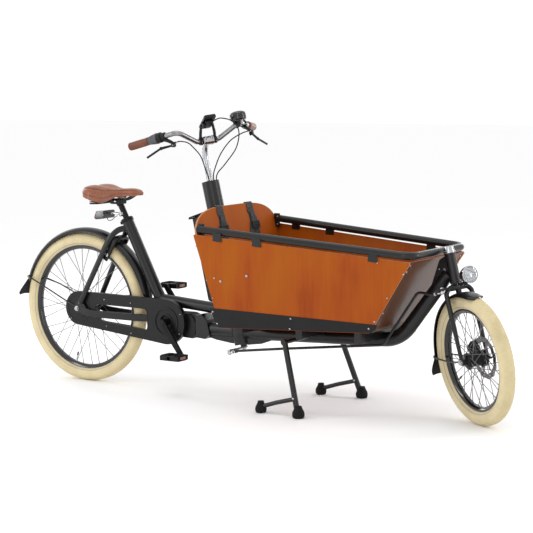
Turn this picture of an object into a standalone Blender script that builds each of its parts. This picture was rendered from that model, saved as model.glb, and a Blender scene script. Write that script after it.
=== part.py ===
"""Long cargo bike with a wooden box between the rider and the front wheel. Metres, +Z up, +X forward.

Every piece is drawn in the bike's own frame: the origin is on the ground under the rear axle, the
bike's left is +Y. The empty bike_frame then moves it so that the origin is under the middle of the
whole bike. Steering pieces are drawn straight ahead and turned by STEER_REST about their axes.
"""

import math

import bmesh
import bpy
from mathutils import Matrix, Vector

# General
GAP = 0.0003  # clearance between pieces that seat on each other
MIDDLE_X = 0.9203  # bike-frame X of the middle of the whole bike

# Wheels
REAR_RADIUS = 0.3395
REAR_TYRE = 0.058  # section width and height of the tyre
REAR_BEAD = 0.2795  # radius where the tyre sits on the rim
FRONT_RADIUS = 0.2655
FRONT_TYRE = 0.060
FRONT_BEAD = 0.203
RIM_DEPTH = 0.013  # how far the rim reaches inside the bead
RIM_WIDTH = 0.032
SPOKES = 16  # shown by fewer than the real wheel has
TYRE_STEPS = 2 * SPOKES  # so that each spoke ends at a corner of the rim
SPOKE_RADIUS = 0.0013
REAR_FLANGE = 0.052  # radius of the gear hub's flanges
FRONT_FLANGE = 0.034
RIM_LIP = 0.004
RIM_CHANNEL = 0.0135  # half width of the channel the tyre stands in
FLANGE_Y = 0.030  # how far out each flange stands
AXLE_RADIUS = 0.005
NUT_RADIUS = 0.009
DROPOUT_Y = 0.0675  # middle of each dropout plate, from the centre plane
DROPOUT_WALL = 0.006
BRAKE_DISC_RADIUS = 0.088
BRAKE_DISC_Y = 0.045

# Steering geometry
HEAD_TILT = math.radians(13.2)  # both steering axes lean back by this from upright
STEER_REST = math.radians(-32.4)  # the steering stands turned to the right
COLUMN_FOOT = (0.79, 0.578)  # a point (X, Z) on the handlebar's axis
FORK_AXIS_X = 1.9693  # the fork's axis at hub height
FORK_RAKE = 0.0255
ARM = (0.017, -0.078)  # forward and sideways reach of both steering arms

# Frame tubes
SEAT_TUBE = ((0.445, 0.366), (0.25, 0.740))
SEAT_TUBE_RADIUS = 0.0255
POST_RADIUS = 0.0136
COLLAR_HEIGHT = 0.016  # of the clamp at the seat tube's top
SEAT_DROP = 0.020  # how far the saddle can still be lowered
STAY_WIDE = 0.0125  # half height and half thickness of the oval seat stays
STAY_THIN = 0.0085
CHAIN_STAY_WIDE = 0.0135
CHAIN_STAY_THIN = 0.0060
UPPER_TUBE_RADIUS = 0.0245
MAIN_TUBE_RADIUS = 0.030
COLUMN_TUBE_RADIUS = 0.0382
COLUMN_TUBE_WALL = 0.0035
COLUMN_TUBE_LOW = -0.352  # ends along the column's axis
COLUMN_TUBE_TOP = 0.366
COLUMN_RADIUS = 0.0140
HEAD_TUBE_RADIUS = 0.0215
HEAD_TUBE_LOW = 0.312  # ends along the fork's axis
HEAD_TUBE_TOP = 0.434
STEERER_RADIUS = 0.0125
TUBE_SIDES = 14

# Fork and fenders
FORK_END_Y = 0.060
FORK_END_WALL = 0.006
CROWN_Z = 0.2985
FORK_ARM_Z = 0.300
REAR_FENDER = {"centre": (0.013, REAR_RADIUS + 0.0015), "radius": REAR_RADIUS + 0.024, "width": 0.070,
               "drop": 0.020, "end": 163}
FRONT_FENDER = {"radius": FRONT_RADIUS + 0.008, "width": 0.070, "drop": 0.014}
WIRE_Y = 0.0611  # the fender wires end between the chain case and the dropout
LAMP = (0.128, 0.0, 0.336)
LAMP_RADIUS = 0.035

# Saddle
# Along the saddle: X, half width, foot of the skirt, underside of the padding, crown
SADDLE_STATIONS = (
    (0.000, 0.034, 0.862, 0.866, 0.881),
    (0.012, 0.066, 0.847, 0.866, 0.895),
    (0.036, 0.090, 0.836, 0.866, 0.903),
    (0.075, 0.103, 0.832, 0.866, 0.906),
    (0.120, 0.099, 0.836, 0.866, 0.902),
    (0.160, 0.077, 0.847, 0.867, 0.896),
    (0.200, 0.052, 0.857, 0.868, 0.890),
    (0.250, 0.032, 0.861, 0.869, 0.886),
    (0.300, 0.024, 0.859, 0.869, 0.884),
    (0.324, 0.017, 0.861, 0.867, 0.881),
    (0.334, 0.008, 0.866, 0.868, 0.876),
)

# Handlebar, in the column's own frame
STEM_PATH = [(0, 0, 0.330), (0, 0, 0.450), (0.006, 0, 0.486), (0.022, 0, 0.515), (0.052, 0, 0.5345)]
BAR_RADIUS = 0.0111
CLAMP = (0.0656, 0.5353)  # forward and up along the column from its foot
GRIP_RADIUS = 0.0175
GRIP_INNER = (-0.017, 0.232, 0.582)
GRIP_OUTER = (-0.098, 0.291, 0.579)
# Lever points: pivot, bend and tip of the blade, and where its body sits along the bar
LEVERS = {
    -1: {"pivot": (0.0744, -0.162, 0.538), "bend": (0.030, -0.205, 0.537), "tip": (-0.018, -0.254, 0.513)},
    1: {"pivot": (0.092, 0.196, 0.533), "bend": (0.0608, 0.2341, 0.508), "tip": (0.015, 0.290, 0.484)},
}
PIVOT_RADIUS = 0.003
BELL_PLACE = (0.116, 0.1385, 0.588)
BELL_RADIUS = 0.037
BELL_HEIGHT = 0.046
DISPLAY_PLACE = (0.104, 0.0, 0.612)
DISPLAY_TILT = math.radians(-31)
# Cable paths; the brake cables start at the bosses on their lever bodies
RIGHT_CABLE = [(0.100, -0.108, 0.537), (0.084, -0.080, 0.515), (0.062, -0.046, 0.475),
               (0.036, -0.026, 0.425),
               (0.023, -0.016, 0.388), (0.0195, -0.0125, 0.340)]
LEFT_CABLE = [(0.125, 0.135, 0.536), (0.107, 0.085, 0.515), (0.070, 0.045, 0.470), (0.036, 0.022, 0.420),
              (0.0235, 0.010, 0.385), (0.0230, 0.007, 0.340)]
DISPLAY_CABLE = [(0.1264, 0.010, 0.6175), (0.1345, 0.014, 0.608), (0.155, 0.042, 0.612),
                 (0.168, 0.085, 0.590),
                 (0.160, 0.110, 0.545), (0.120, 0.100, 0.480), (0.062, 0.060, 0.425), (0.022, 0.028, 0.388),
                 (0.011, 0.0215, 0.340)]
CABLE_RADIUS = 0.0025
CABLE_SIDES = 6

# Drive
CRANK_X = 0.496
CRANK_Z = 0.311
CRANK_LENGTH = 0.170
CRANK_ANGLE = math.radians(-54.0)  # the right crank's rest direction, from +X upwards
CRANK_Y = 0.082
CHAIN_Y = -0.048
CHAIN_WHEEL_RADIUS = 0.074
SPROCKET_RADIUS = 0.040
CHAIN_HEIGHT = 0.008
CASE_LOW = -0.0575  # outer face of the chain case
CASE_HIGH = -0.037
CASE_WALL = 0.0025
CASE_REAR_RADIUS = 0.077
CASE_FRONT_RADIUS = 0.100
CASE_SLOT = [(0.108, REAR_RADIUS - 0.0025, 0.018), (0.380, 0.331, 0.014), (0.386, 0.294, 0.012),
             (0.130, REAR_RADIUS - 0.0205, 0.012)]
PEDAL_LENGTH = 0.094
PEDAL_WIDTH = 0.086

# Box: outer corners of the right side panel (X, half width, Z)
TOP_REAR = (0.840, 0.315, 0.735)
TOP_FRONT = (1.822, 0.232, 0.662)
LOW_REAR = (0.928, 0.255, 0.343)
LOW_FRONT_X = 1.622
LOW_FRONT_Z = 0.366
BOARD = 0.009  # thickness of the plywood
FLOOR_BOARD = 0.012
BACK_PEAK_Z = 0.838
RAIL_RADIUS = 0.0155
RAIL_LIFT = 0.023  # rail's centre line above the side panels' top edge
BELT_WALL = 0.003

# Battery
BATTERY_Y = (-0.145, -0.046)
BATTERY_DEPTH = 0.120
BATTERY_Z = (0.432, 0.786)
BATTERY_RISE = 0.040  # the lid slopes up towards the back panel
BATTERY_WALL = 0.003
LID_WALL = 0.005

# Stand
STAND_X = 1.220
STAND_Z = 0.300
STAND_SHAFT_RADIUS = 0.009
LEG_RADIUS = 0.0095
FRONT_FOOT = (1.312, 0.253)
REAR_FOOT = (1.116, 0.235)


def clear_scene():
    for thing in list(bpy.data.objects):
        bpy.data.objects.remove(thing, do_unlink=True)


def finish(name, colour, roughness, metallic=0.0):
    material = bpy.data.materials.new(name)
    material.use_nodes = True
    shader = material.node_tree.nodes["Principled BSDF"]
    shader.inputs["Base Color"].default_value = (*colour, 1.0)
    shader.inputs["Roughness"].default_value = roughness
    shader.inputs["Metallic"].default_value = metallic
    return material


# Shapes: each returns a closed mesh with its faces pointing out

def to_mesh(shape, name):
    bmesh.ops.remove_doubles(shape, verts=shape.verts, dist=1e-6)
    bmesh.ops.dissolve_degenerate(shape, edges=shape.edges, dist=1e-7)
    bmesh.ops.recalc_face_normals(shape, faces=shape.faces)
    mesh = bpy.data.meshes.new(name)
    shape.to_mesh(mesh)
    shape.free()
    return mesh


def loft(rings, around=False):
    """A skin over rings of points; its ends are capped unless it goes all the way round."""
    shape = bmesh.new()
    loops = [[shape.verts.new(point) for point in ring] for ring in rings]
    pairs = list(zip(loops, loops[1:] + loops[:1])) if around else list(zip(loops, loops[1:]))
    for first, second in pairs:
        for i, _ in enumerate(first):
            j = (i + 1) % len(first)
            shape.faces.new((first[i], first[j], second[j], second[i]))
    if not around:
        shape.faces.new(loops[0])
        shape.faces.new(loops[-1])
    return to_mesh(shape, "loft")


def section(radius, sides, width=1.0, turn=0.0):
    steps = [turn + 2 * math.pi * i / sides for i in range(sides)]
    return [(radius * math.cos(a) * width, radius * math.sin(a)) for a in steps]


def sweep(path, outlines, side=Vector((0, 1, 0))):
    """Outlines carried along a path, kept upright to one side direction."""
    path = [Vector(point) for point in path]
    rings = []
    for i, point in enumerate(path):
        before = path[max(i - 1, 0)]
        after = path[min(i + 1, len(path) - 1)]
        along = (point - before).normalized() + (after - point).normalized()
        along = along.normalized()
        across = side - along * side.dot(along)
        across = across.normalized()
        up = across.cross(along)
        outline = outlines[i] if isinstance(outlines[0], list) else outlines
        rings.append([point + across * a + up * b for a, b in outline])
    return loft(rings)


def tube(path, radius, sides=TUBE_SIDES, side=Vector((0, 1, 0))):
    radii = radius if isinstance(radius, (list, tuple)) else [radius] * len(path)
    return sweep(path, [section(r, sides, 1.0, math.pi / sides) for r in radii], side)


def rounded(points, radius, steps=5):
    """A polyline whose inner corners are turned into arcs of one radius."""
    points = [Vector(point) for point in points]
    out = [points[0]]
    for before, corner, after in zip(points, points[1:], points[2:]):
        a = (before - corner).normalized()
        b = (after - corner).normalized()
        half = a.angle(b) / 2
        reach = min(radius / math.tan(half), 0.45 * (before - corner).length, 0.45 * (after - corner).length)
        arc = reach * math.tan(half)
        centre = corner + (a + b).normalized() * math.hypot(arc, reach)
        start = corner + a * reach - centre
        end = corner + b * reach - centre
        for i in range(steps + 1):
            out.append(centre + arc_step(start, end, i / steps))
    out.append(points[-1])
    return out


def arc_step(start, end, share):
    angle = start.angle(end)
    return (start * math.sin((1 - share) * angle) + end * math.sin(share * angle)) / math.sin(angle)


def smooth_path(points, steps=4):
    """A smooth curve through its points."""
    points = [Vector(point) for point in points]
    ends = [points[0] * 2 - points[1]] + points + [points[-1] * 2 - points[-2]]
    out = []
    for p0, p1, p2, p3 in zip(ends, ends[1:], ends[2:], ends[3:]):
        for i in range(steps):
            t = i / steps
            out.append(0.5 * (2 * p1 + (p2 - p0) * t + (2 * p0 - 5 * p1 + 4 * p2 - p3) * t * t
                              + (3 * p1 - p0 - 3 * p2 + p3) * t ** 3))
    out.append(points[-1])
    return out


def lathe(profile, steps=24, axis="Y", start=0.0):
    """Turns (radius, place along the axis) points about an axis; a profile off the axis makes a ring."""
    ring_like = min(r for r, _ in profile) > 1e-9
    shape = bmesh.new()
    loops = []
    for i in range(steps):
        a = start + 2 * math.pi * i / steps
        spot = {"Y": lambda r, h: (r * math.sin(a), h, -r * math.cos(a)),
                "Z": lambda r, h: (r * math.cos(a), r * math.sin(a), h),
                "X": lambda r, h: (h, r * math.cos(a), r * math.sin(a))}[axis]
        loops.append([shape.verts.new(spot(r, h)) for r, h in profile])
    for i in range(steps):
        first, second = loops[i], loops[(i + 1) % steps]
        for j in range(len(profile) if ring_like else len(profile) - 1):
            k = (j + 1) % len(profile)
            shape.faces.new((first[j], first[k], second[k], second[j]))
    return to_mesh(shape, "lathe")


def cylinder(radius, low, high, sides=TUBE_SIDES, axis="Y"):
    outline = section(radius, sides)
    return slab(outline, low, high, axis)


def block(low, high, bevel=0.0):
    shape = bmesh.new()
    size = [b - a for a, b in zip(low, high)]
    middle = [(a + b) / 2 for a, b in zip(low, high)]
    bmesh.ops.create_cube(shape, size=1.0, matrix=Matrix.Translation(middle) @ Matrix.Diagonal((*size, 1.0)))
    if bevel:
        bmesh.ops.bevel(shape, geom=shape.edges[:], offset=bevel, segments=1, affect="EDGES")
    return to_mesh(shape, "block")


def slab(outline, low, high, axis="Y"):
    """A flat outline made thick: (X, Z) points along Y, (X, Y) along Z or (Y, Z) along X."""
    place = {"Y": lambda a, b, h: (a, h, b), "Z": lambda a, b, h: (a, b, h), "X": lambda a, b,
             h: (h, a, b)}[axis]
    return loft([[place(a, b, low) for a, b in outline], [place(a, b, high) for a, b in outline]])


def hull_of_circles(circles, steps=20):
    """The outline of a tight band round circles (a, b, radius)."""
    points = []
    for a, b, r in circles:
        points += [(a + r * math.cos(2 * math.pi * i / steps), b + r * math.sin(2 * math.pi * i / steps))
                   for i in range(steps)]
    points = sorted(set(points))
    halves = []
    for order in (points, points[::-1]):
        half = []
        for p in order:
            while len(half) > 1 and ((half[-1][0] - half[-2][0]) * (p[1] - half[-2][1])
                                     - (half[-1][1] - half[-2][1]) * (p[0] - half[-2][0])) <= 1e-12:
                half.pop()
            half.append(p)
        halves += half[:-1]
    return halves


def moved(mesh, place=(0, 0, 0), turn=None):
    matrix = Matrix.Translation(place)
    if turn is not None:
        matrix = matrix @ turn
    mesh.transform(matrix)
    return mesh


def boolean(first, others, operation):
    """One mesh made from several with the exact solver."""
    base = bpy.data.objects.new("base", first)
    bpy.context.scene.collection.objects.link(base)
    helpers = []
    for mesh in others:
        helper = bpy.data.objects.new("helper", mesh)
        bpy.context.scene.collection.objects.link(helper)
        helper.hide_render = True
        helper.display_type = "WIRE"
        step = base.modifiers.new("step", "BOOLEAN")
        step.operation = operation
        step.solver = "EXACT"
        step.object = helper
        helpers.append(helper)
    bpy.context.view_layer.update()
    result = bpy.data.meshes.new_from_object(base.evaluated_get(bpy.context.evaluated_depsgraph_get()))
    for thing in [base, *helpers]:
        bpy.data.objects.remove(thing, do_unlink=True)
    return tidy(result)


def tidy(mesh):
    """Removes the slivers that a Boolean leaves."""
    shape = bmesh.new()
    shape.from_mesh(mesh)
    bmesh.ops.remove_doubles(shape, verts=shape.verts, dist=5e-6)
    bmesh.ops.dissolve_degenerate(shape, edges=shape.edges, dist=5e-6)
    shape.to_mesh(mesh)
    shape.free()
    return mesh


def fuse(*meshes):
    return boolean(meshes[0], meshes[1:], "UNION")


def cut(mesh, *cutters):
    return boolean(mesh, cutters, "DIFFERENCE")


def piece(name, mesh, material, parent):
    mesh.name = name
    thing = bpy.data.objects.new(name, mesh)
    mesh.materials.clear()
    mesh.materials.append(material)
    mesh.shade_smooth()
    mesh.set_sharp_from_angle(angle=math.radians(35))
    bpy.context.scene.collection.objects.link(thing)
    thing.parent = parent
    return thing


def empty(name, place, parent=None, tilt=0.0, turn=0.0, spin=0.0):
    """An axis to hang pieces on: tilted back about Y, then turned about its own upright axis."""
    thing = bpy.data.objects.new(name, None)
    bpy.context.scene.collection.objects.link(thing)
    thing.parent = parent
    thing.location = place
    thing.rotation_mode = "ZYX"
    thing.rotation_euler = (0.0, -tilt + spin, turn)
    return thing


def mirror_y(mesh):
    mesh.transform(Matrix.Diagonal((1, -1, 1, 1)))
    mesh.flip_normals()
    return mesh


# The finishes, from the photograph
def make_finishes():
    return {
        "black_paint": finish("black_paint", (0.014, 0.014, 0.016), 0.42, 0.3),
        "black_plastic": finish("black_plastic", (0.018, 0.018, 0.020), 0.45),
        "bright_metal": finish("bright_metal", (0.72, 0.73, 0.75), 0.22, 1.0),
        "dark_alloy": finish("dark_alloy", (0.03, 0.03, 0.033), 0.35, 0.6),
        "cream_rubber": finish("cream_rubber", (0.76, 0.64, 0.33), 0.62),
        "black_rubber": finish("black_rubber", (0.02, 0.02, 0.02), 0.8),
        "brown_leather": finish("brown_leather", (0.33, 0.13, 0.065), 0.45),
        "wood": finish("wood", (0.46, 0.15, 0.035), 0.38),
        "webbing": finish("webbing", (0.02, 0.02, 0.022), 0.85),
        "grey_rubber": finish("grey_rubber", (0.12, 0.12, 0.13), 0.6),
        "clear_lens": finish("clear_lens", (0.85, 0.87, 0.88), 0.08),
        "red_lens": finish("red_lens", (0.6, 0.03, 0.02), 0.2),
    }


# Driving points worked out from the sizes above
def column_x(z):
    return COLUMN_FOOT[0] - math.tan(HEAD_TILT) * (z - COLUMN_FOOT[1])


def seat_axis():
    low = Vector((SEAT_TUBE[0][0], 0, SEAT_TUBE[0][1]))
    top = Vector((SEAT_TUBE[1][0], 0, SEAT_TUBE[1][1]))
    return low, top, (top - low).normalized()


def fork_hub_height():
    """Height of the fork axis at the hub, so that the turned and leaning wheel stands on the ground."""
    lean = math.sin(STEER_REST) * math.sin(HEAD_TILT)
    ring = FRONT_RADIUS - FRONT_TYRE / 2
    hub = ring * math.sqrt(1 - lean * lean) + FRONT_TYRE / 2
    return hub - FORK_RAKE * math.cos(STEER_REST) * math.sin(HEAD_TILT)


def wheel_phase():
    """Turn of the front wheel on its axle that puts one point of the tyre at the ground."""
    return math.atan2(math.sin(HEAD_TILT) * math.cos(STEER_REST), math.cos(HEAD_TILT))


def axis_turn():
    """Local frame of either steering axis, straight ahead."""
    return Matrix.Rotation(-HEAD_TILT, 4, "Y")


def along_fork(x, y, z):
    return axis_turn() @ Vector((x, y, z)) + Vector((FORK_AXIS_X, 0, fork_hub_height()))


def along_column(x, y, z):
    return axis_turn() @ Vector((x, y, z)) + Vector((COLUMN_FOOT[0], 0, COLUMN_FOOT[1]))


def side_plane():
    """The right side panel's outer corners, the fourth one worked out so that the board is flat."""
    a = Vector((TOP_REAR[0], -TOP_REAR[1], TOP_REAR[2]))
    b = Vector((TOP_FRONT[0], -TOP_FRONT[1], TOP_FRONT[2]))
    c = Vector((LOW_REAR[0], -LOW_REAR[1], LOW_REAR[2]))
    normal = (b - a).cross(c - a).normalized()
    if normal.y > 0:
        normal = -normal
    d = Vector((LOW_FRONT_X, 0, LOW_FRONT_Z))
    d.y = a.y - (normal.x * (d.x - a.x) + normal.z * (d.z - a.z)) / normal.y
    return a, b, c, d, normal


# Wheels

def wheel_rim(bead, steps):
    half = RIM_WIDTH / 2
    inner = bead - RIM_DEPTH
    floor = bead - 0.002
    return lathe([(floor, -RIM_CHANNEL), (bead + RIM_LIP, -RIM_CHANNEL), (bead + RIM_LIP, -half),
                  (inner, -half + 0.006), (inner, half - 0.006), (bead + RIM_LIP, half),
                  (bead + RIM_LIP, RIM_CHANNEL),
                  (floor, RIM_CHANNEL)], steps)


def wheel_tyre(radius, section_size, bead, steps):
    """A tyre with a round tread, hollow below, whose feet stand in the rim."""
    middle = radius - section_size / 2
    half = section_size / 2
    foot = RIM_CHANNEL - GAP
    low = bead - 0.002 + 2 * GAP
    above_lip = bead + RIM_LIP + 2 * GAP
    outer = []
    for angle in (-38, 8, 50, 90, 130, 172, 218):
        a = math.radians(angle)
        outer.append((middle + half * math.sin(a), half * math.cos(a)))
    return lathe([(low, foot), (above_lip, foot)] + outer
                 + [(above_lip, -foot), (low, -foot), (low, -foot + 0.004), (middle, -half + 0.012),
                    (radius - 0.009, 0.0), (middle, half - 0.012), (low, foot - 0.004)], steps)


def spoked_hub(flange, bead, barrel, seat_y, axle_reach, nuts, extras=()):
    """Hub shell, flanges, axle with nuts and the crossed spokes as one body.

    seat_y is the inner face of the frame's or fork's ends.
    """
    wall = 0.0022
    side_profile = [(barrel, FLANGE_Y - 0.006), (flange, FLANGE_Y - wall), (flange, FLANGE_Y + wall),
                    (barrel * 0.9, FLANGE_Y + 0.004), (0.012, seat_y - 0.005),
                    (AXLE_RADIUS, seat_y - 0.001), (AXLE_RADIUS, axle_reach), (0, axle_reach)]
    shell = lathe([(r, -y) for r, y in reversed(side_profile)] + side_profile, 16)
    reach = bead - RIM_DEPTH - GAP - SPOKE_RADIUS / 3
    bars = list(extras)
    for nut in nuts:
        bars.append(cylinder(NUT_RADIUS, nut, nut + 0.007, 6))
    for i in range(SPOKES):
        side = 1 if i % 2 else -1
        lean = math.radians(20) if i % 4 < 2 else -math.radians(20)
        out = 2 * math.pi * (i + 0.5) / SPOKES
        root = out + lean
        near = flange - 0.004
        start = (near * math.sin(root), side * FLANGE_Y, -near * math.cos(root))
        end = (reach * math.sin(out), side * 0.002, -reach * math.cos(out))
        bars.append(tube([start, end], SPOKE_RADIUS, 4))
    return fuse(shell, *bars)


def build_rear_wheel(parent, finishes):
    hub = empty("rear_axle", (0, 0, REAR_RADIUS), parent)
    sprocket = cylinder((SPROCKET_RADIUS - CHAIN_HEIGHT / 2) * math.cos(math.pi / 24) - GAP, CHAIN_Y - 0.002,
                        CHAIN_Y + 0.002, 20)
    outside = DROPOUT_Y + DROPOUT_WALL / 2 + GAP
    inside = DROPOUT_Y - DROPOUT_WALL / 2
    nuts = (outside, -outside - 0.007)
    body = spoked_hub(REAR_FLANGE, REAR_BEAD, 0.040, inside, outside + 0.010, nuts, [sprocket])
    piece("rear_hub", body, finishes["dark_alloy"], hub)
    piece("rear_rim", wheel_rim(REAR_BEAD, TYRE_STEPS), finishes["black_paint"], hub)
    tyre = wheel_tyre(REAR_RADIUS, REAR_TYRE, REAR_BEAD, TYRE_STEPS)
    piece("rear_tyre", tyre, finishes["cream_rubber"], hub)


def build_front_wheel(fork_turn, finishes):
    hub = empty("front_axle", (FORK_RAKE, 0, 0), fork_turn, spin=wheel_phase())
    outside = FORK_END_Y + FORK_END_WALL / 2 + GAP
    inside = FORK_END_Y - FORK_END_WALL / 2
    barrel = 0.026
    body = spoked_hub(FRONT_FLANGE, FRONT_BEAD, barrel, inside, outside + 0.010, (outside, -outside - 0.007))
    piece("front_hub", body, finishes["dark_alloy"], hub)
    piece("front_rim", wheel_rim(FRONT_BEAD, TYRE_STEPS), finishes["black_paint"], hub)
    tyre = wheel_tyre(FRONT_RADIUS, FRONT_TYRE, FRONT_BEAD, TYRE_STEPS)
    piece("front_tyre", tyre, finishes["cream_rubber"], hub)
    low = FLANGE_Y + 0.004 + GAP
    disc = cylinder(BRAKE_DISC_RADIUS, BRAKE_DISC_Y - 0.001, BRAKE_DISC_Y + 0.001, 30)
    seat = cylinder(0.031, low, BRAKE_DISC_Y, 18)
    windows = [cylinder(barrel + 0.001, 0.0, 0.1, 18)]
    for i in range(6):
        a = 2 * math.pi * (i + 0.5) / 6
        window = hull_of_circles([(0.049, 0.0, 0.0105), (0.060, 0.012, 0.0065), (0.060, -0.008, 0.0065)], 6)
        turned = [(u * math.cos(a) - v * math.sin(a), u * math.sin(a) + v * math.cos(a)) for u, v in window]
        windows.append(slab(turned, BRAKE_DISC_Y - 0.01, BRAKE_DISC_Y + 0.01))
    piece("brake_disc", cut(fuse(seat, disc), *windows), finishes["bright_metal"], hub)


# Frame

def seat_tube_cutter(extra):
    low, top, along = seat_axis()
    return tube([low - along * 0.02, top + along * 0.02], SEAT_TUBE_RADIUS + extra)


def build_frame(parent, finishes):
    low, top, along = seat_axis()
    seat_tube = tube([low, top], SEAT_TUBE_RADIUS)
    upper = tube([(0.436, 0, 0.402), (0.836, 0, 0.374)], UPPER_TUBE_RADIUS)
    main_path = rounded([(0.650, 0, 0.2895), (0.995, 0, 0.2905), (1.644, 0, 0.314), (1.866, 0, 0.600)],
                        0.15, 5)
    main = tube(main_path, MAIN_TUBE_RADIUS)
    column = tube([along_column(0, 0, COLUMN_TUBE_LOW), along_column(0, 0, COLUMN_TUBE_TOP)],
                  COLUMN_TUBE_RADIUS, 20)
    head = tube([along_fork(0, 0, HEAD_TUBE_LOW), along_fork(0, 0, HEAD_TUBE_TOP)], HEAD_TUBE_RADIUS, 16)
    rear_bracket = slab(hull_of_circles([(0.424, 0.306, 0.012), (0.440, 0.306, 0.012),
                                         (0.436, 0.392, 0.018)], 12),
                        -0.026, 0.026)
    motor_bracket = block((0.646, -0.036, 0.242), (0.690, 0.036, 0.386), 0.004)
    gusset = slab([(0.660, 0.262), (0.815, 0.236), (0.905, 0.236), (1.030, 0.266), (0.9, 0.29), (0.7, 0.29)],
                  -0.016, 0.016)
    front_plate = slab([(1.803, 0.560), (1.838, 0.612), (1.852, 0.672), (1.876, 0.672), (1.900, 0.590),
                        (1.850, 0.560)], -0.004, 0.004)
    bars = []
    for x in (0.985, STAND_X + 0.06, 1.560):
        bars.append(block((x - 0.016, -0.196, 0.316), (x + 0.016, 0.196, floor_low(x - 0.016) - GAP)))
    body = fuse(seat_tube, upper, main, column, head, rear_bracket, motor_bracket, gusset, front_plate,
                *bars)
    bores = [
        tube([along_column(0, 0, COLUMN_TUBE_LOW - 0.01), along_column(0, 0, COLUMN_TUBE_TOP + 0.01)],
             COLUMN_TUBE_RADIUS - COLUMN_TUBE_WALL, 20),
        tube([along_fork(0, 0, HEAD_TUBE_LOW - 0.01), along_fork(0, 0, HEAD_TUBE_TOP + 0.01)],
             STEERER_RADIUS + GAP, 16),
        tube([top - along * 0.26, top + along * 0.02], POST_RADIUS + GAP, 14),
        moved(cylinder(STAND_SHAFT_RADIUS + GAP, -0.05, 0.05, 16), (STAND_X, 0, STAND_Z)),
    ]
    piece("main_frame", cut(body, *bores), finishes["black_paint"], parent)
    collar_low = top + along * GAP
    collar = tube([collar_low, top + along * COLLAR_HEIGHT], SEAT_TUBE_RADIUS + 0.003, 14)
    behind = Vector((-along.z, 0, along.x))
    bolt = moved(cylinder(0.004, -0.019, 0.019, 8), top + along * 0.0085 + behind * 0.031)
    ear = moved(cylinder(0.0072, -0.010, 0.010, 10), top + along * 0.0085 + behind * 0.0300)
    bore = tube([top - along * 0.01, top + along * 0.03], POST_RADIUS + GAP, 14)
    piece("seat_clamp", cut(fuse(collar, ear, bolt), bore), finishes["bright_metal"], parent)


def seat_stay(side, extra=0.0):
    """One seat stay; extra makes it fatter, for cutting seats in what it carries."""
    path = rounded([(0.262, side * 0.012, 0.716), (0.196, side * 0.043, 0.692),
                    (0.176, side * 0.0565, 0.652),
                    (0.020, side * 0.0715, REAR_RADIUS + 0.0265)], 0.03, 3)
    oval = [(a * (STAY_THIN + extra), b * (STAY_WIDE + extra)) for a, b in section(1.0, 12)]
    return sweep(path, oval)


def chain_stay(side, extra=0.0):
    """One flat chain stay; extra makes it fatter, for cutting seats."""
    thin = CHAIN_STAY_THIN + extra
    wide = CHAIN_STAY_WIDE + extra
    path = [(0.022, side * 0.0682, REAR_RADIUS - 0.0005), (0.10, side * 0.0668, REAR_RADIUS - 0.0055),
            (0.37, side * 0.0300, 0.322),
            (0.4105 - GAP, side * 0.0195, 0.320)]
    return sweep(path, [(-thin, -wide), (thin, -wide), (thin, wide), (-thin, wide)])


def build_stays(parent, finishes):
    """The right and left stays: seat stay, chain stay and dropout."""
    for side, name in ((-1, "rear_stay_right"), (1, "rear_stay_left")):
        dropout = slab(hull_of_circles([(0.0, REAR_RADIUS, 0.020), (0.016, REAR_RADIUS + 0.030, 0.013),
                                        (0.045, REAR_RADIUS - 0.004, 0.012)], 16),
                       side * DROPOUT_Y - DROPOUT_WALL / 2, side * DROPOUT_Y + DROPOUT_WALL / 2)
        axle_hole = moved(cylinder(AXLE_RADIUS + GAP, -0.1, 0.1, 20), (0, 0, REAR_RADIUS))
        body = cut(fuse(seat_stay(side), chain_stay(side), dropout), axle_hole, seat_tube_cutter(GAP))
        piece(name, body, finishes["black_paint"], parent)


# Saddle

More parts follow.
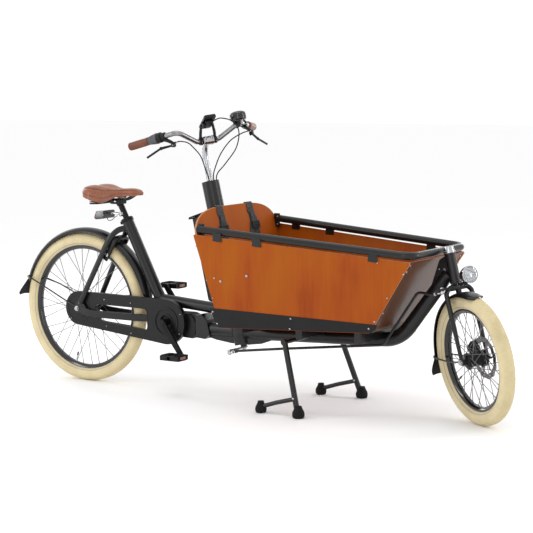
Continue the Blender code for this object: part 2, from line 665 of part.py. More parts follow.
def build_saddle(parent, finishes):
    low, top, along = seat_axis()
    seat = empty("seat_slide", top, parent)
    head = top + along * 0.084
    post = tube([top - along * 0.20, head], POST_RADIUS, 14)
    piece("seat_post", moved(post, -top), finishes["black_paint"], seat)
    clamp = tube([head + along * GAP, head + along * 0.018], 0.0175, 12)
    rails = []
    for side in (-1, 1):
        rails.append(tube(smooth_path([(0.085, side * 0.045, 0.848), (0.130, side * 0.030, 0.836),
                                       (0.19, side * 0.019, 0.832), (0.245, side * 0.018, 0.840),
                                       (0.300, side * 0.010, 0.8645)], 2), 0.0036, 6))
    bridge = block((0.178, -0.023, 0.824), (0.222, 0.023, 0.840), 0.003)
    springs = [moved(cylinder(0.017, 0, 0.034, 10, "Z"), (0.078, side * 0.048, 0.8285)) for side in (-1, 1)]
    back_bar = block((0.062, -0.052, 0.8205), (0.094, 0.052, 0.8300), 0.003)
    shell = loft([[(x, w * a, z + 0.0042 * b) for a, b in ((-1, 0), (1, 0), (1, 1), (-1, 1))] for x, w, z in
                  ((0.045, 0.060, 0.8605), (0.075, 0.080, 0.8605), (0.12, 0.078, 0.8605),
                   (0.165, 0.055, 0.8615),
                   (0.21, 0.030, 0.8630), (0.27, 0.016, 0.8640), (0.305, 0.012, 0.8640))])
    piece("saddle_base", moved(fuse(shell, clamp, bridge, back_bar, *rails, *springs), -top),
          finishes["black_plastic"], seat)
    arch = ((-0.93, -0.02), (-1.0, 0.30), (-0.90, 0.72), (-0.50, 1.0), (0.0, 0.93), (0.50, 1.0),
            (0.90, 0.72),
            (1.0, 0.30), (0.93, -0.02))
    rings = []
    for x, half, skirt, under, crown in SADDLE_STATIONS:
        ring = [(x, half * a, skirt + (crown - skirt) * max(b, 0.0)) for a, b in arch]
        ring += [(x, half * 0.86, skirt + 0.001), (x, half * 0.82, under), (x, -half * 0.82, under),
                 (x, -half * 0.86, skirt + 0.001)]
        rings.append(ring)
    piece("saddle_cover", moved(loft(rings), -top), finishes["brown_leather"], seat)
    build_rear_light(seat, finishes)


# Steering

def along_bar(distance, side):
    """A point of the bar's straight part, this far inward from the grip's inner end."""
    inner = Vector(GRIP_INNER)
    point = inner + (inner - Vector(GRIP_OUTER)).normalized() * distance
    return Vector((point.x, side * point.y, point.z))


def half_bar(side):
    """The bar from the stem to one grip's end, with round bends."""
    low_bend = (CLAMP[0], side * 0.050, CLAMP[1])
    outer = (GRIP_OUTER[0], side * GRIP_OUTER[1], GRIP_OUTER[2])
    return rounded([(CLAMP[0], 0, CLAMP[1]), low_bend, along_bar(0.150, side), outer], 0.032, 3)


def build_steering(parent, finishes):
    axis = empty("column_axis", (COLUMN_FOOT[0], 0, COLUMN_FOOT[1]), parent, tilt=HEAD_TILT, turn=STEER_REST)
    top = COLUMN_TUBE_TOP
    bearing = (COLUMN_TUBE_RADIUS - COLUMN_TUBE_WALL) * math.cos(math.pi / 20) - GAP
    low_bearing = cylinder(bearing, COLUMN_TUBE_LOW + 0.002, COLUMN_TUBE_LOW + 0.016, 20, "Z")
    high_bearing = cylinder(bearing, top - 0.150, top - 0.136, 20, "Z")
    shaft = cylinder(COLUMN_RADIUS, COLUMN_TUBE_LOW - 0.012, 0.330 - GAP, 16, "Z")
    arm_z = COLUMN_TUBE_LOW - 0.012
    arm = slab(hull_of_circles([(0, 0, 0.018), (ARM[0], ARM[1], 0.009)], 16), arm_z - 0.006, arm_z + 0.002,
               "Z")
    pin = moved(cylinder(0.004, arm_z - 0.0235, arm_z, 10, "Z"), (ARM[0], ARM[1], 0))
    piece("steering_column", fuse(shaft, low_bearing, high_bearing, arm, pin), finishes["black_paint"], axis)
    stem = tube(smooth_path(STEM_PATH, 2), COLUMN_RADIUS, 14)
    clamp = moved(cylinder(0.020, -0.024, 0.024, 16), (CLAMP[0], 0, CLAMP[1]))
    bar_hole = moved(cylinder(BAR_RADIUS + GAP, -0.03, 0.03, 16), (CLAMP[0], 0, CLAMP[1]))
    piece("stem", cut(fuse(stem, clamp), bar_hole), finishes["bright_metal"], axis)
    bar_path = half_bar(-1)[:0:-1] + half_bar(1)[1:]
    bar = tube(bar_path, BAR_RADIUS, 12, Vector((0, 0, 1)))
    piece("handlebar", bar, finishes["bright_metal"], axis)
    build_bar_fittings(axis, finishes)
    return axis


def build_bar_fittings(axis, finishes):
    for side, name in ((-1, "grip_right"), (1, "grip_left")):
        inner = along_bar(-0.001, side)
        outer = Vector((GRIP_OUTER[0], side * GRIP_OUTER[1], GRIP_OUTER[2]))
        along = (outer - inner).normalized()
        end = outer + along * 0.004
        body = tube([inner, inner + along * 0.004, end - along * 0.004, end],
                    [GRIP_RADIUS - 0.001, GRIP_RADIUS, GRIP_RADIUS,
                     GRIP_RADIUS - 0.003], 16, Vector((0, 0, 1)))
        bore = tube([inner - along * 0.004, outer + along * GAP], BAR_RADIUS + 2 * GAP, 12,
                    Vector((0, 0, 1)))
        piece(name, cut(body, bore), finishes["brown_leather"], axis)
    start = along_bar(0.0005, -1)
    twist = empty("shifter_turn", start, axis)
    end = along_bar(0.046, -1)
    along = (end - start).normalized()
    body = tube([start, start + along * 0.012, start + along * 0.036, end],
                [0.0175, 0.0185, 0.0225, 0.0235], 16,
                Vector((0, 0, 1)))
    bore = tube([start - along * 0.005, end + along * 0.005], BAR_RADIUS + 2 * GAP, 12, Vector((0, 0, 1)))
    piece("twist_shifter", moved(cut(body, bore), -start), finishes["grey_rubber"], twist)
    for side, name, blade_name in ((-1, "lever_body_right", "lever_blade_right"),
                                   (1, "lever_body_left", "lever_blade_left")):
        build_lever(axis, side, name, blade_name, finishes)
    build_bell(axis, finishes)
    build_display(axis, finishes)
    build_cables(axis, finishes)


def lever_axis(side):
    """The blade's hinge axis: it lies flat across the blade, so that a pull brings the tip up."""
    points = LEVERS[side]
    blade = Vector(points["tip"]) - Vector(points["pivot"])
    return blade.cross(Vector((0, 0, 1))).normalized()


def build_lever(axis, side, name, blade_name, finishes):
    pivot = Vector(LEVERS[side]["pivot"])
    turn = lever_axis(side)
    start = along_bar(0.066, side)
    end = along_bar(0.086, side)
    ring = tube([start, end], BAR_RADIUS + 0.006, 12, Vector((0, 0, 1)))
    middle = (start + end) / 2
    neck = tube([middle + Vector((0, 0, -0.010)), pivot + Vector((0, 0, 0.010))], 0.0085, 8,
                Vector((1, 0, 0)))
    ears = [tube([pivot + turn * 0.0048, pivot + turn * 0.0083], 0.009, 10, Vector((0, 0, 1))),
            tube([pivot - turn * 0.0048, pivot - turn * 0.0083], 0.009, 10, Vector((0, 0, 1)))]
    above = pivot + Vector((0, 0, 0.0085))
    yoke = tube([above + turn * 0.0072, above - turn * 0.0072], 0.006, 8, Vector((0, 0, 1)))
    pin = tube([pivot - turn * 0.0075, pivot + turn * 0.0075], PIVOT_RADIUS - GAP, 10, Vector((0, 0, 1)))
    body = fuse(ring, neck, yoke, cable_boss(side), *ears)
    if side < 0:
        housing = tube([along_bar(0.0475, side), along_bar(0.0690, side)], 0.0225, 14, Vector((0, 0, 1)))
        body = fuse(body, housing)
    room = tube([pivot - turn * 0.0048, pivot + turn * 0.0048], 0.0115, 14, Vector((0, 0, 1)))
    body = fuse(cut(body, bar_bend_cutter(side), room), pin)
    piece(name, body, finishes["black_plastic"], axis)
    hinge = empty(blade_name + "_hinge", pivot, axis)
    path = rounded([LEVERS[side]["pivot"], LEVERS[side]["bend"], LEVERS[side]["tip"]], 0.03, 3)
    blade = tube(path, [0.0042] * (len(path) - 1) + [0.0050], 10, turn)
    eye = tube([pivot - turn * 0.0042, pivot + turn * 0.0042], 0.0080, 14, Vector((0, 0, 1)))
    hole = tube([pivot - turn * 0.006, pivot + turn * 0.006], PIVOT_RADIUS, 12, Vector((0, 0, 1)))
    piece(blade_name, moved(cut(fuse(eye, blade), hole), -pivot), finishes["dark_alloy"], hinge)


def cable_start(side, distance):
    """A point this far along the cable's way out of the lever body."""
    inward = along_bar(1.0, side) - along_bar(0.0, side)
    return Vector(LEVERS[side]["pivot"]) + Vector((0, 0, 0.0085)) + inward * distance


def brake_cable(side, points):
    """A brake cable's path: straight out of its boss, then through the points."""
    return [cable_start(side, distance) for distance in (0.0184, 0.022, 0.034)] + points


def cable_boss(side):
    return tube([cable_start(side, 0.0), cable_start(side, 0.018)], 0.0046, 8, Vector((0, 0, 1)))


def bar_bend_cutter(side):
    """The bar's own bent shape, a little fatter, to seat fittings on."""
    return tube(half_bar(side)[1:], BAR_RADIUS + 2 * GAP, 12, Vector((0, 0, 1)))


def build_bell(axis, finishes):
    x, y, z = BELL_PLACE
    profile = [(0, 0.004), (BELL_RADIUS * 0.80, 0.004), (BELL_RADIUS, 0.014), (BELL_RADIUS, 0.022),
               (BELL_RADIUS * 0.97, 0.024), (BELL_RADIUS, 0.026), (BELL_RADIUS, 0.034),
               (BELL_RADIUS * 0.80, BELL_HEIGHT), (0, BELL_HEIGHT + 0.002)]
    dome = moved(lathe(profile, 16, "Z"), BELL_PLACE)
    foot = moved(cylinder(0.011, -0.012, 0.006, 12, "Z"), (x - 0.008, y, z))
    pivot = Vector((x - 0.044, y - 0.004, z + 0.0075))
    lug = moved(slab(hull_of_circles([(0, 0, 0.005), (0.020, 0.002, 0.006)], 10), -0.0034, -GAP, "Z"), pivot)
    pin = moved(cylinder(0.0020, -0.002, 0.0050, 10, "Z"), pivot)
    piece("bell", cut(fuse(dome, foot, lug, pin), bar_bend_cutter(1)), finishes["black_paint"], axis)
    lever_turn = empty("bell_lever_turn", pivot, axis)
    arm = slab(hull_of_circles([(0, 0, 0.007), (-0.022, 0.008, 0.005)], 12), 0.0, 0.0035, "Z")
    hole = cylinder(0.0020 + GAP, -0.01, 0.01, 12, "Z")
    piece("bell_lever", cut(arm, hole), finishes["black_plastic"], lever_turn)


def build_display(axis, finishes):
    """The display's slanted case on two posts that clamp the bar each side of the stem."""
    case = moved(block((-0.040, -0.034, -0.006), (0.040, 0.034, 0.006), 0.003), DISPLAY_PLACE,
                 Matrix.Rotation(DISPLAY_TILT, 4, "Y"))
    parts = []
    for side in (-1, 1):
        y = side * 0.0325
        parts.append(tube([(0.090, y * 0.8, 0.604), (0.078, y, 0.565), (0.0656, y, 0.541)], 0.0065, 8))
        parts.append(moved(cylinder(BAR_RADIUS + 0.005, -0.007, 0.007, 12), (CLAMP[0], y, CLAMP[1])))
    bore = moved(cylinder(BAR_RADIUS + 2 * GAP, -0.045, 0.045, 12), (CLAMP[0], 0, CLAMP[1]),
                 Matrix.Rotation(math.pi / 12, 4, "Y"))
    body = cut(fuse(case, *parts), bore, bar_bend_cutter(1), bar_bend_cutter(-1),
               moved(cylinder(0.0203, -0.0243, 0.0243, 16), (CLAMP[0], 0, CLAMP[1])))
    piece("display", body, finishes["black_plastic"], axis)


def build_cables(axis, finishes):
    paths = {"cable_right": brake_cable(-1, RIGHT_CABLE), "cable_left": brake_cable(1, LEFT_CABLE),
             "cable_display": DISPLAY_CABLE}
    for name, points in paths.items():
        piece(name, tube(smooth_path(points, 2), CABLE_RADIUS, CABLE_SIDES,
                         Vector((0.3, 1, 0.2)).normalized()),
              finishes["black_rubber"], axis)


def build_tie_rod(column_axis, parent, finishes):
    """The rod runs below the frame on the right and bends up to the fork's arm."""
    turn = Matrix.Rotation(-HEAD_TILT, 4, "Y") @ Matrix.Rotation(STEER_REST, 4, "Z")
    arm_z = COLUMN_TUBE_LOW - 0.012
    rear = turn @ Vector((ARM[0], ARM[1], arm_z)) + Vector((COLUMN_FOOT[0], 0, COLUMN_FOOT[1]))
    front = turn @ Vector((ARM[0], ARM[1], FORK_ARM_Z)) + Vector((FORK_AXIS_X, 0, fork_hub_height()))
    eye_drop = (turn @ Vector((0, 0, 1))) * 0.0132
    rear_eye = rear - eye_drop
    front_eye = front - eye_drop
    y = rear.y
    path = rounded([rear_eye, (rear.x + 0.06, y, rear_eye.z + 0.013), (1.12, y, 0.2455), (1.609, y, 0.301),
                    (1.768, y, 0.527), (front_eye.x - 0.050, y, front_eye.z - 0.011), front_eye], 0.030, 3)
    rod = tube(path, 0.0056, 7)
    eyes = []
    holes = []
    for point in (rear_eye, front_eye):
        along = (turn @ Vector((0, 0, 1)))
        eyes.append(tube([point - along * 0.0065, point + along * 0.0065], 0.0098, 12))
        holes.append(tube([point - along * 0.02, point + along * 0.02], 0.004 + GAP, 12))
    body = cut(fuse(rod, *eyes), *holes)
    pivot = empty("tie_rod_pivot", rear, parent)
    piece("tie_rod", moved(body, -rear), finishes["black_paint"], pivot)


def fork_blades(extra=0.0):
    """Both blades and the crown as one bent tube; extra makes it fatter, for cutting seats."""
    half = [(0.004, 0.018, CROWN_Z), (0.0075, 0.040, 0.2935), (0.0105, 0.0545, 0.280),
            (0.012, 0.0585, 0.258),
            (0.020, 0.0590, 0.14), (FORK_RAKE, FORK_END_Y, 0.012)]
    radii = [0.0125, 0.0112, 0.0108, 0.0108, 0.0112, 0.0065]
    path = [(x, -y, z) for x, y, z in reversed(half)] + half
    return tube(path, [r + extra for r in radii[::-1] + radii], 10, Vector((1, 0, 0)))


def fork_end(side, extra=0.0):
    """The plate that holds the axle; extra makes it fatter, for cutting seats."""
    y = side * FORK_END_Y
    half = FORK_END_WALL / 2 + extra
    return slab(hull_of_circles([(FORK_RAKE, 0, 0.013 + extra), (FORK_RAKE, 0.016, 0.010 + extra)], 10),
                y - half,
                y + half)


def build_fork(parent, finishes):
    turn = empty("fork_axis", (FORK_AXIS_X, 0, fork_hub_height()), parent, tilt=HEAD_TILT, turn=STEER_REST)
    steerer = cylinder(STEERER_RADIUS, 0.290, HEAD_TUBE_TOP + 0.010, 16, "Z")
    race = cylinder(0.019, 0.300, HEAD_TUBE_LOW - GAP, 14, "Z")
    parts = [steerer, race, fork_blades()]
    parts += [fork_end(-1), fork_end(1)]
    arm = slab(hull_of_circles([(0, 0, 0.0165), (ARM[0], ARM[1], 0.009)], 16), FORK_ARM_Z - 0.006,
               FORK_ARM_Z + 0.002, "Z")
    pin = moved(cylinder(0.0040, FORK_ARM_Z - 0.0235, FORK_ARM_Z, 10, "Z"), (ARM[0], ARM[1], 0))
    body = fuse(*parts, arm, pin)
    axle_hole = moved(cylinder(AXLE_RADIUS + GAP, -0.1, 0.1, 20), (FORK_RAKE, 0, 0))
    piece("fork", cut(body, axle_hole), finishes["black_paint"], turn)
    build_head_cap(parent, finishes)
    build_front_fender(turn, finishes)
    build_headlight(turn, finishes)
    build_caliper(turn, finishes)
    return turn


def build_head_cap(parent, finishes):
    """The bright cap on the head tube; the steerer ends in its bore."""
    low = HEAD_TUBE_TOP + GAP
    cap = lathe([(STEERER_RADIUS + GAP, low), (HEAD_TUBE_RADIUS + 0.0015, low),
                 (HEAD_TUBE_RADIUS + 0.0015, low + 0.008),
                 (HEAD_TUBE_RADIUS - 0.001, low + 0.024), (0.010, low + 0.027), (0.006, low + 0.027),
                 (0.006, low + 0.014), (STEERER_RADIUS + GAP, low + 0.014)], 16, "Z")
    matrix = Matrix.Translation((FORK_AXIS_X, 0, fork_hub_height())) @ axis_turn()
    cap.transform(matrix)
    piece("head_cap", cap, finishes["bright_metal"], parent)


def fender_band(radius, width, drop, start, end, steps, wall=0.0018):
    """A curved guard in the XZ plane: its section is a shallow arch with turned-down sides."""
    half = width / 2
    outer = [(0.0, -half), (0.60, -half * 0.88), (0.97, -half * 0.35), (0.97, half * 0.35),
             (0.60, half * 0.88),
             (0.0, half)]
    rings = []
    for i in range(steps + 1):
        a = math.radians(start + (end - start) * i / steps)
        ring = []
        for share, y in outer:
            r = radius - drop + drop * share
            ring.append((r * math.cos(a), y, r * math.sin(a)))
        for share, y in reversed(outer):
            r = radius - drop + (drop - wall) * share
            inner_y = y - math.copysign(wall, y) if y else 0.0
            ring.append((r * math.cos(a), inner_y, r * math.sin(a)))
        rings.append(ring)
    return loft(rings)


def flap(points, low_width, top_width, wall=0.003):
    """A rubber flap: a strip through (X, Z) points that widens downwards."""
    rings = []
    last = len(points) - 1
    for i, (x, z) in enumerate(points):
        half = (top_width + (low_width - top_width) * i / last) / 2
        rings.append([(x - wall, -half, z), (x, -half, z), (x, half, z), (x - wall, half, z)])
    return loft(rings)


def build_rear_fender(parent, finishes):
    x, z = REAR_FENDER["centre"]
    centre = Vector((x, 0, z))
    band = moved(fender_band(REAR_FENDER["radius"], REAR_FENDER["width"], REAR_FENDER["drop"], 9,
                             REAR_FENDER["end"], 16), centre)
    end = math.radians(REAR_FENDER["end"])
    end_x = x + REAR_FENDER["radius"] * math.cos(end)
    end_z = z + REAR_FENDER["radius"] * math.sin(end)
    skirt = flap([(end_x + 0.0028, end_z + 0.0047), (end_x - 0.0094, end_z - 0.0223),
                  (end_x - 0.0254, end_z - 0.0493), (end_x - 0.0414, end_z - 0.0693)], 0.088, 0.058, 0.0035)
    a = end - math.radians(5)
    wire_foot = centre + Vector((math.cos(a), 0, math.sin(a))) * (REAR_FENDER["radius"] - 0.0055)
    parts = [moved(cylinder(0.0028, -0.0395, 0.0395, 8), wire_foot)]
    for side in (-1, 1):
        parts.append(tube([wire_foot + Vector((0, side * 0.0370, 0)),
                           (-0.20, side * 0.0560, REAR_RADIUS + 0.0845),
                           (-0.078, side * WIRE_Y, REAR_RADIUS + 0.0325),
                           (-0.012, side * WIRE_Y, REAR_RADIUS + 0.006)], 0.0026, 6))
    low, top, along = seat_axis()
    forward = Vector((along.z, 0, -along.x))
    tube_reach = (low - centre).dot(forward)
    parts.append(tube([centre + forward * (REAR_FENDER["radius"] - 0.0015),
                       centre + forward * (tube_reach - 0.012)],
                      0.008, 10))
    body = cut(fuse(band, skirt, *parts), seat_tube_cutter(GAP))
    piece("rear_fender", body, finishes["black_plastic"], parent)


def build_front_fender(turn, finishes):
    band = moved(fender_band(FRONT_FENDER["radius"], FRONT_FENDER["width"], FRONT_FENDER["drop"], 60, 178,
                             12),
                 (FORK_RAKE, 0, 0))
    rear = FORK_RAKE - FRONT_FENDER["radius"]
    skirt = flap([(rear + 0.0062, 0.052), (rear + 0.0015, 0.020), (rear - 0.013, -0.012),
                  (rear - 0.035, -0.042)],
                 0.082, 0.058, 0.003)
    wires = []
    for side in (-1, 1):
        wires.append(tube([(rear + 0.005, side * 0.030, 0.030), (rear + 0.017, side * 0.0395, 0.028),
                           (-0.10, side * 0.052, 0.008), (-0.02, side * 0.0575, 0.004),
                           (FORK_RAKE - 0.008, side * FORK_END_Y, 0.003)], 0.0024, 6))
    tab = block((0.0, -0.008, FRONT_FENDER["radius"] - 0.004), (0.020, 0.008, CROWN_Z - 0.008))
    body = cut(fuse(band, skirt, tab, *wires), fork_blades(GAP), fork_end(-1, GAP), fork_end(1, GAP))
    piece("front_fender", body, finishes["black_plastic"], turn)


def build_headlight(turn, finishes):
    x, y, z = LAMP
    body = moved(lathe([(0, -0.062), (0.016, -0.060), (0.026, -0.042), (LAMP_RADIUS, -0.012),
                        (LAMP_RADIUS, 0.0),
                        (LAMP_RADIUS - 0.003, 0.0), (LAMP_RADIUS - 0.003, -0.006), (0.020, -0.030),
                        (0, -0.036)], 16, "X"), LAMP)
    bracket = tube(smooth_path([(0.0195 + GAP, 0, 0.3065), (0.034, 0, 0.306), (0.060, 0, 0.302),
                                (0.088, 0, 0.312)], 3),
                   0.0045, 8)
    piece("headlight", fuse(body, bracket), finishes["bright_metal"], turn)
    lens = moved(lathe([(0, -0.0050), (LAMP_RADIUS - 0.003 - GAP, -0.0050), (LAMP_RADIUS - 0.003 - GAP, 0.0),
                        (0.018, 0.004), (0, 0.005)], 16, "X"), LAMP)
    piece("headlight_lens", lens, finishes["clear_lens"], turn)


def build_caliper(turn, finishes):
    """The disc caliper on the left blade, with a slot that the disc turns in."""
    a = math.radians(148)
    r = BRAKE_DISC_RADIUS - 0.006
    centre = Vector((FORK_RAKE + r * math.cos(a), 0, r * math.sin(a)))
    body = moved(block((-0.020, BRAKE_DISC_Y - 0.016, -0.026), (0.020, BRAKE_DISC_Y + 0.012, 0.026),
                       0.004), centre,
                 Matrix.Rotation(-math.radians(-58), 4, "Y"))
    slot = moved(lathe([(0.050, BRAKE_DISC_Y - 0.0022), (BRAKE_DISC_RADIUS + 0.002, BRAKE_DISC_Y - 0.0022),
                        (BRAKE_DISC_RADIUS + 0.002, BRAKE_DISC_Y + 0.0022), (0.050,
                                                                             BRAKE_DISC_Y + 0.0022)], 32),
                 (FORK_RAKE, 0, 0))
    lug = tube([(-0.030, 0.052, 0.060), (0.022, 0.0585, 0.070)], 0.006, 8)
    piece("brake_caliper", cut(fuse(body, lug), slot, fork_blades(GAP)), finishes["dark_alloy"], turn)


# Drive

def build_drive(parent, finishes):
    motor = slab(hull_of_circles([(CRANK_X, CRANK_Z, 0.034), (0.512, 0.300, 0.052), (0.590, 0.302, 0.050),
                                  (0.612, 0.270, 0.026)], 20), -0.034, 0.040)
    shield = moved(cylinder(0.046, -0.0395, 0.046, 20), (0.535, 0, 0.304))
    spindle_hole = moved(cylinder(0.009 + GAP, -0.06, 0.06, 18), (CRANK_X, 0, CRANK_Z))
    foot = block((0.600, -0.028, 0.300), (0.646 - GAP, 0.028, 0.345), 0.002)
    piece("motor", cut(fuse(motor, shield, foot), spindle_hole), finishes["black_plastic"], parent)
    build_chaincase(parent, finishes)
    build_chain(parent, finishes)
    build_cranks(parent, finishes)


def build_chaincase(parent, finishes):
    rear = (0.0, REAR_RADIUS, CASE_REAR_RADIUS)
    front = (CRANK_X, CRANK_Z, CASE_FRONT_RADIUS)
    outer = slab(hull_of_circles([rear, front], 24), CASE_LOW, CASE_HIGH)
    inner = slab(hull_of_circles([(a, b, r - CASE_WALL) for a, b, r in (rear, front)], 24),
                 CASE_LOW + CASE_WALL,
                 CASE_HIGH + 0.01)
    slot_wall = slab(hull_of_circles([(a, b, r + CASE_WALL) for a, b, r in CASE_SLOT], 12),
                     CASE_LOW + 0.001, CASE_HIGH)
    slot = slab(hull_of_circles(CASE_SLOT, 12), CASE_LOW - 0.01, CASE_HIGH + 0.02)
    axle = moved(cylinder(0.022, -0.1, -0.04, 20), (0, 0, REAR_RADIUS))
    spindle = moved(cylinder(0.030, -0.1, -0.04, 24), (CRANK_X, 0, CRANK_Z))
    shell = cut(outer, inner)
    boss = moved(cylinder(0.0075, -0.066, CASE_LOW + 0.001, 12), (0.060, 0, REAR_RADIUS - 0.003))
    body = cut(fuse(shell, slot_wall, boss), slot, axle, spindle, chain_stay(-1, GAP))
    piece("chaincase", body, finishes["black_plastic"], parent)


def chain_outline(extra):
    return hull_of_circles([(0.0, REAR_RADIUS, SPROCKET_RADIUS + extra),
                            (CRANK_X, CRANK_Z, CHAIN_WHEEL_RADIUS + extra)], 24)


def build_chain(parent, finishes):
    half = CHAIN_HEIGHT / 2
    outer = slab(chain_outline(half), CHAIN_Y - 0.004, CHAIN_Y + 0.004)
    inner = slab(chain_outline(-half), CHAIN_Y - 0.01, CHAIN_Y + 0.01)
    piece("chain", cut(outer, inner), finishes["bright_metal"], parent)


def build_cranks(parent, finishes):
    axle = empty("crank_axle", (CRANK_X, 0, CRANK_Z), parent)
    round_ring = math.cos(math.pi / 24)
    wheel = cylinder((CHAIN_WHEEL_RADIUS - CHAIN_HEIGHT / 2) * round_ring - GAP, CHAIN_Y - 0.0018,
                     CHAIN_Y + 0.0018, 28)
    bore = cylinder(0.009 + GAP, -0.1, 0.1, 18)
    windows = []
    for i in range(5):
        a = 2 * math.pi * (i + 0.5) / 5
        windows.append(moved(cylinder(0.013, -0.1, 0.1, 8), (0.044 * math.cos(a), 0, 0.044 * math.sin(a))))
    piece("chain_wheel", cut(wheel, bore, *windows), finishes["dark_alloy"], axle)
    for side, name, pedal_name in ((-1, "crank_right", "pedal_right"), (1, "crank_left", "pedal_left")):
        angle = CRANK_ANGLE if side < 0 else CRANK_ANGLE + math.pi
        tip = Vector((CRANK_LENGTH * math.cos(angle), 0, CRANK_LENGTH * math.sin(angle)))
        arm = slab(hull_of_circles([(0, 0, 0.0155), (tip.x, tip.z, 0.0115)], 18), side * CRANK_Y - 0.007,
                   side * CRANK_Y + 0.007)
        inner = CHAIN_Y - 0.0018 - GAP
        if side < 0:
            boss = cylinder(0.0150, -CRANK_Y - 0.002, inner, 18)
            spindle = cylinder(0.009, inner - 0.002, CRANK_Y - 0.007 - GAP, 18)
            body = fuse(arm, boss, spindle)
        else:
            body = fuse(arm, cylinder(0.0150, CRANK_Y - 0.006, CRANK_Y + 0.010, 18))
        near = side * (CRANK_Y + 0.006)
        far = side * (CRANK_Y + 0.009 + PEDAL_WIDTH - 0.004)
        pin = moved(cylinder(0.0045, min(near, far), max(near, far), 12), tip)
        piece(name, fuse(body, pin), finishes["dark_alloy"], axle)
        pivot = empty(pedal_name + "_pivot", (tip.x, side * (CRANK_Y + 0.009), tip.z), axle)
        piece(pedal_name, pedal_mesh(side), finishes["black_plastic"], pivot)


def pedal_mesh(side):
    """A block pedal: two tread bars, end plates and a hub round the axle."""
    end = PEDAL_WIDTH
    half = PEDAL_LENGTH / 2
    plates = [block((-half, y, -0.011), (half, y + 0.009, 0.011)) for y in (0.004, end - 0.009)]
    bars = [block((x - 0.015, 0.006, -0.0125), (x + 0.0155, end - 0.003, 0.0125)) for x in (-0.033, 0.033)]
    hub = cylinder(0.0095, 0.001, end, 12)
    hole = cylinder(0.0045 + GAP, -0.01, end - 0.003, 12)
    body = cut(fuse(hub, *plates, *bars), hole)
    return mirror_y(body) if side < 0 else body


# Box

def floor_low(x):
    """Height of the floor board's underside."""
    share = (x - LOW_REAR[0]) / (LOW_FRONT_X - LOW_REAR[0])
    return LOW_REAR[2] + (LOW_FRONT_Z - LOW_REAR[2]) * share


def side_inner(x, z, extra=GAP):
    """Half width inside the side panels at a place, less a clearance."""
    a, _, _, _, normal = side_plane()
    y = a.y - (normal.x * (x - a.x) + normal.z * (z - a.z)) / normal.y
    return -y - BOARD / abs(normal.y) - extra


def back_x(z):
    """The back panel's outer face."""
    share = (z - LOW_REAR[2]) / (TOP_REAR[2] - LOW_REAR[2])
    return LOW_REAR[0] + (TOP_REAR[0] - LOW_REAR[0]) * share


def front_x(z):
    """The front panel's outer face."""
    share = (z - LOW_FRONT_Z) / (TOP_FRONT[2] - LOW_FRONT_Z)
    return LOW_FRONT_X + (TOP_FRONT[0] - LOW_FRONT_X) * share


def board_between(corners, face_x, low_offset, high_offset):
    """A board across the bike: (Z, half width) corners, between two offsets from a slanted face."""
    rings = []
    for offset in (low_offset, high_offset):
        right = [(face_x(z) + offset, -w, z) for z, w in corners]
        left = [(face_x(z) + offset, w, z) for z, w in reversed(corners)]
        rings.append(right + left)
    return loft(rings)


def build_box(parent, finishes):
    a, b, c, d, normal = side_plane()
    inward = Vector((0, BOARD / abs(normal.y), 0))
    for side, name in ((-1, "box_side_right"), (1, "box_side_left")):
        outline = [a, b, d, c]
        board = loft([outline, [p + inward for p in outline]])
        piece(name, board if side < 0 else mirror_y(board), finishes["wood"], parent)
    build_cross_boards(parent, finishes)
    build_rail(parent, finishes)
    build_belts(parent, finishes)


def build_cross_boards(parent, finishes):
    floor_top = LOW_REAR[2] + FLOOR_BOARD
    low_z = floor_top + 0.0022 + GAP
    inset = BOARD + 0.003
    back = []
    for z in (low_z, TOP_REAR[2]):
        back.append((z, side_inner(back_x(z) + inset, z)))
    wide = side_inner(back_x(TOP_REAR[2]), TOP_REAR[2])
    back += [(TOP_REAR[2] + 0.030, wide), (TOP_REAR[2] + 0.052, wide - 0.012),
             (TOP_REAR[2] + 0.066, wide - 0.040)]
    back += [(BACK_PEAK_Z - 0.012, wide - 0.12), (BACK_PEAK_Z, 0.05)]
    piece("box_back", board_between(back, back_x, 0.003, 0.003 + BOARD), finishes["wood"], parent)
    front_low = LOW_FRONT_Z + FLOOR_BOARD + 0.0014 + GAP
    front = [(z, side_inner(front_x(z) - 0.004, z)) for z in (front_low, TOP_FRONT[2])]
    piece("box_front", board_between(front, front_x, -0.004 - BOARD, -0.004), finishes["wood"], parent)
    corners = []
    for x in (LOW_REAR[0] + 0.004, LOW_FRONT_X - 0.004):
        z = floor_low(x)
        corners.append((x, z, side_inner(x, z)))
    (x0, z0, w0), (x1, z1, w1) = corners
    ring_low = [(x0, -w0, z0), (x1, -w1, z1), (x1, w1, z1), (x0, w0, z0)]
    ring_high = [(x, y, z + FLOOR_BOARD) for x, y, z in ring_low]
    piece("box_floor", loft([ring_low, ring_high]), finishes["wood"], parent)
    bench_z = 0.520
    bench_rear = back_x(bench_z) + 0.003 + BOARD + 0.0020
    bench_front = bench_rear + 0.225
    half_rear = side_inner(bench_rear, bench_z) - 0.0005
    half_front = side_inner(bench_front, bench_z) - 0.0005
    outline = [(bench_rear, -half_rear), (bench_front, -half_front), (bench_front, half_front),
               (bench_rear, half_rear)]
    piece("bench_board", slab(outline, bench_z, bench_z + 0.012, "Z"), finishes["wood"], parent)


def rail_z(x):
    return panel_top(x) + RAIL_LIFT


def rail_y(x):
    share = (x - TOP_REAR[0]) / (TOP_FRONT[0] - TOP_REAR[0])
    return 0.299 + (0.222 - 0.299) * share


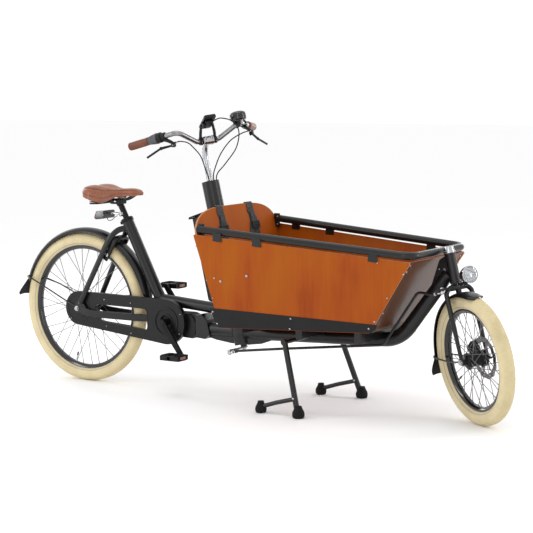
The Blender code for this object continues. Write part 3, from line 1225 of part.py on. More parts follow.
def build_rail(parent, finishes):
    """One tube round three sides above the box, on posts that stand on the side panels."""
    rear = back_x(rail_z(0.85) - RAIL_RADIUS) + 0.003 + BOARD + 0.003
    front = 1.8215
    right = [(rear, -rail_y(rear), rail_z(rear)), (front, -rail_y(front) - 0.002, rail_z(front)),
             (front, rail_y(front) + 0.002, rail_z(front)), (rear, rail_y(rear), rail_z(rear))]
    path = rounded(right, 0.055, 4)
    rail = tube(path, RAIL_RADIUS, 12, Vector((0, 0, 1)))
    posts = []
    for x in (0.884, 1.135, 1.660):
        outline = [(x - 0.016, panel_top(x - 0.016) + GAP), (x + 0.016, panel_top(x + 0.016) + GAP),
                   (x + 0.016, rail_z(x) - 0.004), (x - 0.016, rail_z(x) - 0.004)]
        for side in (-1, 1):
            y = side * (panel_half(x) - 0.0052)
            posts.append(slab(outline, y - 0.0035, y + 0.0035))
    piece("box_rail", fuse(rail, *posts), finishes["black_paint"], parent)


def panel_top(x):
    """Height of the side panels' top edge."""
    share = (x - TOP_REAR[0]) / (TOP_FRONT[0] - TOP_REAR[0])
    return TOP_REAR[2] + (TOP_FRONT[2] - TOP_REAR[2]) * share


def panel_half(x):
    """Half width of the box at its top edge, outside."""
    share = (x - TOP_REAR[0]) / (TOP_FRONT[0] - TOP_REAR[0])
    return TOP_REAR[1] + (TOP_FRONT[1] - TOP_REAR[1]) * share


def build_belts(parent, finishes):
    """Two webbing straps over the back panel's top, lying on its front face down to the bench."""
    face = 0.003 + BOARD + GAP
    for side, name in ((-1, "belt_right"), (1, "belt_left")):
        middle = side * 0.115
        points = [(0.536, middle * 1.15), (0.64, middle * 1.1), (0.745, middle), (0.800, middle * 0.97)]
        rings = []
        for z, y in points:
            x = back_x(z) + face
            rings.append([(x, y - 0.019, z), (x + BELT_WALL, y - 0.019, z), (x + BELT_WALL, y + 0.019, z),
                          (x, y + 0.019, z)])
        piece(name, loft(rings), finishes["webbing"], parent)


# Battery, stand, lights and lock

def panel_rear(z):
    """The back panel's rear face less a clearance."""
    return back_x(z) + 0.003 - GAP


def build_battery(parent, finishes):
    low, high = BATTERY_Z
    top_front = high + BATTERY_RISE
    slope = BATTERY_RISE / BATTERY_DEPTH
    outer = []
    inner = []
    for y in BATTERY_Y:
        outer.append([(panel_rear(low) - BATTERY_DEPTH, y, low), (panel_rear(low), y, low),
                      (panel_rear(top_front), y, top_front), (panel_rear(high) - BATTERY_DEPTH, y, high)])
    wall = BATTERY_WALL
    base = low + wall
    lift = 0.020
    for y in (BATTERY_Y[0] + wall, BATTERY_Y[1] - wall):
        inner.append([(panel_rear(base) - BATTERY_DEPTH + wall, y, base), (panel_rear(base) - wall, y, base),
                      (panel_rear(top_front + lift) - wall, y, top_front + lift),
                      (panel_rear(high + lift) - BATTERY_DEPTH + wall, y, high + lift)])
    piece("battery_case", cut(loft(outer), loft(inner)), finishes["black_plastic"], parent)
    rear = panel_rear(high) - BATTERY_DEPTH - 0.014
    front = panel_rear(top_front + 0.008) - 0.0065
    hinge_z = top_front - (panel_rear(top_front) - front) * slope + 2 * GAP
    hinge = empty("lid_hinge", (front, 0, hinge_z), parent)
    origin = hinge.location
    rings = []
    for y in (BATTERY_Y[0] - 0.006, BATTERY_Y[1] + 0.004):
        seat_rear = top_front - (panel_rear(top_front) - rear) * slope + 2 * GAP
        seat_front = top_front - (panel_rear(top_front) - front) * slope + 2 * GAP
        rings.append([(rear - origin.x, y, seat_rear - origin.z),
                      (front - origin.x, y, seat_front - origin.z),
                      (front - origin.x, y, seat_front + LID_WALL - origin.z),
                      (rear - origin.x, y, seat_rear + LID_WALL - origin.z)])
    piece("battery_lid", loft(rings), finishes["black_plastic"], hinge)


def build_stand(parent, finishes):
    """Two legs on one shaft through the frame; each carries a front foot and a strut with a rear foot."""
    pivot = empty("stand_pivot", (STAND_X, 0, STAND_Z), parent)
    half = 0.216
    parts = [moved(cylinder(STAND_SHAFT_RADIUS, -half, half, 16), (STAND_X, 0, STAND_Z))]
    for side in (-1, 1):
        hip = (STAND_X, side * 0.209, STAND_Z)
        knee = (FRONT_FOOT[0] - 0.004, side * (FRONT_FOOT[1] - 0.001), 0.018)
        parts.append(tube([hip, knee], LEG_RADIUS, 10))
        pin = (1.288, side * 0.2420, 0.078)
        toe = (REAR_FOOT[0] + 0.004, side * REAR_FOOT[1], 0.016)
        parts.append(tube([pin, (1.20, side * 0.2385, 0.052), toe], 0.0055, 8))
        for (x, y), size in ((FRONT_FOOT, 0.019), (REAR_FOOT, 0.017)):
            foot = moved(lathe([(0, 0), (size, 0), (size + 0.001, 0.004), (size * 0.75, 0.022),
                                (0, 0.026)], 10, "Z"),
                         (x, side * y, 0))
            parts.append(foot)
    body = moved(fuse(*parts), (-STAND_X, 0, -STAND_Z))
    piece("stand_frame", body, finishes["black_paint"], pivot)


def build_rear_light(seat, finishes):
    """The rear light's case on an arm from a bracket round the seat post."""
    case = slab(hull_of_circles([(0.106, 0.762, 0.010), (0.112, 0.780, 0.006), (0.160, 0.782, 0.006),
                                 (0.158, 0.766, 0.008)], 12), -0.040, 0.040)
    low, top, along = seat_axis()
    bracket_low = top + along * (COLLAR_HEIGHT + SEAT_DROP + 0.001)
    bracket_high = bracket_low + along * 0.011
    bracket = tube([bracket_low, bracket_high], POST_RADIUS + 0.004, 14)
    arm = tube([(0.150, 0, 0.772), (bracket_low + bracket_high) / 2], 0.005, 8)
    bore = tube([bracket_low - along * 0.01, bracket_high + along * 0.01], POST_RADIUS + GAP, 14)
    piece("rear_light", moved(cut(fuse(case, arm, bracket), bore), -top), finishes["red_lens"], seat)


def build_ring_lock(parent, finishes):
    """A horseshoe lock over the tyre and its fender, seated between the seat stays."""
    turn = Matrix.Rotation(-math.radians(57), 4, "Y")
    parts = []
    for side in (-1, 1):
        low_y, high_y = sorted((side * 0.0375, side * 0.0490))
        parts.append(moved(block((0.270, low_y, -0.013), (0.398, high_y, 0.013), 0.002),
                           (0, 0, REAR_RADIUS), turn))
        parts.append(moved(cylinder(0.006, *sorted((side * 0.0430, side * 0.0590)), 10),
                           (0.1515, 0, REAR_RADIUS + 0.257)))
    parts.append(moved(block((0.384, -0.0490, -0.013), (0.400, 0.0490, 0.013), 0.002), (0, 0, REAR_RADIUS),
                       turn))
    body = cut(fuse(*parts), seat_stay(-1, GAP), seat_stay(1, GAP))
    piece("ring_lock", body, finishes["black_plastic"], parent)


def main():
    clear_scene()
    finishes = make_finishes()
    bike = empty("bike_frame", (-MIDDLE_X, 0, 0))
    build_frame(bike, finishes)
    build_stays(bike, finishes)
    build_rear_wheel(bike, finishes)
    build_saddle(bike, finishes)
    column_axis = build_steering(bike, finishes)
    build_tie_rod(column_axis, bike, finishes)
    fork_turn = build_fork(bike, finishes)
    build_front_wheel(fork_turn, finishes)
    build_rear_fender(bike, finishes)
    build_drive(bike, finishes)
    build_box(bike, finishes)
    build_battery(bike, finishes)
    build_stand(bike, finishes)
    build_ring_lock(bike, finishes)


main()
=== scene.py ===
"""Looks of the long cargo bike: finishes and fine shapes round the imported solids.

Metres, +X forward, +Y the rider's left, +Z up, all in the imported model's frame.
"""
import logging
import math
from dataclasses import dataclass, field
from enum import Enum
from typing import Any, Callable, Iterable, Optional, Sequence

import bmesh
import bpy
from mathutils import Matrix, Vector


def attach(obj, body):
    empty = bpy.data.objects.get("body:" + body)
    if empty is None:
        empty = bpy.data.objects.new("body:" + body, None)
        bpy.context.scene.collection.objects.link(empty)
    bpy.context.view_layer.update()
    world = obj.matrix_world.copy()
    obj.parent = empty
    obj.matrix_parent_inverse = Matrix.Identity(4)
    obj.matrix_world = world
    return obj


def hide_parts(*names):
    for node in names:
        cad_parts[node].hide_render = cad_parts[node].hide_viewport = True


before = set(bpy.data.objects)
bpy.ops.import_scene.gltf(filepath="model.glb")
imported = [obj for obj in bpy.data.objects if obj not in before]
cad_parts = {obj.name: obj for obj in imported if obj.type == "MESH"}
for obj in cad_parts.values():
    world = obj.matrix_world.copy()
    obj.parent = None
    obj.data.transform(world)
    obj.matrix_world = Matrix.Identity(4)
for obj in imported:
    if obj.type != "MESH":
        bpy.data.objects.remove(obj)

log = logging.getLogger("cargo_bike")
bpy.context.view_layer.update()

Point = Sequence[float]
Outline = Sequence[tuple[float, float]]

# The bike's own frame has its origin on the ground under the rear axle
BIKE = Matrix.Translation((-0.9203, 0.0, 0.0))
HEAD_TILT = math.radians(13.2)
STEER_REST = math.radians(-32.4)
LEAN = Matrix.Rotation(-HEAD_TILT, 4, "Y")
TURNED = LEAN @ Matrix.Rotation(STEER_REST, 4, "Z")
COLUMN_FOOT = Vector((0.79, 0.0, 0.578))
FORK_FOOT = Vector((1.9693, 0.0, 0.25881))
COLUMN = BIKE @ Matrix.Translation(COLUMN_FOOT) @ TURNED
FORK = BIKE @ Matrix.Translation(FORK_FOOT) @ TURNED
UP = Vector((0.0, 0.0, 1.0))
SIDEWAYS = Vector((0.0, 1.0, 0.0))


class Space(Enum):
    """The coordinates that a pattern lies in."""

    OBJECT = "Object"
    FLOW = "UV"


class Axis(Enum):
    """The direction that a flat outline is made thick in, or that a profile turns about."""

    X = "X"
    Y = "Y"
    Z = "Z"

    def spot(self, a: float, b: float, h: float) -> Vector:
        """Puts outline numbers a, b and height h into space.

        Args:
            a: First number of the outline.
            b: Second number of the outline.
            h: Place along this axis.

        Returns:
            The point.
        """
        if self is Axis.X:
            return Vector((h, a, b))
        if self is Axis.Y:
            return Vector((a, h, b))
        return Vector((a, b, h))


class ShaderSheet:
    """One material's shader nodes."""

    def __init__(self, name: str) -> None:
        """Starts a material with a plain shader.

        Args:
            name: The material's name.
        """
        self.material = bpy.data.materials.new(name)
        self.material.use_nodes = True
        self.tree = self.material.node_tree
        self.shader = self.tree.nodes["Principled BSDF"]

    def feed(self, node: bpy.types.Node, values: dict[str, Any]) -> None:
        """Sets or links a node's inputs.

        Args:
            node: The node.
            values: Input name to a value or another node's output.
        """
        for name, value in values.items():
            if isinstance(value, bpy.types.NodeSocket):
                self.tree.links.new(value, node.inputs[name])
            else:
                node.inputs[name].default_value = value

    def add(self, kind: str, values: dict[str, Any], **settings: Any) -> bpy.types.Node:
        """Adds a node.

        Args:
            kind: The node's type name.
            values: Its inputs, by name or number.
            **settings: Its other settings.

        Returns:
            The node.
        """
        node = self.tree.nodes.new(kind)
        for name, value in settings.items():
            setattr(node, name, value)
        self.feed(node, values)
        return node

    def coords(self, space: Space, scale: Point = (1, 1, 1),
               turn: Point = (0, 0, 0)) -> bpy.types.NodeSocket:
        """Coordinates, stretched and turned.

        Args:
            space: Where the pattern lies.
            scale: Stretch along each axis.
            turn: Turn about each axis.

        Returns:
            The coordinates' output.
        """
        source = self.add("ShaderNodeTexCoord", {}).outputs[space.value]
        mapping = {"Vector": source, "Scale": scale, "Rotation": turn}
        return self.add("ShaderNodeMapping", mapping).outputs["Vector"]

    def noise(self, at: bpy.types.NodeSocket, scale: float, detail: float = 3.0) -> bpy.types.NodeSocket:
        """Soft noise of about one cycle per 1/scale metres."""
        values = {"Vector": at, "Scale": scale, "Detail": detail, "Roughness": 0.55}
        return self.add("ShaderNodeTexNoise", values).outputs["Fac"]

    def ramp(self, source: bpy.types.NodeSocket,
             stops: Sequence[tuple[float, Point]]) -> bpy.types.NodeSocket:
        """Colours along a value.

        Args:
            source: The value.
            stops: Places with their colours.

        Returns:
            The colour's output.
        """
        low, high = stops[0][0], stops[-1][0]
        share = self.add("ShaderNodeMapRange",
                         {"Value": source, "From Min": low, "From Max": high}).outputs["Result"]
        node = self.add("ShaderNodeValToRGB", {"Fac": share})
        while len(node.color_ramp.elements) < len(stops):
            node.color_ramp.elements.new(0.5)
        for i, (place, colour) in enumerate(stops):
            node.color_ramp.elements[i].position = (place - low) / (high - low)
            node.color_ramp.elements[i].color = (*colour, 1.0)
        return node.outputs["Color"]

    def spread(self, source: bpy.types.NodeSocket, low: float, high: float) -> bpy.types.NodeSocket:
        """A value from 0.3 to 0.7 spread between low and high."""
        values = {"Value": source, "From Min": 0.3, "From Max": 0.7, "To Min": low, "To Max": high}
        return self.add("ShaderNodeMapRange", values).outputs["Result"]

    def sum(self, first: bpy.types.NodeSocket, second: bpy.types.NodeSocket,
            share: float) -> bpy.types.NodeSocket:
        """first plus share times second."""
        values = {0: second, 1: share, 2: first}
        return self.add("ShaderNodeMath", values, operation="MULTIPLY_ADD").outputs[0]

    def bump(self, height: bpy.types.NodeSocket, depth: float, strength: float = 1.0) -> None:
        """Raises the surface by a pattern.

        Args:
            height: The pattern.
            depth: Height of the pattern in metres.
            strength: How strongly it shows.
        """
        values = {"Height": height, "Distance": depth, "Strength": strength}
        normal = self.add("ShaderNodeBump", values).outputs["Normal"]
        self.feed(self.shader, {"Normal": normal})


@dataclass(frozen=True)
class Coated:
    """Paint, moulded plastic, rubber or anodised metal: one colour with a fine grain."""

    name: str
    colour: Point
    second: Point
    rough: tuple[float, float]
    metallic: float = 0.0
    grain: float = 900.0
    depth: float = 0.00005
    coat: float = 0.0
    shine: float = 0.18
    patch: float = 9.0

    def build(self) -> bpy.types.Material:
        """Makes the material.

        Returns:
            The material.
        """
        sheet = ShaderSheet(self.name)
        at = sheet.coords(Space.OBJECT)
        patches = sheet.noise(at, self.patch)
        grain = sheet.noise(at, self.grain, 2.0)
        sheet.feed(sheet.shader, {
            "Base Color": sheet.ramp(patches, [(0.35, self.colour), (0.65, self.second)]),
            "Roughness": sheet.spread(sheet.sum(patches, grain, 0.15), *self.rough),
            "Metallic": self.metallic,
            "Specular IOR Level": self.shine,
            "Coat Weight": self.coat,
            "Coat Roughness": 0.12,
        })
        sheet.bump(grain, self.depth)
        return sheet.material


@dataclass(frozen=True)
class Metal:
    """Bare metal with fine marks along or across it."""

    name: str
    colour: Point
    rough: tuple[float, float]
    stretch: Point = (1.0, 1.0, 1.0)
    marks: float = 700.0
    depth: float = 0.00002

    def build(self) -> bpy.types.Material:
        """Makes the material.

        Returns:
            The material.
        """
        sheet = ShaderSheet(self.name)
        marks = sheet.noise(sheet.coords(Space.OBJECT, self.stretch), self.marks, 4.0)
        clouds = sheet.noise(sheet.coords(Space.OBJECT), 25.0)
        dark = tuple(c * 0.86 for c in self.colour)
        sheet.feed(sheet.shader, {
            "Base Color": sheet.ramp(clouds, [(0.3, dark), (0.6, self.colour)]),
            "Roughness": sheet.spread(marks, *self.rough),
            "Metallic": 1.0,
            "Anisotropic": 0.3,
        })
        sheet.bump(marks, self.depth)
        return sheet.material


@dataclass(frozen=True)
class TyreRubber:
    """Soft rubber with a light dusting."""

    name: str
    colour: Point
    dusty: Point

    def build(self) -> bpy.types.Material:
        """Makes the material.

        Returns:
            The material.
        """
        sheet = ShaderSheet(self.name)
        at = sheet.coords(Space.OBJECT)
        clouds = sheet.sum(sheet.noise(at, 14.0, 5.0), sheet.noise(at, 90.0), 0.3)
        grain = sheet.noise(at, 1500.0, 2.0)
        sheet.feed(sheet.shader, {
            "Base Color": sheet.ramp(clouds, [(0.45, self.dusty), (0.75, self.colour)]),
            "Roughness": sheet.spread(grain, 0.55, 0.72),
            "Sheen Weight": 0.15,
            "Sheen Roughness": 0.5,
        })
        sheet.bump(grain, 0.00006)
        return sheet.material


@dataclass(frozen=True)
class StainedWood:
    """Stained and varnished plywood; its grain runs along the flow map's second direction, and painted
    light makes it paler higher up.
    """

    name: str
    light: Point
    middle: Point
    dark: Point
    shine: float = 0.05

    def build(self) -> bpy.types.Material:
        """Makes the material.

        Returns:
            The material.
        """
        sheet = ShaderSheet(self.name)
        broad = sheet.noise(sheet.coords(Space.FLOW, (1.0, 0.16, 1.0)), 9.0, 3.0)
        streaks = sheet.noise(sheet.coords(Space.FLOW, (1.0, 0.045, 1.0)), 110.0, 5.0)
        pores = sheet.noise(sheet.coords(Space.FLOW, (1.0, 0.03, 1.0)), 900.0, 2.0)
        blotch = sheet.noise(sheet.coords(Space.FLOW), 3.2, 2.0)
        tone = sheet.sum(sheet.sum(broad, streaks, 0.42), blotch, 0.55)
        tone = sheet.sum(tone, pores, 0.10)
        # Painted light: the tone rises with height, so the boards are painted lighter towards the top,
        # where more light falls.
        height = sheet.add("ShaderNodeSeparateXYZ", {"Vector": sheet.coords(Space.OBJECT)}).outputs["Z"]
        tone = sheet.sum(tone, height, 0.55)
        sheet.feed(sheet.shader, {
            "Base Color": sheet.ramp(tone, [(0.98, self.dark), (1.28, self.middle), (1.58, self.light)]),
            "Roughness": sheet.spread(streaks, 0.36, 0.50),
            "Specular IOR Level": 0.10,
            "Coat Weight": self.shine,
            "Coat Roughness": 0.22,
        })
        sheet.bump(sheet.sum(pores, streaks, 0.6), 0.00007)
        return sheet.material


@dataclass(frozen=True)
class PlyEdge:
    """Sawn plywood edge: thin layers across the flow map's first direction."""

    name: str
    light: Point
    dark: Point
    layer: float = 0.0022

    def build(self) -> bpy.types.Material:
        """Makes the material.

        Returns:
            The material.
        """
        sheet = ShaderSheet(self.name)
        values = {"Vector": sheet.coords(Space.FLOW), "Scale": 0.31 / self.layer, "Distortion": 0.6}
        layers = sheet.add("ShaderNodeTexWave", values, bands_direction="X").outputs["Fac"]
        fibres = sheet.noise(sheet.coords(Space.FLOW, (1.0, 0.1, 1.0)), 900.0)
        tone = sheet.sum(layers, fibres, 0.5)
        sheet.feed(sheet.shader, {
            "Base Color": sheet.ramp(tone, [(0.3, self.dark), (0.9, self.light)]),
            "Roughness": 0.6,
        })
        sheet.bump(tone, 0.00008)
        return sheet.material


@dataclass(frozen=True)
class Leather:
    """Smooth leather with a pebbled grain and darker, worn patches."""

    name: str
    light: Point
    dark: Point
    pebble: float = 420.0
    rough: tuple[float, float] = (0.34, 0.52)

    def build(self) -> bpy.types.Material:
        """Makes the material.

        Returns:
            The material.
        """
        sheet = ShaderSheet(self.name)
        at = sheet.coords(Space.OBJECT)
        cells = sheet.add("ShaderNodeTexVoronoi", {"Vector": at, "Scale": self.pebble}).outputs["Distance"]
        clouds = sheet.sum(sheet.noise(at, 22.0, 4.0), sheet.noise(at, 160.0), 0.25)
        sheet.feed(sheet.shader, {
            "Base Color": sheet.ramp(clouds, [(0.45, self.dark), (0.78, self.light)]),
            "Roughness": sheet.spread(clouds, *self.rough),
            "Specular IOR Level": 0.35,
        })
        sheet.bump(cells, 0.00005, 0.4)
        return sheet.material


@dataclass(frozen=True)
class Webbing:
    """Woven strap: a herringbone of warp and weft on the flow map."""

    name: str
    colour: Point
    thread: float = 0.0011

    def build(self) -> bpy.types.Material:
        """Makes the material.

        Returns:
            The material.
        """
        sheet = ShaderSheet(self.name)
        scale = 0.31 / self.thread
        warp = {"Vector": sheet.coords(Space.FLOW), "Scale": scale}
        across = sheet.add("ShaderNodeTexWave", warp, bands_direction="X").outputs["Fac"]
        weft = {"Vector": sheet.coords(Space.FLOW, turn=(0, 0, 0.7)), "Scale": scale}
        along = sheet.add("ShaderNodeTexWave", weft, bands_direction="Y").outputs["Fac"]
        weave = sheet.sum(across, along, 0.8)
        fuzz = sheet.noise(sheet.coords(Space.OBJECT), 60.0)
        dark = tuple(c * 0.5 for c in self.colour)
        sheet.feed(sheet.shader, {
            "Base Color": sheet.ramp(sheet.sum(weave, fuzz, 0.5), [(0.5, dark), (1.6, self.colour)]),
            "Roughness": sheet.spread(fuzz, 0.6, 0.8),
            "Sheen Weight": 0.25,
            "Sheen Roughness": 0.4,
        })
        sheet.bump(weave, 0.00025)
        return sheet.material


@dataclass(frozen=True)
class Lens:
    """Clear or tinted plastic with moulded ribs that scatter light."""

    name: str
    colour: Point
    clear: float
    rough: float = 0.06
    prism: float = 260.0

    def build(self) -> bpy.types.Material:
        """Makes the material.

        Returns:
            The material.
        """
        sheet = ShaderSheet(self.name)
        at = sheet.coords(Space.OBJECT)
        prisms = sheet.add("ShaderNodeTexVoronoi", {"Vector": at, "Scale": self.prism}).outputs["Distance"]
        dark = tuple(c * 0.6 for c in self.colour)
        sheet.feed(sheet.shader, {
            "Base Color": sheet.ramp(prisms, [(0.1, dark), (0.6, self.colour)]),
            "Roughness": self.rough,
            "Transmission Weight": self.clear,
            "Coat Weight": 0.6,
            "Coat Roughness": 0.05,
            "IOR": 1.49,
        })
        sheet.bump(prisms, 0.0003, 0.4)
        return sheet.material


class Look(Enum):
    """Every finish on the bike and in the studio."""

    FRAME = Coated("frame_paint", (0.0050, 0.0052, 0.0056), (0.0068, 0.0070, 0.0074), (0.26, 0.33), 0.0,
                   1100, 0.00003, 0.0, 0.40)
    PLASTIC = Coated("moulded_plastic", (0.0046, 0.0047, 0.0050), (0.0064, 0.0065, 0.0068), (0.28, 0.38),
                     0.0, 1700, 0.00004, 0.0, 0.26)
    GLOSS = Coated("glossy_black", (0.0030, 0.0030, 0.0035), (0.0045, 0.0045, 0.005), (0.08, 0.14), 0.0,
                   400, 0.00001, 0.7, 0.3)
    ALLOY = Coated("black_alloy", (0.010, 0.010, 0.011), (0.018, 0.018, 0.020), (0.24, 0.34), 0.4, 1300,
                   0.00003)
    RUBBER = Coated("black_rubber", (0.0065, 0.0065, 0.0065), (0.0095, 0.0095, 0.0095), (0.62, 0.80), 0.0,
                    1500, 0.00008)
    CABLE = Coated("cable_jacket", (0.0045, 0.0045, 0.0045), (0.0065, 0.0065, 0.0065), (0.28, 0.40), 0.0,
                   1500, 0.00003)
    GREY = Coated("grey_rubber", (0.085, 0.088, 0.095), (0.115, 0.118, 0.125), (0.50, 0.62), 0.0, 1500,
                  0.00008)
    STEEL = Metal("bright_steel", (0.50, 0.50, 0.51), (0.16, 0.30), (1.0, 1.0, 8.0))
    POLISHED = Metal("polished_alloy", (0.50, 0.51, 0.53), (0.14, 0.24), (1.0, 1.0, 0.2), 500.0, 0.00001)
    BAR = Metal("handlebar_alloy", (0.30, 0.30, 0.315), (0.22, 0.32), (1.0, 1.0, 0.2), 600.0, 0.00001)
    MIRROR = Metal("lamp_chrome", (0.80, 0.81, 0.83), (0.03, 0.08), (1.0, 1.0, 1.0), 300.0, 0.000004)
    SPOKE = Metal("spoke_steel", (0.20, 0.20, 0.21), (0.25, 0.38))
    DISC = Metal("disc_steel", (0.24, 0.24, 0.25), (0.20, 0.36), (1.0, 1.0, 1.0), 1200.0)
    TYRE = TyreRubber("cream_tyre", (0.66, 0.56, 0.335), (0.57, 0.475, 0.275))
    TYRE_LINE = TyreRubber("reflective_line", (0.30, 0.31, 0.33), (0.24, 0.25, 0.27))
    WOOD = StainedWood("stained_wood", (0.355, 0.086, 0.0040), (0.325, 0.062, 0.0050),
                       (0.240, 0.036, 0.0040))
    PLY = PlyEdge("ply_edge", (0.52, 0.22, 0.10), (0.33, 0.115, 0.045))
    # Painted shade: the floor's bare ply edge is coloured darker than the other ply edges, for the shade
    # under the box.
    BARE_PLY = PlyEdge("floor_ply_edge", (0.16, 0.10, 0.055), (0.08, 0.05, 0.03))
    # Painted shade: a darker copy of the stained wood for the front panel, which stands in shade.
    SHADE_WOOD = StainedWood("front_wood", (0.105, 0.040, 0.016), (0.080, 0.026, 0.009),
                             (0.055, 0.016, 0.006), 0.40)
    LEATHER = Leather("brown_leather", (0.28, 0.102, 0.056), (0.215, 0.074, 0.040), 900.0, (0.20, 0.32))
    GRIP = Leather("grip_leather", (0.19, 0.060, 0.028), (0.125, 0.038, 0.019), 700.0, (0.28, 0.45))
    THREAD = Coated("stitch_thread", (0.20, 0.065, 0.033), (0.25, 0.09, 0.045), (0.55, 0.7), 0.0, 2500,
                    0.0001)
    STRAP = Webbing("black_webbing", (0.0065, 0.0065, 0.007))
    GLASS = Lens("lamp_lens", (0.93, 0.95, 0.96), 0.9)
    AMBER = Lens("amber_reflector", (0.24, 0.055, 0.012), 0.1, 0.3, 500.0)
    RED = Lens("red_reflector", (0.50, 0.035, 0.015), 0.2, 0.15, 500.0)
    SCREEN = Coated("display_glass", (0.012, 0.013, 0.015), (0.016, 0.017, 0.019), (0.06, 0.12), 0.0, 200,
                    0.000005, 0.8)
    STUDIO = Coated("studio_floor", (0.955, 0.955, 0.957), (0.96, 0.96, 0.962), (0.80, 0.90), 0.0, 60.0,
                    0.0)

    @property
    def material(self) -> bpy.types.Material:
        """The finish's material, made once."""
        if self not in MADE:
            MADE[self] = self.value.build()
        return MADE[self]


MADE: dict[Look, bpy.types.Material] = {}


def circle(radius: float, sides: int = 28, wide: float = 1.0,
           at: Point = (0.0, 0.0)) -> list[tuple[float, float]]:
    """A round or oval outline.

    Args:
        radius: Its radius.
        sides: How many points.
        wide: Stretch of its first direction.
        at: Its centre.

    Returns:
        The outline's points.
    """
    steps = [2 * math.pi * (i + 0.5) / sides for i in range(sides)]
    return [(at[0] + radius * wide * math.cos(a), at[1] + radius * math.sin(a)) for a in steps]


def box_outline(half_a: float, half_b: float, corner: float = 0.0,
                steps: int = 4) -> list[tuple[float, float]]:
    """A rectangle with rounded corners.

    Args:
        half_a: Half the width.
        half_b: Half the height.
        corner: Radius of the corners.
        steps: How many steps each arc has.

    Returns:
        The outline's points.
    """
    if corner <= 0:
        return [(-half_a, -half_b), (half_a, -half_b), (half_a, half_b), (-half_a, half_b)]
    out = []
    for quarter, (sa, sb) in enumerate(((1, 1), (-1, 1), (-1, -1), (1, -1))):
        for i in range(steps + 1):
            a = math.pi / 2 * (quarter + i / steps)
            out.append((sa * (half_a - corner) + corner * math.cos(a),
                        sb * (half_b - corner) + corner * math.sin(a)))
    return out


def band(circles: Iterable[tuple[float, float, float]], steps: int = 48) -> list[tuple[float, float]]:
    """The outline of a tight band round circles.

    Args:
        circles: Each as (a, b, radius).
        steps: Points on a full circle.

    Returns:
        The outline's points.
    """
    points = set()
    for a, b, r in circles:
        turns = [2 * math.pi * i / steps for i in range(steps)]
        points |= {(a + r * math.cos(t), b + r * math.sin(t)) for t in turns}
    ordered = sorted(points)
    halves = []
    for order in (ordered, ordered[::-1]):
        half: list[tuple[float, float]] = []
        for p in order:
            while len(half) > 1 and ((half[-1][0] - half[-2][0]) * (p[1] - half[-2][1])
                                     - (half[-1][1] - half[-2][1]) * (p[0] - half[-2][0])) <= 1e-12:
                half.pop()
            half.append(p)
        halves += half[:-1]
    return halves


def smooth_path(points: Sequence[Point], steps: int = 8) -> list[Vector]:
    """A smooth curve through its points.

    Args:
        points: The points to pass through.
        steps: Steps between two of them.

    Returns:
        The curve's points.
    """
    spots = [Vector(p) for p in points]
    ends = [spots[0] * 2 - spots[1]] + spots + [spots[-1] * 2 - spots[-2]]
    out = []
    for p0, p1, p2, p3 in zip(ends, ends[1:], ends[2:], ends[3:]):
        for i in range(steps):
            t = i / steps
            out.append(0.5 * (2 * p1 + (p2 - p0) * t + (2 * p0 - 5 * p1 + 4 * p2 - p3) * t * t
                              + (3 * p1 - p0 - 3 * p2 + p3) * t ** 3))
    return out + [spots[-1]]


def bent_path(points: Sequence[Point], radius: float, steps: int = 10) -> list[Vector]:
    """A polyline whose inner corners are turned into arcs of one radius.

    Args:
        points: The polyline's corners.
        radius: Radius of every bend.
        steps: How many steps each arc has.

    Returns:
        The path's points.
    """
    spots = [Vector(p) for p in points]
    out = [spots[0]]
    for before, corner, after in zip(spots, spots[1:], spots[2:]):
        a = (before - corner).normalized()
        b = (after - corner).normalized()
        half = a.angle(b) / 2
        reach = min(radius / math.tan(half), 0.45 * (before - corner).length,
                    0.45 * (after - corner).length)
        arc = reach * math.tan(half)
        centre = corner + (a + b).normalized() * math.hypot(arc, reach)
        start = corner + a * reach - centre
        end = corner + b * reach - centre
        angle = start.angle(end)
        for i in range(steps + 1):
            first = math.sin((1 - i / steps) * angle)
            second = math.sin(i / steps * angle)
            out.append(centre + (start * first + end * second) / math.sin(angle))
    return out + [spots[-1]]


def weld_path(root: Point, along: Point, radius: float, big_root: Point, big_along: Point,
              big_radius: float, steps: int = 48) -> list[Vector]:
    """The closed line where one round tube meets the outside of a bigger one.

    Args:
        root: A point on the small tube's axis, outside the big one.
        along: The small tube's direction, towards the big one.
        radius: The small tube's radius.
        big_root: A point on the big tube's axis.
        big_along: The big tube's direction.
        big_radius: The big tube's radius.
        steps: Points in the line.

    Returns:
        The line's points.
    """
    way = Vector(along).normalized()
    axis = Vector(big_along).normalized()
    side = way.orthogonal().normalized()
    up = way.cross(side)
    flat = way - axis * way.dot(axis)
    out = []
    for i in range(steps):
        a = 2 * math.pi * i / steps
        start = Vector(root) + (side * math.cos(a) + up * math.sin(a)) * radius
        offset = start - Vector(big_root)
        offset -= axis * offset.dot(axis)
        half = flat.dot(offset)
        rest = half * half - flat.dot(flat) * (offset.dot(offset) - big_radius * big_radius)
        out.append(start + way * ((-half - math.sqrt(max(rest, 0.0))) / flat.dot(flat)))
    return out


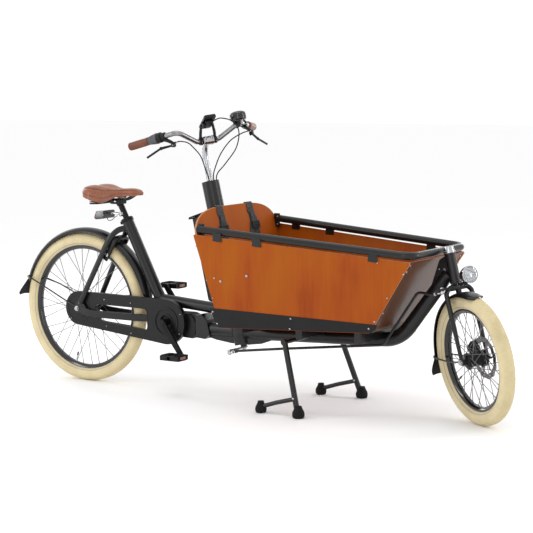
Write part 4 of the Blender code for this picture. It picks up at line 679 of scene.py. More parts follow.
class Form:
    """Closed shapes gathered into one mesh, each with its finish and a flow map in metres."""

    def __init__(self, look: Look, place: Matrix = BIKE) -> None:
        """Starts an empty form.

        Args:
            look: The finish of shapes that name no other.
            place: Where the form's own coordinates lie in the model's frame.
        """
        self.shape = bmesh.new()
        self.flow = self.shape.loops.layers.uv.new("flow")
        self.looks = [look]
        self.place = place

    def number(self, look: Optional[Look]) -> int:
        """The material number of a finish.

        Args:
            look: Finish, or None for the form's own.

        Returns:
            The number.
        """
        if look is None:
            return 0
        if look not in self.looks:
            self.looks.append(look)
        return self.looks.index(look)

    def corners(self, points: Iterable[Point], at: Optional[Matrix]) -> list[bmesh.types.BMVert]:
        """Adds points, moved by at and then by the form's own place."""
        matrix = self.place if at is None else self.place @ at
        return [self.shape.verts.new(matrix @ Vector(p)) for p in points]

    def face(self, verts: Sequence[bmesh.types.BMVert], flow: Sequence[tuple[float, float]],
             look: int) -> None:
        """Adds one face with its flow map.

        Args:
            verts: The face's corners.
            flow: Flow map place of each corner.
            look: Material number.
        """
        made = self.shape.faces.new(verts)
        made.material_index = look
        made.smooth = True
        for loop, (u, v) in zip(made.loops, flow):
            loop[self.flow].uv = (u, v)

    def loft(self, rings: Sequence[Sequence[Point]], look: Optional[Look] = None, around: bool = False,
             at: Optional[Matrix] = None, looks: Optional[Callable[[int], Optional[Look]]] = None) -> None:
        """A skin over rings of points, with flat ends.

        Args:
            rings: Rings with the same number of points.
            look: Its finish.
            around: Whether the last ring joins the first, without ends.
            at: Where it lies in the form.
            looks: Finish by place in the ring, instead of look.
        """
        loops = [self.corners(ring, at) for ring in rings]
        pairs = list(zip(loops, loops[1:]))
        if around:
            pairs.append((loops[-1], loops[0]))
        count = len(loops[0])
        girth = [0.0]
        for i in range(count):
            girth.append(girth[-1] + (loops[0][i].co - loops[0][(i + 1) % count].co).length)
        run = 0.0
        for first, second in pairs:
            far = run + sum((a.co - b.co).length for a, b in zip(first, second)) / count
            for i in range(count):
                j = (i + 1) % count
                number = self.number(looks(i) if looks else look)
                self.face((first[i], first[j], second[j], second[i]),
                          ((girth[i], run), (girth[i + 1], run), (girth[i + 1], far), (girth[i], far)),
                          number)
            run = far
        if not around:
            for loop in (loops[0], loops[-1]):
                self.face(loop, [(v.co.x, v.co.z) for v in loop], self.number(look))

    def sweep(self, path: Sequence[Point], outlines: Sequence[Any], side: Vector = SIDEWAYS,
              look: Optional[Look] = None, around: bool = False, at: Optional[Matrix] = None) -> None:
        """Carries an outline, or one for each point, along a path, kept upright to one side direction.

        Args:
            path: The path's points.
            outlines: One outline, or a list of one for each point.
            side: The direction that the outline's first number follows.
            look: Its finish.
            around: Whether the path is a closed ring.
            at: Where it lies in the form.
        """
        spots = [Vector(p) for p in path]
        last = len(spots) - 1
        rings = []
        for i, spot in enumerate(spots):
            before = spots[i - 1] if i or around else spot
            after = spots[(i + 1) % len(spots)] if i < last or around else spot
            along = ((spot - before).normalized() + (after - spot).normalized()).normalized()
            across = (side - along * side.dot(along)).normalized()
            up = across.cross(along)
            outline = outlines[i] if isinstance(outlines[0], list) else outlines
            rings.append([spot + across * a + up * b for a, b in outline])
        self.loft(rings, look, around, at)

    def tube(self, path: Sequence[Point], radius: Any, sides: int = 28, side: Vector = SIDEWAYS,
             look: Optional[Look] = None, wide: float = 1.0, around: bool = False,
             at: Optional[Matrix] = None) -> None:
        """A round bar or tube along a path; radius may be one number or one for each point.

        Args:
            path: Points of the line.
            radius: One radius, or one for each point.
            sides: How many sides the tube has.
            side: Direction that its first side keeps to.
            look: Finish, or None for the form's own.
            wide: Its width as a share of its height.
            around: True for a closed line.
            at: Place of the shape in the form, or None.
        """
        if isinstance(radius, (list, tuple)):
            self.sweep(path, [circle(r, sides, wide) for r in radius], side, look, around, at)
        else:
            self.sweep(path, circle(radius, sides, wide), side, look, around, at)

    def lathe(self, profile: Sequence[tuple[float, float]], steps: int = 56, axis: Axis = Axis.Y,
              look: Optional[Look] = None, at: Optional[Matrix] = None,
              looks: Optional[Callable[[int], Optional[Look]]] = None) -> None:
        """Turns (radius, place along the axis) points about an axis into a ring or a solid.

        Args:
            profile: The outline that is turned.
            steps: How many steps the turn has.
            axis: The axis of the turn.
            look: Finish, or None for the form's own.
            at: Place of the shape in the form, or None.
            looks: Gives a finish for each part of the outline.
        """
        reach = 1e-7
        profile = [(max(r, reach), h) for r, h in profile]
        rings = []
        for i in range(steps):
            a = 2 * math.pi * i / steps
            rings.append([axis.spot(r * math.cos(a), r * math.sin(a), h) for r, h in profile])
        self.loft(rings, look, True, at, looks)

    def slab(self, outline: Outline, low: float, high: float, axis: Axis = Axis.Y,
             look: Optional[Look] = None, edge: float = 0.0008, holes: Sequence[Outline] = (),
             at: Optional[Matrix] = None, rim_look: Optional[Look] = None,
             shift: Optional[Callable[[Vector], Vector]] = None) -> None:
        """A flat outline with holes, made thick, with eased edges.

        Args:
            outline: The outer outline.
            low: Start along the axis.
            high: End along the axis.
            axis: The direction of its thickness.
            look: Finish of its faces.
            edge: How much its edges are eased.
            holes: Outlines of holes through it.
            at: Where it lies in the form.
            rim_look: Finish of its narrow sides.
            shift: Moves each flat point before it is placed.
        """
        flat = bmesh.new()
        for ring in (outline, *holes):
            verts = [flat.verts.new(axis.spot(a, b, low)) for a, b in ring]
            for first, second in zip(verts, verts[1:] + verts[:1]):
                flat.edges.new((first, second))
        bmesh.ops.triangle_fill(flat, use_beauty=True, edges=flat.edges[:])
        bmesh.ops.dissolve_limit(flat, angle_limit=0.01, verts=flat.verts[:], edges=flat.edges[:])
        grown = bmesh.ops.extrude_face_region(flat, geom=flat.faces[:], use_keep_orig=True)
        moved = [v for v in grown["geom"] if isinstance(v, bmesh.types.BMVert)]
        bmesh.ops.translate(flat, verts=moved, vec=axis.spot(0, 0, high - low))
        bmesh.ops.recalc_face_normals(flat, faces=flat.faces[:])
        if edge > 0:
            sharp = [e for e in flat.edges if len(e.link_faces) == 2 and e.calc_face_angle() > 1.0]
            bmesh.ops.bevel(flat, geom=sharp, offset=edge, segments=2, affect="EDGES", profile=0.6)
        if shift is not None:
            for vert in flat.verts:
                vert.co = shift(vert.co)
        self.absorb(flat, look, at, axis, rim_look)

    def block(self, low: Point, high: Point, edge: float = 0.001, look: Optional[Look] = None,
              at: Optional[Matrix] = None) -> None:
        """A box with eased edges.

        Args:
            low: Lowest corner.
            high: Highest corner.
            edge: Radius of the eased edges.
            look: Finish, or None for the form's own.
            at: Place of the shape in the form, or None.
        """
        middle = [(a + b) / 2 for a, b in zip(low, high)]
        half = [(b - a) / 2 for a, b in zip(low, high)]
        place = Matrix.Translation(middle)
        place = place if at is None else at @ place
        self.slab(box_outline(half[0], half[2]), -half[1], half[1], Axis.Y, look, edge, (), place)

    def absorb(self, flat: bmesh.types.BMesh, look: Optional[Look], at: Optional[Matrix],
               axis: Axis = Axis.Y, rim_look: Optional[Look] = None) -> None:
        """Adds another shape's faces, mapped flat along an axis.

        Args:
            flat: The shape, which is used up.
            look: Its finish.
            at: Where it lies in the form.
            axis: The direction that its flow map looks along.
            rim_look: Finish of faces that don't face along the axis.
        """
        flat.verts.index_update()
        verts = self.corners([v.co for v in flat.verts], at)
        for face in flat.faces:
            points = [v.co for v in face.verts]
            normal = axis.spot(0, 0, 1).dot(face.normal)
            rim = rim_look is not None and abs(normal) < 0.5
            if rim:
                flow = [(axis.spot(0, 0, 1).dot(p),
                         p.x + p.y + p.z - axis.spot(0, 0, 1).dot(p)) for p in points]
            elif axis is Axis.X:
                flow = [(p.y, p.z) for p in points]
            elif axis is Axis.Y:
                flow = [(p.x, p.z) for p in points]
            else:
                flow = [(p.x, p.y) for p in points]
            self.face([verts[v.index] for v in face.verts], flow, self.number(rim_look if rim else look))
        flat.free()

    def take(self, mesh: bpy.types.Mesh, look: Optional[Look] = None, at: Optional[Matrix] = None) -> None:
        """Adds a copy of a mesh that is in the form's own coordinates.

        Args:
            mesh: The mesh to copy in.
            look: Finish, or None for the form's own.
            at: Place of the shape in the form, or None.
        """
        flat = bmesh.new()
        flat.from_mesh(mesh)
        bmesh.ops.remove_doubles(flat, verts=flat.verts[:], dist=1e-6)
        self.absorb(flat, look, at)

    def weld(self, path: Sequence[Vector], size: float = 0.0022, ripple: float = 0.0042) -> None:
        """A welded seam: a rippled bead along a closed line.

        Args:
            path: Points of the line.
            size: Radius of the bead.
            ripple: Distance from one ripple to the next.
        """
        spots = [Vector(p) for p in path]
        length = sum((b - a).length for a, b in zip(spots, spots[1:] + spots[:1]))
        count = max(24, int(length / ripple) * 3)
        fine = []
        marks = [0.0]
        for a, b in zip(spots, spots[1:] + spots[:1]):
            marks.append(marks[-1] + (b - a).length)
        for i in range(count):
            far = length * i / count
            k = max(j for j in range(len(spots)) if marks[j] <= far + 1e-9)
            share = (far - marks[k]) / max(marks[k + 1] - marks[k], 1e-9)
            fine.append(spots[k].lerp(spots[(k + 1) % len(spots)], share))
        radii = [size * (1.0 + 0.16 * math.cos(2 * math.pi * i / 3)) for i in range(count)]
        normal = Vector()
        middle = sum(fine, Vector()) / count
        for a, b in zip(fine, fine[1:]):
            normal += (a - middle).cross(b - middle)
        self.tube(fine, radii, 8, normal.normalized(), None, 1.0, True)

    def mesh(self) -> bpy.types.Mesh:
        """Ends the form as a mesh with its finishes.

        Returns:
            The mesh.
        """
        bmesh.ops.remove_doubles(self.shape, verts=self.shape.verts[:], dist=1e-6)
        bmesh.ops.dissolve_degenerate(self.shape, edges=self.shape.edges[:], dist=1e-6)
        bmesh.ops.recalc_face_normals(self.shape, faces=self.shape.faces[:])
        made = bpy.data.meshes.new("form")
        self.shape.to_mesh(made)
        for look in self.looks:
            made.materials.append(look.material)
        made.set_sharp_from_angle(angle=math.radians(40))
        return made

    def done(self, name: str, body: str, *nodes: str, slot: str = "") -> bpy.types.Object:
        """Ends the form as a piece of the bike.

        Args:
            name: The piece's name.
            body: The body that it rides on.
            *nodes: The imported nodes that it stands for.
            slot: The record's material slot.

        Returns:
            The piece.
        """
        return make_piece(self.mesh(), name, body, *nodes, slot=slot)


def make_piece(mesh: bpy.types.Mesh, name: str, body: str, *nodes: str, slot: str = "",
               even: bool = True) -> bpy.types.Object:
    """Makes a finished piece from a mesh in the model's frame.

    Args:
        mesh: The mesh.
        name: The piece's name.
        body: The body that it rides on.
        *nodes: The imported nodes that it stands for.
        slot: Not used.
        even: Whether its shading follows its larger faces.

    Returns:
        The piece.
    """
    mesh.name = name
    thing = bpy.data.objects.new(name, mesh)
    bpy.context.scene.collection.objects.link(thing)
    if even:
        shading = thing.modifiers.new("shading", "WEIGHTED_NORMAL")
        shading.keep_sharp = True
    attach(thing, body)
    if nodes:
        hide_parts(*nodes)
    log.info("%s: %d faces, rides on %s", name, len(mesh.polygons), body)
    return thing


class Copier:
    """Geometry node trees that copy a small piece many times."""

    def __init__(self) -> None:
        """Builds the three trees."""
        self.trees: dict[str, bpy.types.NodeTree] = {}
        self.ring_tree()
        self.path_tree()
        self.point_tree()

    def start(self, name: str, inputs: Sequence[tuple[str, str]]) -> Callable[..., bpy.types.Node]:
        """Starts a tree.

        Args:
            name: The tree's name.
            inputs: Its inputs as (name, socket type).

        Returns:
            A function that adds a node with its inputs set or linked.
        """
        tree = bpy.data.node_groups.new(name, "GeometryNodeTree")
        self.trees[name] = tree
        for label, kind in inputs:
            tree.interface.new_socket(label, in_out="INPUT", socket_type=kind)
        tree.interface.new_socket("Geometry", in_out="OUTPUT", socket_type="NodeSocketGeometry")

        def add(kind: str, values: dict[Any, Any], **settings: Any) -> bpy.types.Node:
            """Adds a node with its settings and inputs."""
            node = tree.nodes.new(kind)
            for label, value in settings.items():
                setattr(node, label, value)
            for label, value in values.items():
                if isinstance(value, bpy.types.NodeSocket):
                    tree.links.new(value, node.inputs[label])
                else:
                    node.inputs[label].default_value = value
            return node

        return add

    def end(self, add: Callable[..., bpy.types.Node], instances: bpy.types.NodeSocket,
            material: bpy.types.NodeSocket) -> None:
        """Ends a tree: real geometry with its material."""
        real = add("GeometryNodeRealizeInstances", {"Geometry": instances})
        dressed = add("GeometryNodeSetMaterial", {"Geometry": real.outputs[0], "Material": material})
        add("NodeGroupOutput", {0: dressed.outputs[0]})

    def ring_tree(self) -> None:
        """Copies of a piece turned about the Y axis."""
        add = self.start("copies round an axle",
                         [("Piece", "NodeSocketObject"), ("Copies", "NodeSocketInt"),
                          ("Start", "NodeSocketFloat"), ("Finish", "NodeSocketMaterial")])
        given = add("NodeGroupInput", {}).outputs
        piece = add("GeometryNodeObjectInfo", {"Object": given["Piece"]})
        points = add("GeometryNodePoints", {"Count": given["Copies"]})
        step = add("ShaderNodeMath", {0: 2 * math.pi, 1: given["Copies"]}, operation="DIVIDE")
        turn = add("ShaderNodeMath", {0: add("GeometryNodeInputIndex", {}).outputs[0], 1: step.outputs[0],
                                      2: given["Start"]}, operation="MULTIPLY_ADD")
        euler = add("ShaderNodeCombineXYZ", {"Y": turn.outputs[0]})
        rotation = add("FunctionNodeEulerToRotation", {"Euler": euler.outputs[0]})
        copies = add("GeometryNodeInstanceOnPoints", {"Points": points.outputs[0],
                                                      "Instance": piece.outputs["Geometry"],
                                                      "Rotation": rotation.outputs[0]})
        self.end(add, copies.outputs[0], given["Finish"])

    def path_tree(self) -> None:
        """Copies of a piece along a line, their X along it and their Z towards a given direction."""
        add = self.start("copies along a path",
                         [("Path", "NodeSocketObject"), ("Piece", "NodeSocketObject"),
                          ("Copies", "NodeSocketInt"), ("Upwards", "NodeSocketVector"),
                          ("Finish", "NodeSocketMaterial")])
        given = add("NodeGroupInput", {}).outputs
        piece = add("GeometryNodeObjectInfo", {"Object": given["Piece"]})
        path = add("GeometryNodeObjectInfo", {"Object": given["Path"]})
        curve = add("GeometryNodeMeshToCurve", {"Mesh": path.outputs["Geometry"]})
        even = add("GeometryNodeResampleCurve", {"Curve": curve.outputs[0], "Count": given["Copies"]})
        tangent = add("GeometryNodeInputTangent", {})
        first = add("FunctionNodeAlignRotationToVector", {"Vector": tangent.outputs[0]}, axis="X")
        second = add("FunctionNodeAlignRotationToVector", {"Rotation": first.outputs[0],
                                                           "Vector": given["Upwards"]}, axis="Z",
                     pivot_axis="X")
        copies = add("GeometryNodeInstanceOnPoints", {"Points": even.outputs[0],
                                                      "Instance": piece.outputs["Geometry"],
                                                      "Rotation": second.outputs[0]})
        self.end(add, copies.outputs[0], given["Finish"])

    def point_tree(self) -> None:
        """Copies of a piece on points, their Z along each point's facing direction."""
        add = self.start("copies on points", [("Points", "NodeSocketObject"), ("Piece", "NodeSocketObject"),
                                              ("Finish", "NodeSocketMaterial")])
        given = add("NodeGroupInput", {}).outputs
        piece = add("GeometryNodeObjectInfo", {"Object": given["Piece"]})
        points = add("GeometryNodeObjectInfo", {"Object": given["Points"]})
        facing = add("GeometryNodeInputNamedAttribute", {"Name": "facing"}, data_type="FLOAT_VECTOR")
        size = add("GeometryNodeInputNamedAttribute", {"Name": "size"}, data_type="FLOAT")
        aligned = add("FunctionNodeAlignRotationToVector", {"Vector": facing.outputs[0]}, axis="Z")
        copies = add("GeometryNodeInstanceOnPoints", {"Points": points.outputs["Geometry"],
                                                      "Instance": piece.outputs["Geometry"],
                                                      "Rotation": aligned.outputs[0],
                                                      "Scale": size.outputs[0]})
        self.end(add, copies.outputs[0], given["Finish"])

    def run(self, name: str, values: dict[str, Any]) -> bpy.types.Mesh:
        """Runs a tree once and returns its plain mesh.

        Args:
            name: The tree's name.
            values: Its inputs by name; a mesh is put into a helper object first.

        Returns:
            The mesh.
        """
        helpers = []
        carrier = bpy.data.objects.new("carrier", bpy.data.meshes.new("carrier"))
        bpy.context.scene.collection.objects.link(carrier)
        step = carrier.modifiers.new("copies", "NODES")
        step.node_group = self.trees[name]
        for item in self.trees[name].interface.items_tree:
            if item.in_out != "INPUT":
                continue
            value = values[item.name]
            if isinstance(value, bpy.types.Mesh):
                value = bpy.data.objects.new("helper", value)
                bpy.context.scene.collection.objects.link(value)
                helpers.append(value)
            step[item.identifier] = value
        bpy.context.view_layer.update()
        graph = bpy.context.evaluated_depsgraph_get()
        mesh = bpy.data.meshes.new_from_object(carrier.evaluated_get(graph))
        for thing in (carrier, *helpers):
            bpy.data.objects.remove(thing, do_unlink=True)
        return mesh

    def ring(self, piece: "Form", copies: int, start: float = 0.0) -> bpy.types.Mesh:
        """Copies of a form turned about the Y axis."""
        look = piece.looks[0]
        return self.run("copies round an axle", {"Piece": piece.mesh(), "Copies": copies, "Start": start,
                                                 "Finish": look.material})

    def along(self, piece: "Form", path: Sequence[Point], copies: int, upwards: Point = (0, 0, 1),
              closed: bool = False) -> bpy.types.Mesh:
        """Copies of a form along a line.

        Args:
            piece: The form to copy.
            path: Points of the line.
            copies: How many copies.
            upwards: Direction of each copy's Z.
            closed: True for a closed line.

        Returns:
            The copies as one mesh.
        """
        line = bpy.data.meshes.new("line")
        edges = [(i, i + 1) for i in range(len(path) - 1)]
        if closed:
            edges.append((len(path) - 1, 0))
        line.from_pydata([tuple(p) for p in path], edges, [])
        look = piece.looks[0]
        return self.run("copies along a path", {"Path": line, "Piece": piece.mesh(), "Copies": copies,
                                                "Upwards": tuple(upwards), "Finish": look.material})

    def on_points(self, piece: "Form", points: Sequence[tuple[Point, Point, float]]) -> bpy.types.Mesh:
        """Copies of a form on (point, facing, size) places.

        Args:
            piece: The form to copy.
            points: Place, facing direction and size of each copy.

        Returns:
            The copies as one mesh.
        """
        spots = bpy.data.meshes.new("spots")
        spots.from_pydata([tuple(p) for p, _, _ in points], [], [])
        facing = spots.attributes.new("facing", "FLOAT_VECTOR", "POINT")
        facing.data.foreach_set("vector", [c for _, way, _ in points for c in way])
        size = spots.attributes.new("size", "FLOAT", "POINT")
        size.data.foreach_set("value", [s for _, _, s in points])
        look = piece.looks[0]
        return self.run("copies on points", {"Points": spots, "Piece": piece.mesh(),
                                             "Finish": look.material})

    def screws(self, form: "Form", spots: Sequence[tuple[Point, Point, float]]) -> None:
        """Adds steel bolt heads to a form on (point, facing, radius in millimetres) places."""
        form.take(self.on_points(bolt_head(), spots), Look.STEEL)


def loose(look: Look) -> Form:
    """A form in its own plain coordinates, for a small piece that is copied."""
    return Form(look, Matrix.Identity(4))


def bolt_head(look: Look = Look.STEEL) -> Form:
    """A round bolt head of 1 mm radius with a hex socket, to be copied at any size.

    Args:
        look: The head's finish.

    Returns:
        The form.
    """
    form = loose(look)
    form.lathe([(0.0, -0.2e-3), (1.0e-3, -0.2e-3), (1.0e-3, 0.25e-3), (0.85e-3, 0.5e-3), (0.5e-3, 0.62e-3),
                (0.42e-3, 0.62e-3), (0.40e-3, 0.3e-3), (0.0, 0.3e-3)], 12, Axis.Z)
    return form


def aim(point: Point, way: Point, up: Point = (0.0, 0.0, 1.0)) -> Matrix:
    """A place whose Z looks along a way.

    Args:
        point: Where it is.
        way: Where its Z looks.
        up: Roughly where its Y looks.

    Returns:
        The place.
    """
    z = Vector(way).normalized()
    x = Vector(up).cross(z)
    if x.length < 1e-4:
        x = Vector((1.0, 0.0, 0.0)).cross(z)
    x.normalize()
    matrix = Matrix((x, z.cross(x), z)).transposed().to_4x4()
    matrix.translation = Vector(point)
    return matrix


def arc(radius: float, start: float, end: float, steps: int, x: float = 0.0,
        z: float = 0.0) -> list[Vector]:
    """Points on an upright circle from one angle in degrees to another."""
    turns = [math.radians(start + (end - start) * i / steps) for i in range(steps + 1)]
    return [Vector((x + radius * math.cos(a), 0.0, z + radius * math.sin(a))) for a in turns]


def arch(half: float, drop: float, wall: float, steps: int = 9) -> list[tuple[float, float]]:
    """A fender's section: a shallow arch with turned-down, rolled sides.

    Args:
        half: Half the width.
        drop: How far the sides hang down.
        wall: Wall thickness.
        steps: How many steps the arch has.

    Returns:
        The section's points.
    """
    shares = [2 * i / steps - 1 for i in range(steps + 1)]
    outer = [(half * math.sin(s * math.pi / 2),
              -drop * (1 - math.cos(s * math.pi / 2)) ** 1.25) for s in shares]
    inner = [(a * (1 - wall / half), b - wall) for a, b in outer]
    lip = wall * 0.6
    return [(-half - lip * 0.3, -drop - lip), *outer, (half + lip * 0.3, -drop - lip), *reversed(inner)]


def on_hand(points: Iterable[Point], which: int) -> list[Vector]:
    """Points with their Y on one side: -1 right, 1 left."""
    return [Vector((p[0], which * p[1], p[2])) for p in points]


@dataclass(frozen=True)
class WheelSizes:
    """One wheel's sizes."""

    name: str
    body: str
    place: Matrix
    radius: float
    section: float
    bead: float
    flange: float
    barrel: float
    axle: float
    valve: float
    tread: int
    rim_depth: float = 0.013
    rim_half: float = 0.016
    flange_y: float = 0.030
    spoke: float = 0.00150
    lean: float = math.radians(60)


class Wheel:
    """A spoked wheel with a balloon tyre."""

    def __init__(self, sizes: WheelSizes, copier: Copier) -> None:
        """Keeps the sizes and the tool for copies."""
        self.sizes = sizes
        self.copier = copier
        self.middle = sizes.radius - sizes.section / 2 - 0.0008

    def on_tyre(self, angle: float, lift: float = 0.0) -> tuple[float, float]:
        """A (radius, sideways) point of the tyre's section, 90 degrees being its crown."""
        a = math.radians(angle)
        half = self.sizes.section / 2 + lift
        return self.middle + half * math.sin(a), half * math.cos(a)

    def build(self) -> None:
        """Builds tyre, rim and hub with its spokes."""
        self.tyre()
        self.rim()
        self.hub()

    def tyre(self) -> None:
        """The tyre with its tread and the line on each sidewall."""
        s = self.sizes
        form = Form(Look.TYRE, s.place)
        outer = [self.on_tyre(a) for a in range(-60, 241, 10)]
        inner = [self.on_tyre(a, -0.004) for a in range(232, -53, -15)]
        foot = [(s.bead - 0.001, 0.0126)]
        form.lathe(foot + outer + [(s.bead - 0.001, -0.0126), (s.bead - 0.001, -0.0090)] + inner
                   + [(s.bead - 0.001, 0.0090)], 96)
        for a in (-36, 216):
            band_points = [self.on_tyre(a - 1.8), self.on_tyre(a - 1.8, 0.0004),
                           self.on_tyre(a + 1.8, 0.0004), self.on_tyre(a + 1.8)]
            form.lathe(band_points, 96, look=Look.TYRE_LINE)
        for a in (-8, 34, 146, 188):
            rib = [self.on_tyre(a - 1.5, -0.0003), self.on_tyre(a, 0.0006), self.on_tyre(a + 1.5, -0.0003)]
            form.lathe(rib, 96)
        block = loose(Look.TYRE)
        pitch = 2 * math.pi / s.tread
        for row, angle in enumerate((46, 61, 76, 90, 104, 119, 134)):
            r, y = self.on_tyre(angle)
            shift = pitch / 2 * (row % 2)
            spot = Vector((r * math.cos(shift), y, r * math.sin(shift)))
            a = math.radians(angle)
            out = Vector((math.sin(a) * math.cos(shift), math.cos(a), math.sin(a) * math.sin(shift)))
            long = 0.31 * pitch * r
            block.block((-0.0027, -long * 0.85, -0.0006), (0.0027, long * 0.85, 0.0015), 0.0, None,
                        aim(spot, out, (-math.sin(shift), 0.0, math.cos(shift))))
        form.take(self.copier.ring(block, s.tread))
        form.done(s.name + "_tyre_skin", s.body, s.name + "_tyre", slot="cream_tyre")

    def rim(self) -> None:
        """The rim with its valve."""
        s = self.sizes
        b = s.bead
        form = Form(Look.GLOSS, s.place)
        half = [(b - s.rim_depth, 0.0), (b - s.rim_depth, 0.0065), (b - s.rim_depth + 0.0015, 0.0095),
                (b - 0.004, 0.0150), (b + 0.0015, s.rim_half), (b + 0.0040, s.rim_half),
                (b + 0.0046, 0.0152), (b + 0.0040, 0.0142), (b - 0.0008, 0.0136), (b - 0.0018, 0.0100)]
        form.lathe([(r, y) for r, y in half] + [(r, -y) for r, y in reversed(half[1:])], 96)
        a = s.valve
        way = Vector((-math.cos(a), 0.0, -math.sin(a)))
        base = way * -(b - s.rim_depth + 0.001)
        form.tube([base, base + way * 0.004, base + way * 0.0042, base + way * 0.026, base + way * 0.027,
                   base + way * 0.034], [0.0046, 0.0046, 0.0030, 0.0030, 0.0022, 0.0020], 12,
                  look=Look.STEEL)
        form.tube([base + way * 0.029, base + way * 0.044, base + way * 0.046], [0.0040, 0.0036, 0.002], 12,
                  look=Look.RUBBER)
        form.done(s.name + "_rim_skin", s.body, s.name + "_rim", slot="rim_paint")

    def spokes(self) -> bpy.types.Mesh:
        """All spokes with their heads and nipples, on a ring of nine groups of four.

        Returns:
            The spokes as one mesh.
        """
        s = self.sizes
        group = loose(Look.SPOKE)
        reach = s.bead - s.rim_depth + 0.001
        near = s.flange - 0.004
        for k in range(4):
            which = 1 if k % 2 else -1
            out = math.radians(10 * k + 5)
            root = out + (s.lean if k < 2 else -s.lean)
            outside = 0.0026 if k < 2 else -0.0026
            start = Vector((near * math.cos(root), which * (s.flange_y + outside), near * math.sin(root)))
            end = Vector((reach * math.cos(out), which * 0.003, reach * math.sin(out)))
            way = (start - end).normalized()
            group.tube([start, end], s.spoke, 6)
            head = Vector((0.0, math.copysign(0.0012, which * outside), 0.0))
            group.tube([start - head * 0.8, start + head * 0.6, start + head], [0.0021, 0.0021, 0.0012], 8,
                       Vector((1, 0, 0)))
            group.tube([end, end + way * 0.003, end + way * 0.0125, end + way * 0.013],
                       [0.0025, 0.0020, 0.0018, 0.0012], 6)
        return self.copier.ring(group, 9)

    def hub(self) -> None:
        """The hub shell, its axle with nuts, and the spokes."""
        s = self.sizes
        form = Form(Look.ALLOY, s.place)
        y = s.flange_y
        half = [(s.barrel, 0.0), (s.barrel, y - 0.010), (s.barrel + 0.002, y - 0.0065),
                (s.flange - 0.001, y - 0.0026), (s.flange, y - 0.0018), (s.flange, y + 0.0018),
                (s.flange - 0.001, y + 0.0024), (s.barrel * 0.98, y + 0.0030),
                (s.barrel * 0.90, y + 0.0060), (s.barrel * 0.72, y + 0.0085), (0.0125, y + 0.0110),
                (0.0125, s.axle - 0.0165), (0.0, s.axle - 0.0165)]
        form.lathe([(r, -h) for r, h in reversed(half[1:])] + half, 56)
        if s.barrel > 0.03:
            for h in (-0.012, -0.004, 0.004, 0.012):
                form.lathe([(s.barrel - 0.001, h - 0.002), (s.barrel + 0.0016, h - 0.0012),
                            (s.barrel + 0.0016, h + 0.0012), (s.barrel - 0.001, h + 0.002)], 56)
        for which in (-1, 1):
            seat = which * (s.axle - 0.0100)
            end = which * s.axle
            form.lathe([(0, 0), (0.005, 0), (0.005, end * 0.985), (0.0035, end), (0, end)], 14,
                       look=Look.STEEL)
            form.lathe([(0, seat), (0.0115, seat), (0.0115, seat + which * 0.0014),
                        (0, seat + which * 0.0014)], 28,
                       look=Look.STEEL)
            form.lathe([(0, seat), (0.0088, seat + which * 0.0014), (0.0092, seat + which * 0.002),
                        (0.0092, seat + which * 0.0078), (0.0080, seat + which * 0.0088),
                        (0, seat + which * 0.009)],
                       6, look=Look.STEEL)
        if s.barrel > 0.03:
            form.lathe([(0, -0.0495), (0.0385, -0.0495), (0.0385, -0.0465), (0, -0.0465)], 48)
            form.lathe([(0, -0.0560), (0.022, -0.0550), (0.024, -0.0495), (0, -0.0495)], 36)
            tooth = loose(Look.ALLOY)
            tooth.slab([(0.037, -0.0035), (0.0405, -0.0024), (0.0415, 0.0), (0.0405, 0.0024),
                        (0.037, 0.0035)],
                       -0.0490, -0.0470, edge=0.0)
            form.take(self.copier.ring(tooth, 20))
        form.take(self.spokes(), Look.SPOKE)
        form.done(s.name + "_hub_skin", s.body, s.name + "_hub", slot="dark_alloy")


class BrakeDisc:
    """The wavy, drilled front disc on its six-armed carrier."""

    def __init__(self, place: Matrix, copier: Copier) -> None:
        """Keeps where it is and the tool for copies."""
        self.place = place
        self.copier = copier

    def build(self) -> None:
        """Builds the disc and its bolts."""
        form = Form(Look.DISC, self.place)
        y = 0.045
        wave = []
        inner = []
        for i in range(144):
            a = 2 * math.pi * i / 144
            r = 0.0862 + 0.0018 * math.cos(12 * a)
            wave.append((r * math.cos(a), r * math.sin(a)))
            r = 0.0655 + 0.0018 * math.cos(12 * a)
            inner.append((r * math.cos(a), r * math.sin(a)))
        holes = [inner]
        for i in range(12):
            for r, shift, size in ((0.0800, 0.0, 0.0024), (0.0740, 0.17, 0.0026), (0.0805, 0.28, 0.0020)):
                a = 2 * math.pi * i / 12 + shift
                holes.append(circle(size, 8, 1.0, (r * math.cos(a), r * math.sin(a))))
        form.slab(wave, y - 0.001, y + 0.001, edge=0.0002, holes=holes)
        arm = loose(Look.DISC)
        arm.slab([(0.030, 0.002), (0.048, -0.0075), (0.068, -0.0020), (0.068, 0.0045), (0.052, 0.0005),
                  (0.030, 0.012)], y - 0.00095, y + 0.00095, edge=0.0002)
        form.take(self.copier.ring(arm, 6), Look.DISC)
        form.lathe([(0.0225, y - 0.001), (0.034, y - 0.001), (0.034, y + 0.001), (0.0225, y + 0.001)], 40)
        form.lathe([(0.0222, 0.034), (0.031, 0.034), (0.031, y), (0.0222, y)], 36, look=Look.ALLOY)
        self.copier.screws(form, [((0.028 * math.cos(a), y + 0.001, 0.028 * math.sin(a)), (0, 1, 0),
                                   3.2) for a in (2 * math.pi * i / 6 for i in range(6))])
        form.done("brake_disc_skin", "front_wheel", "brake_disc", slot="bright_steel")


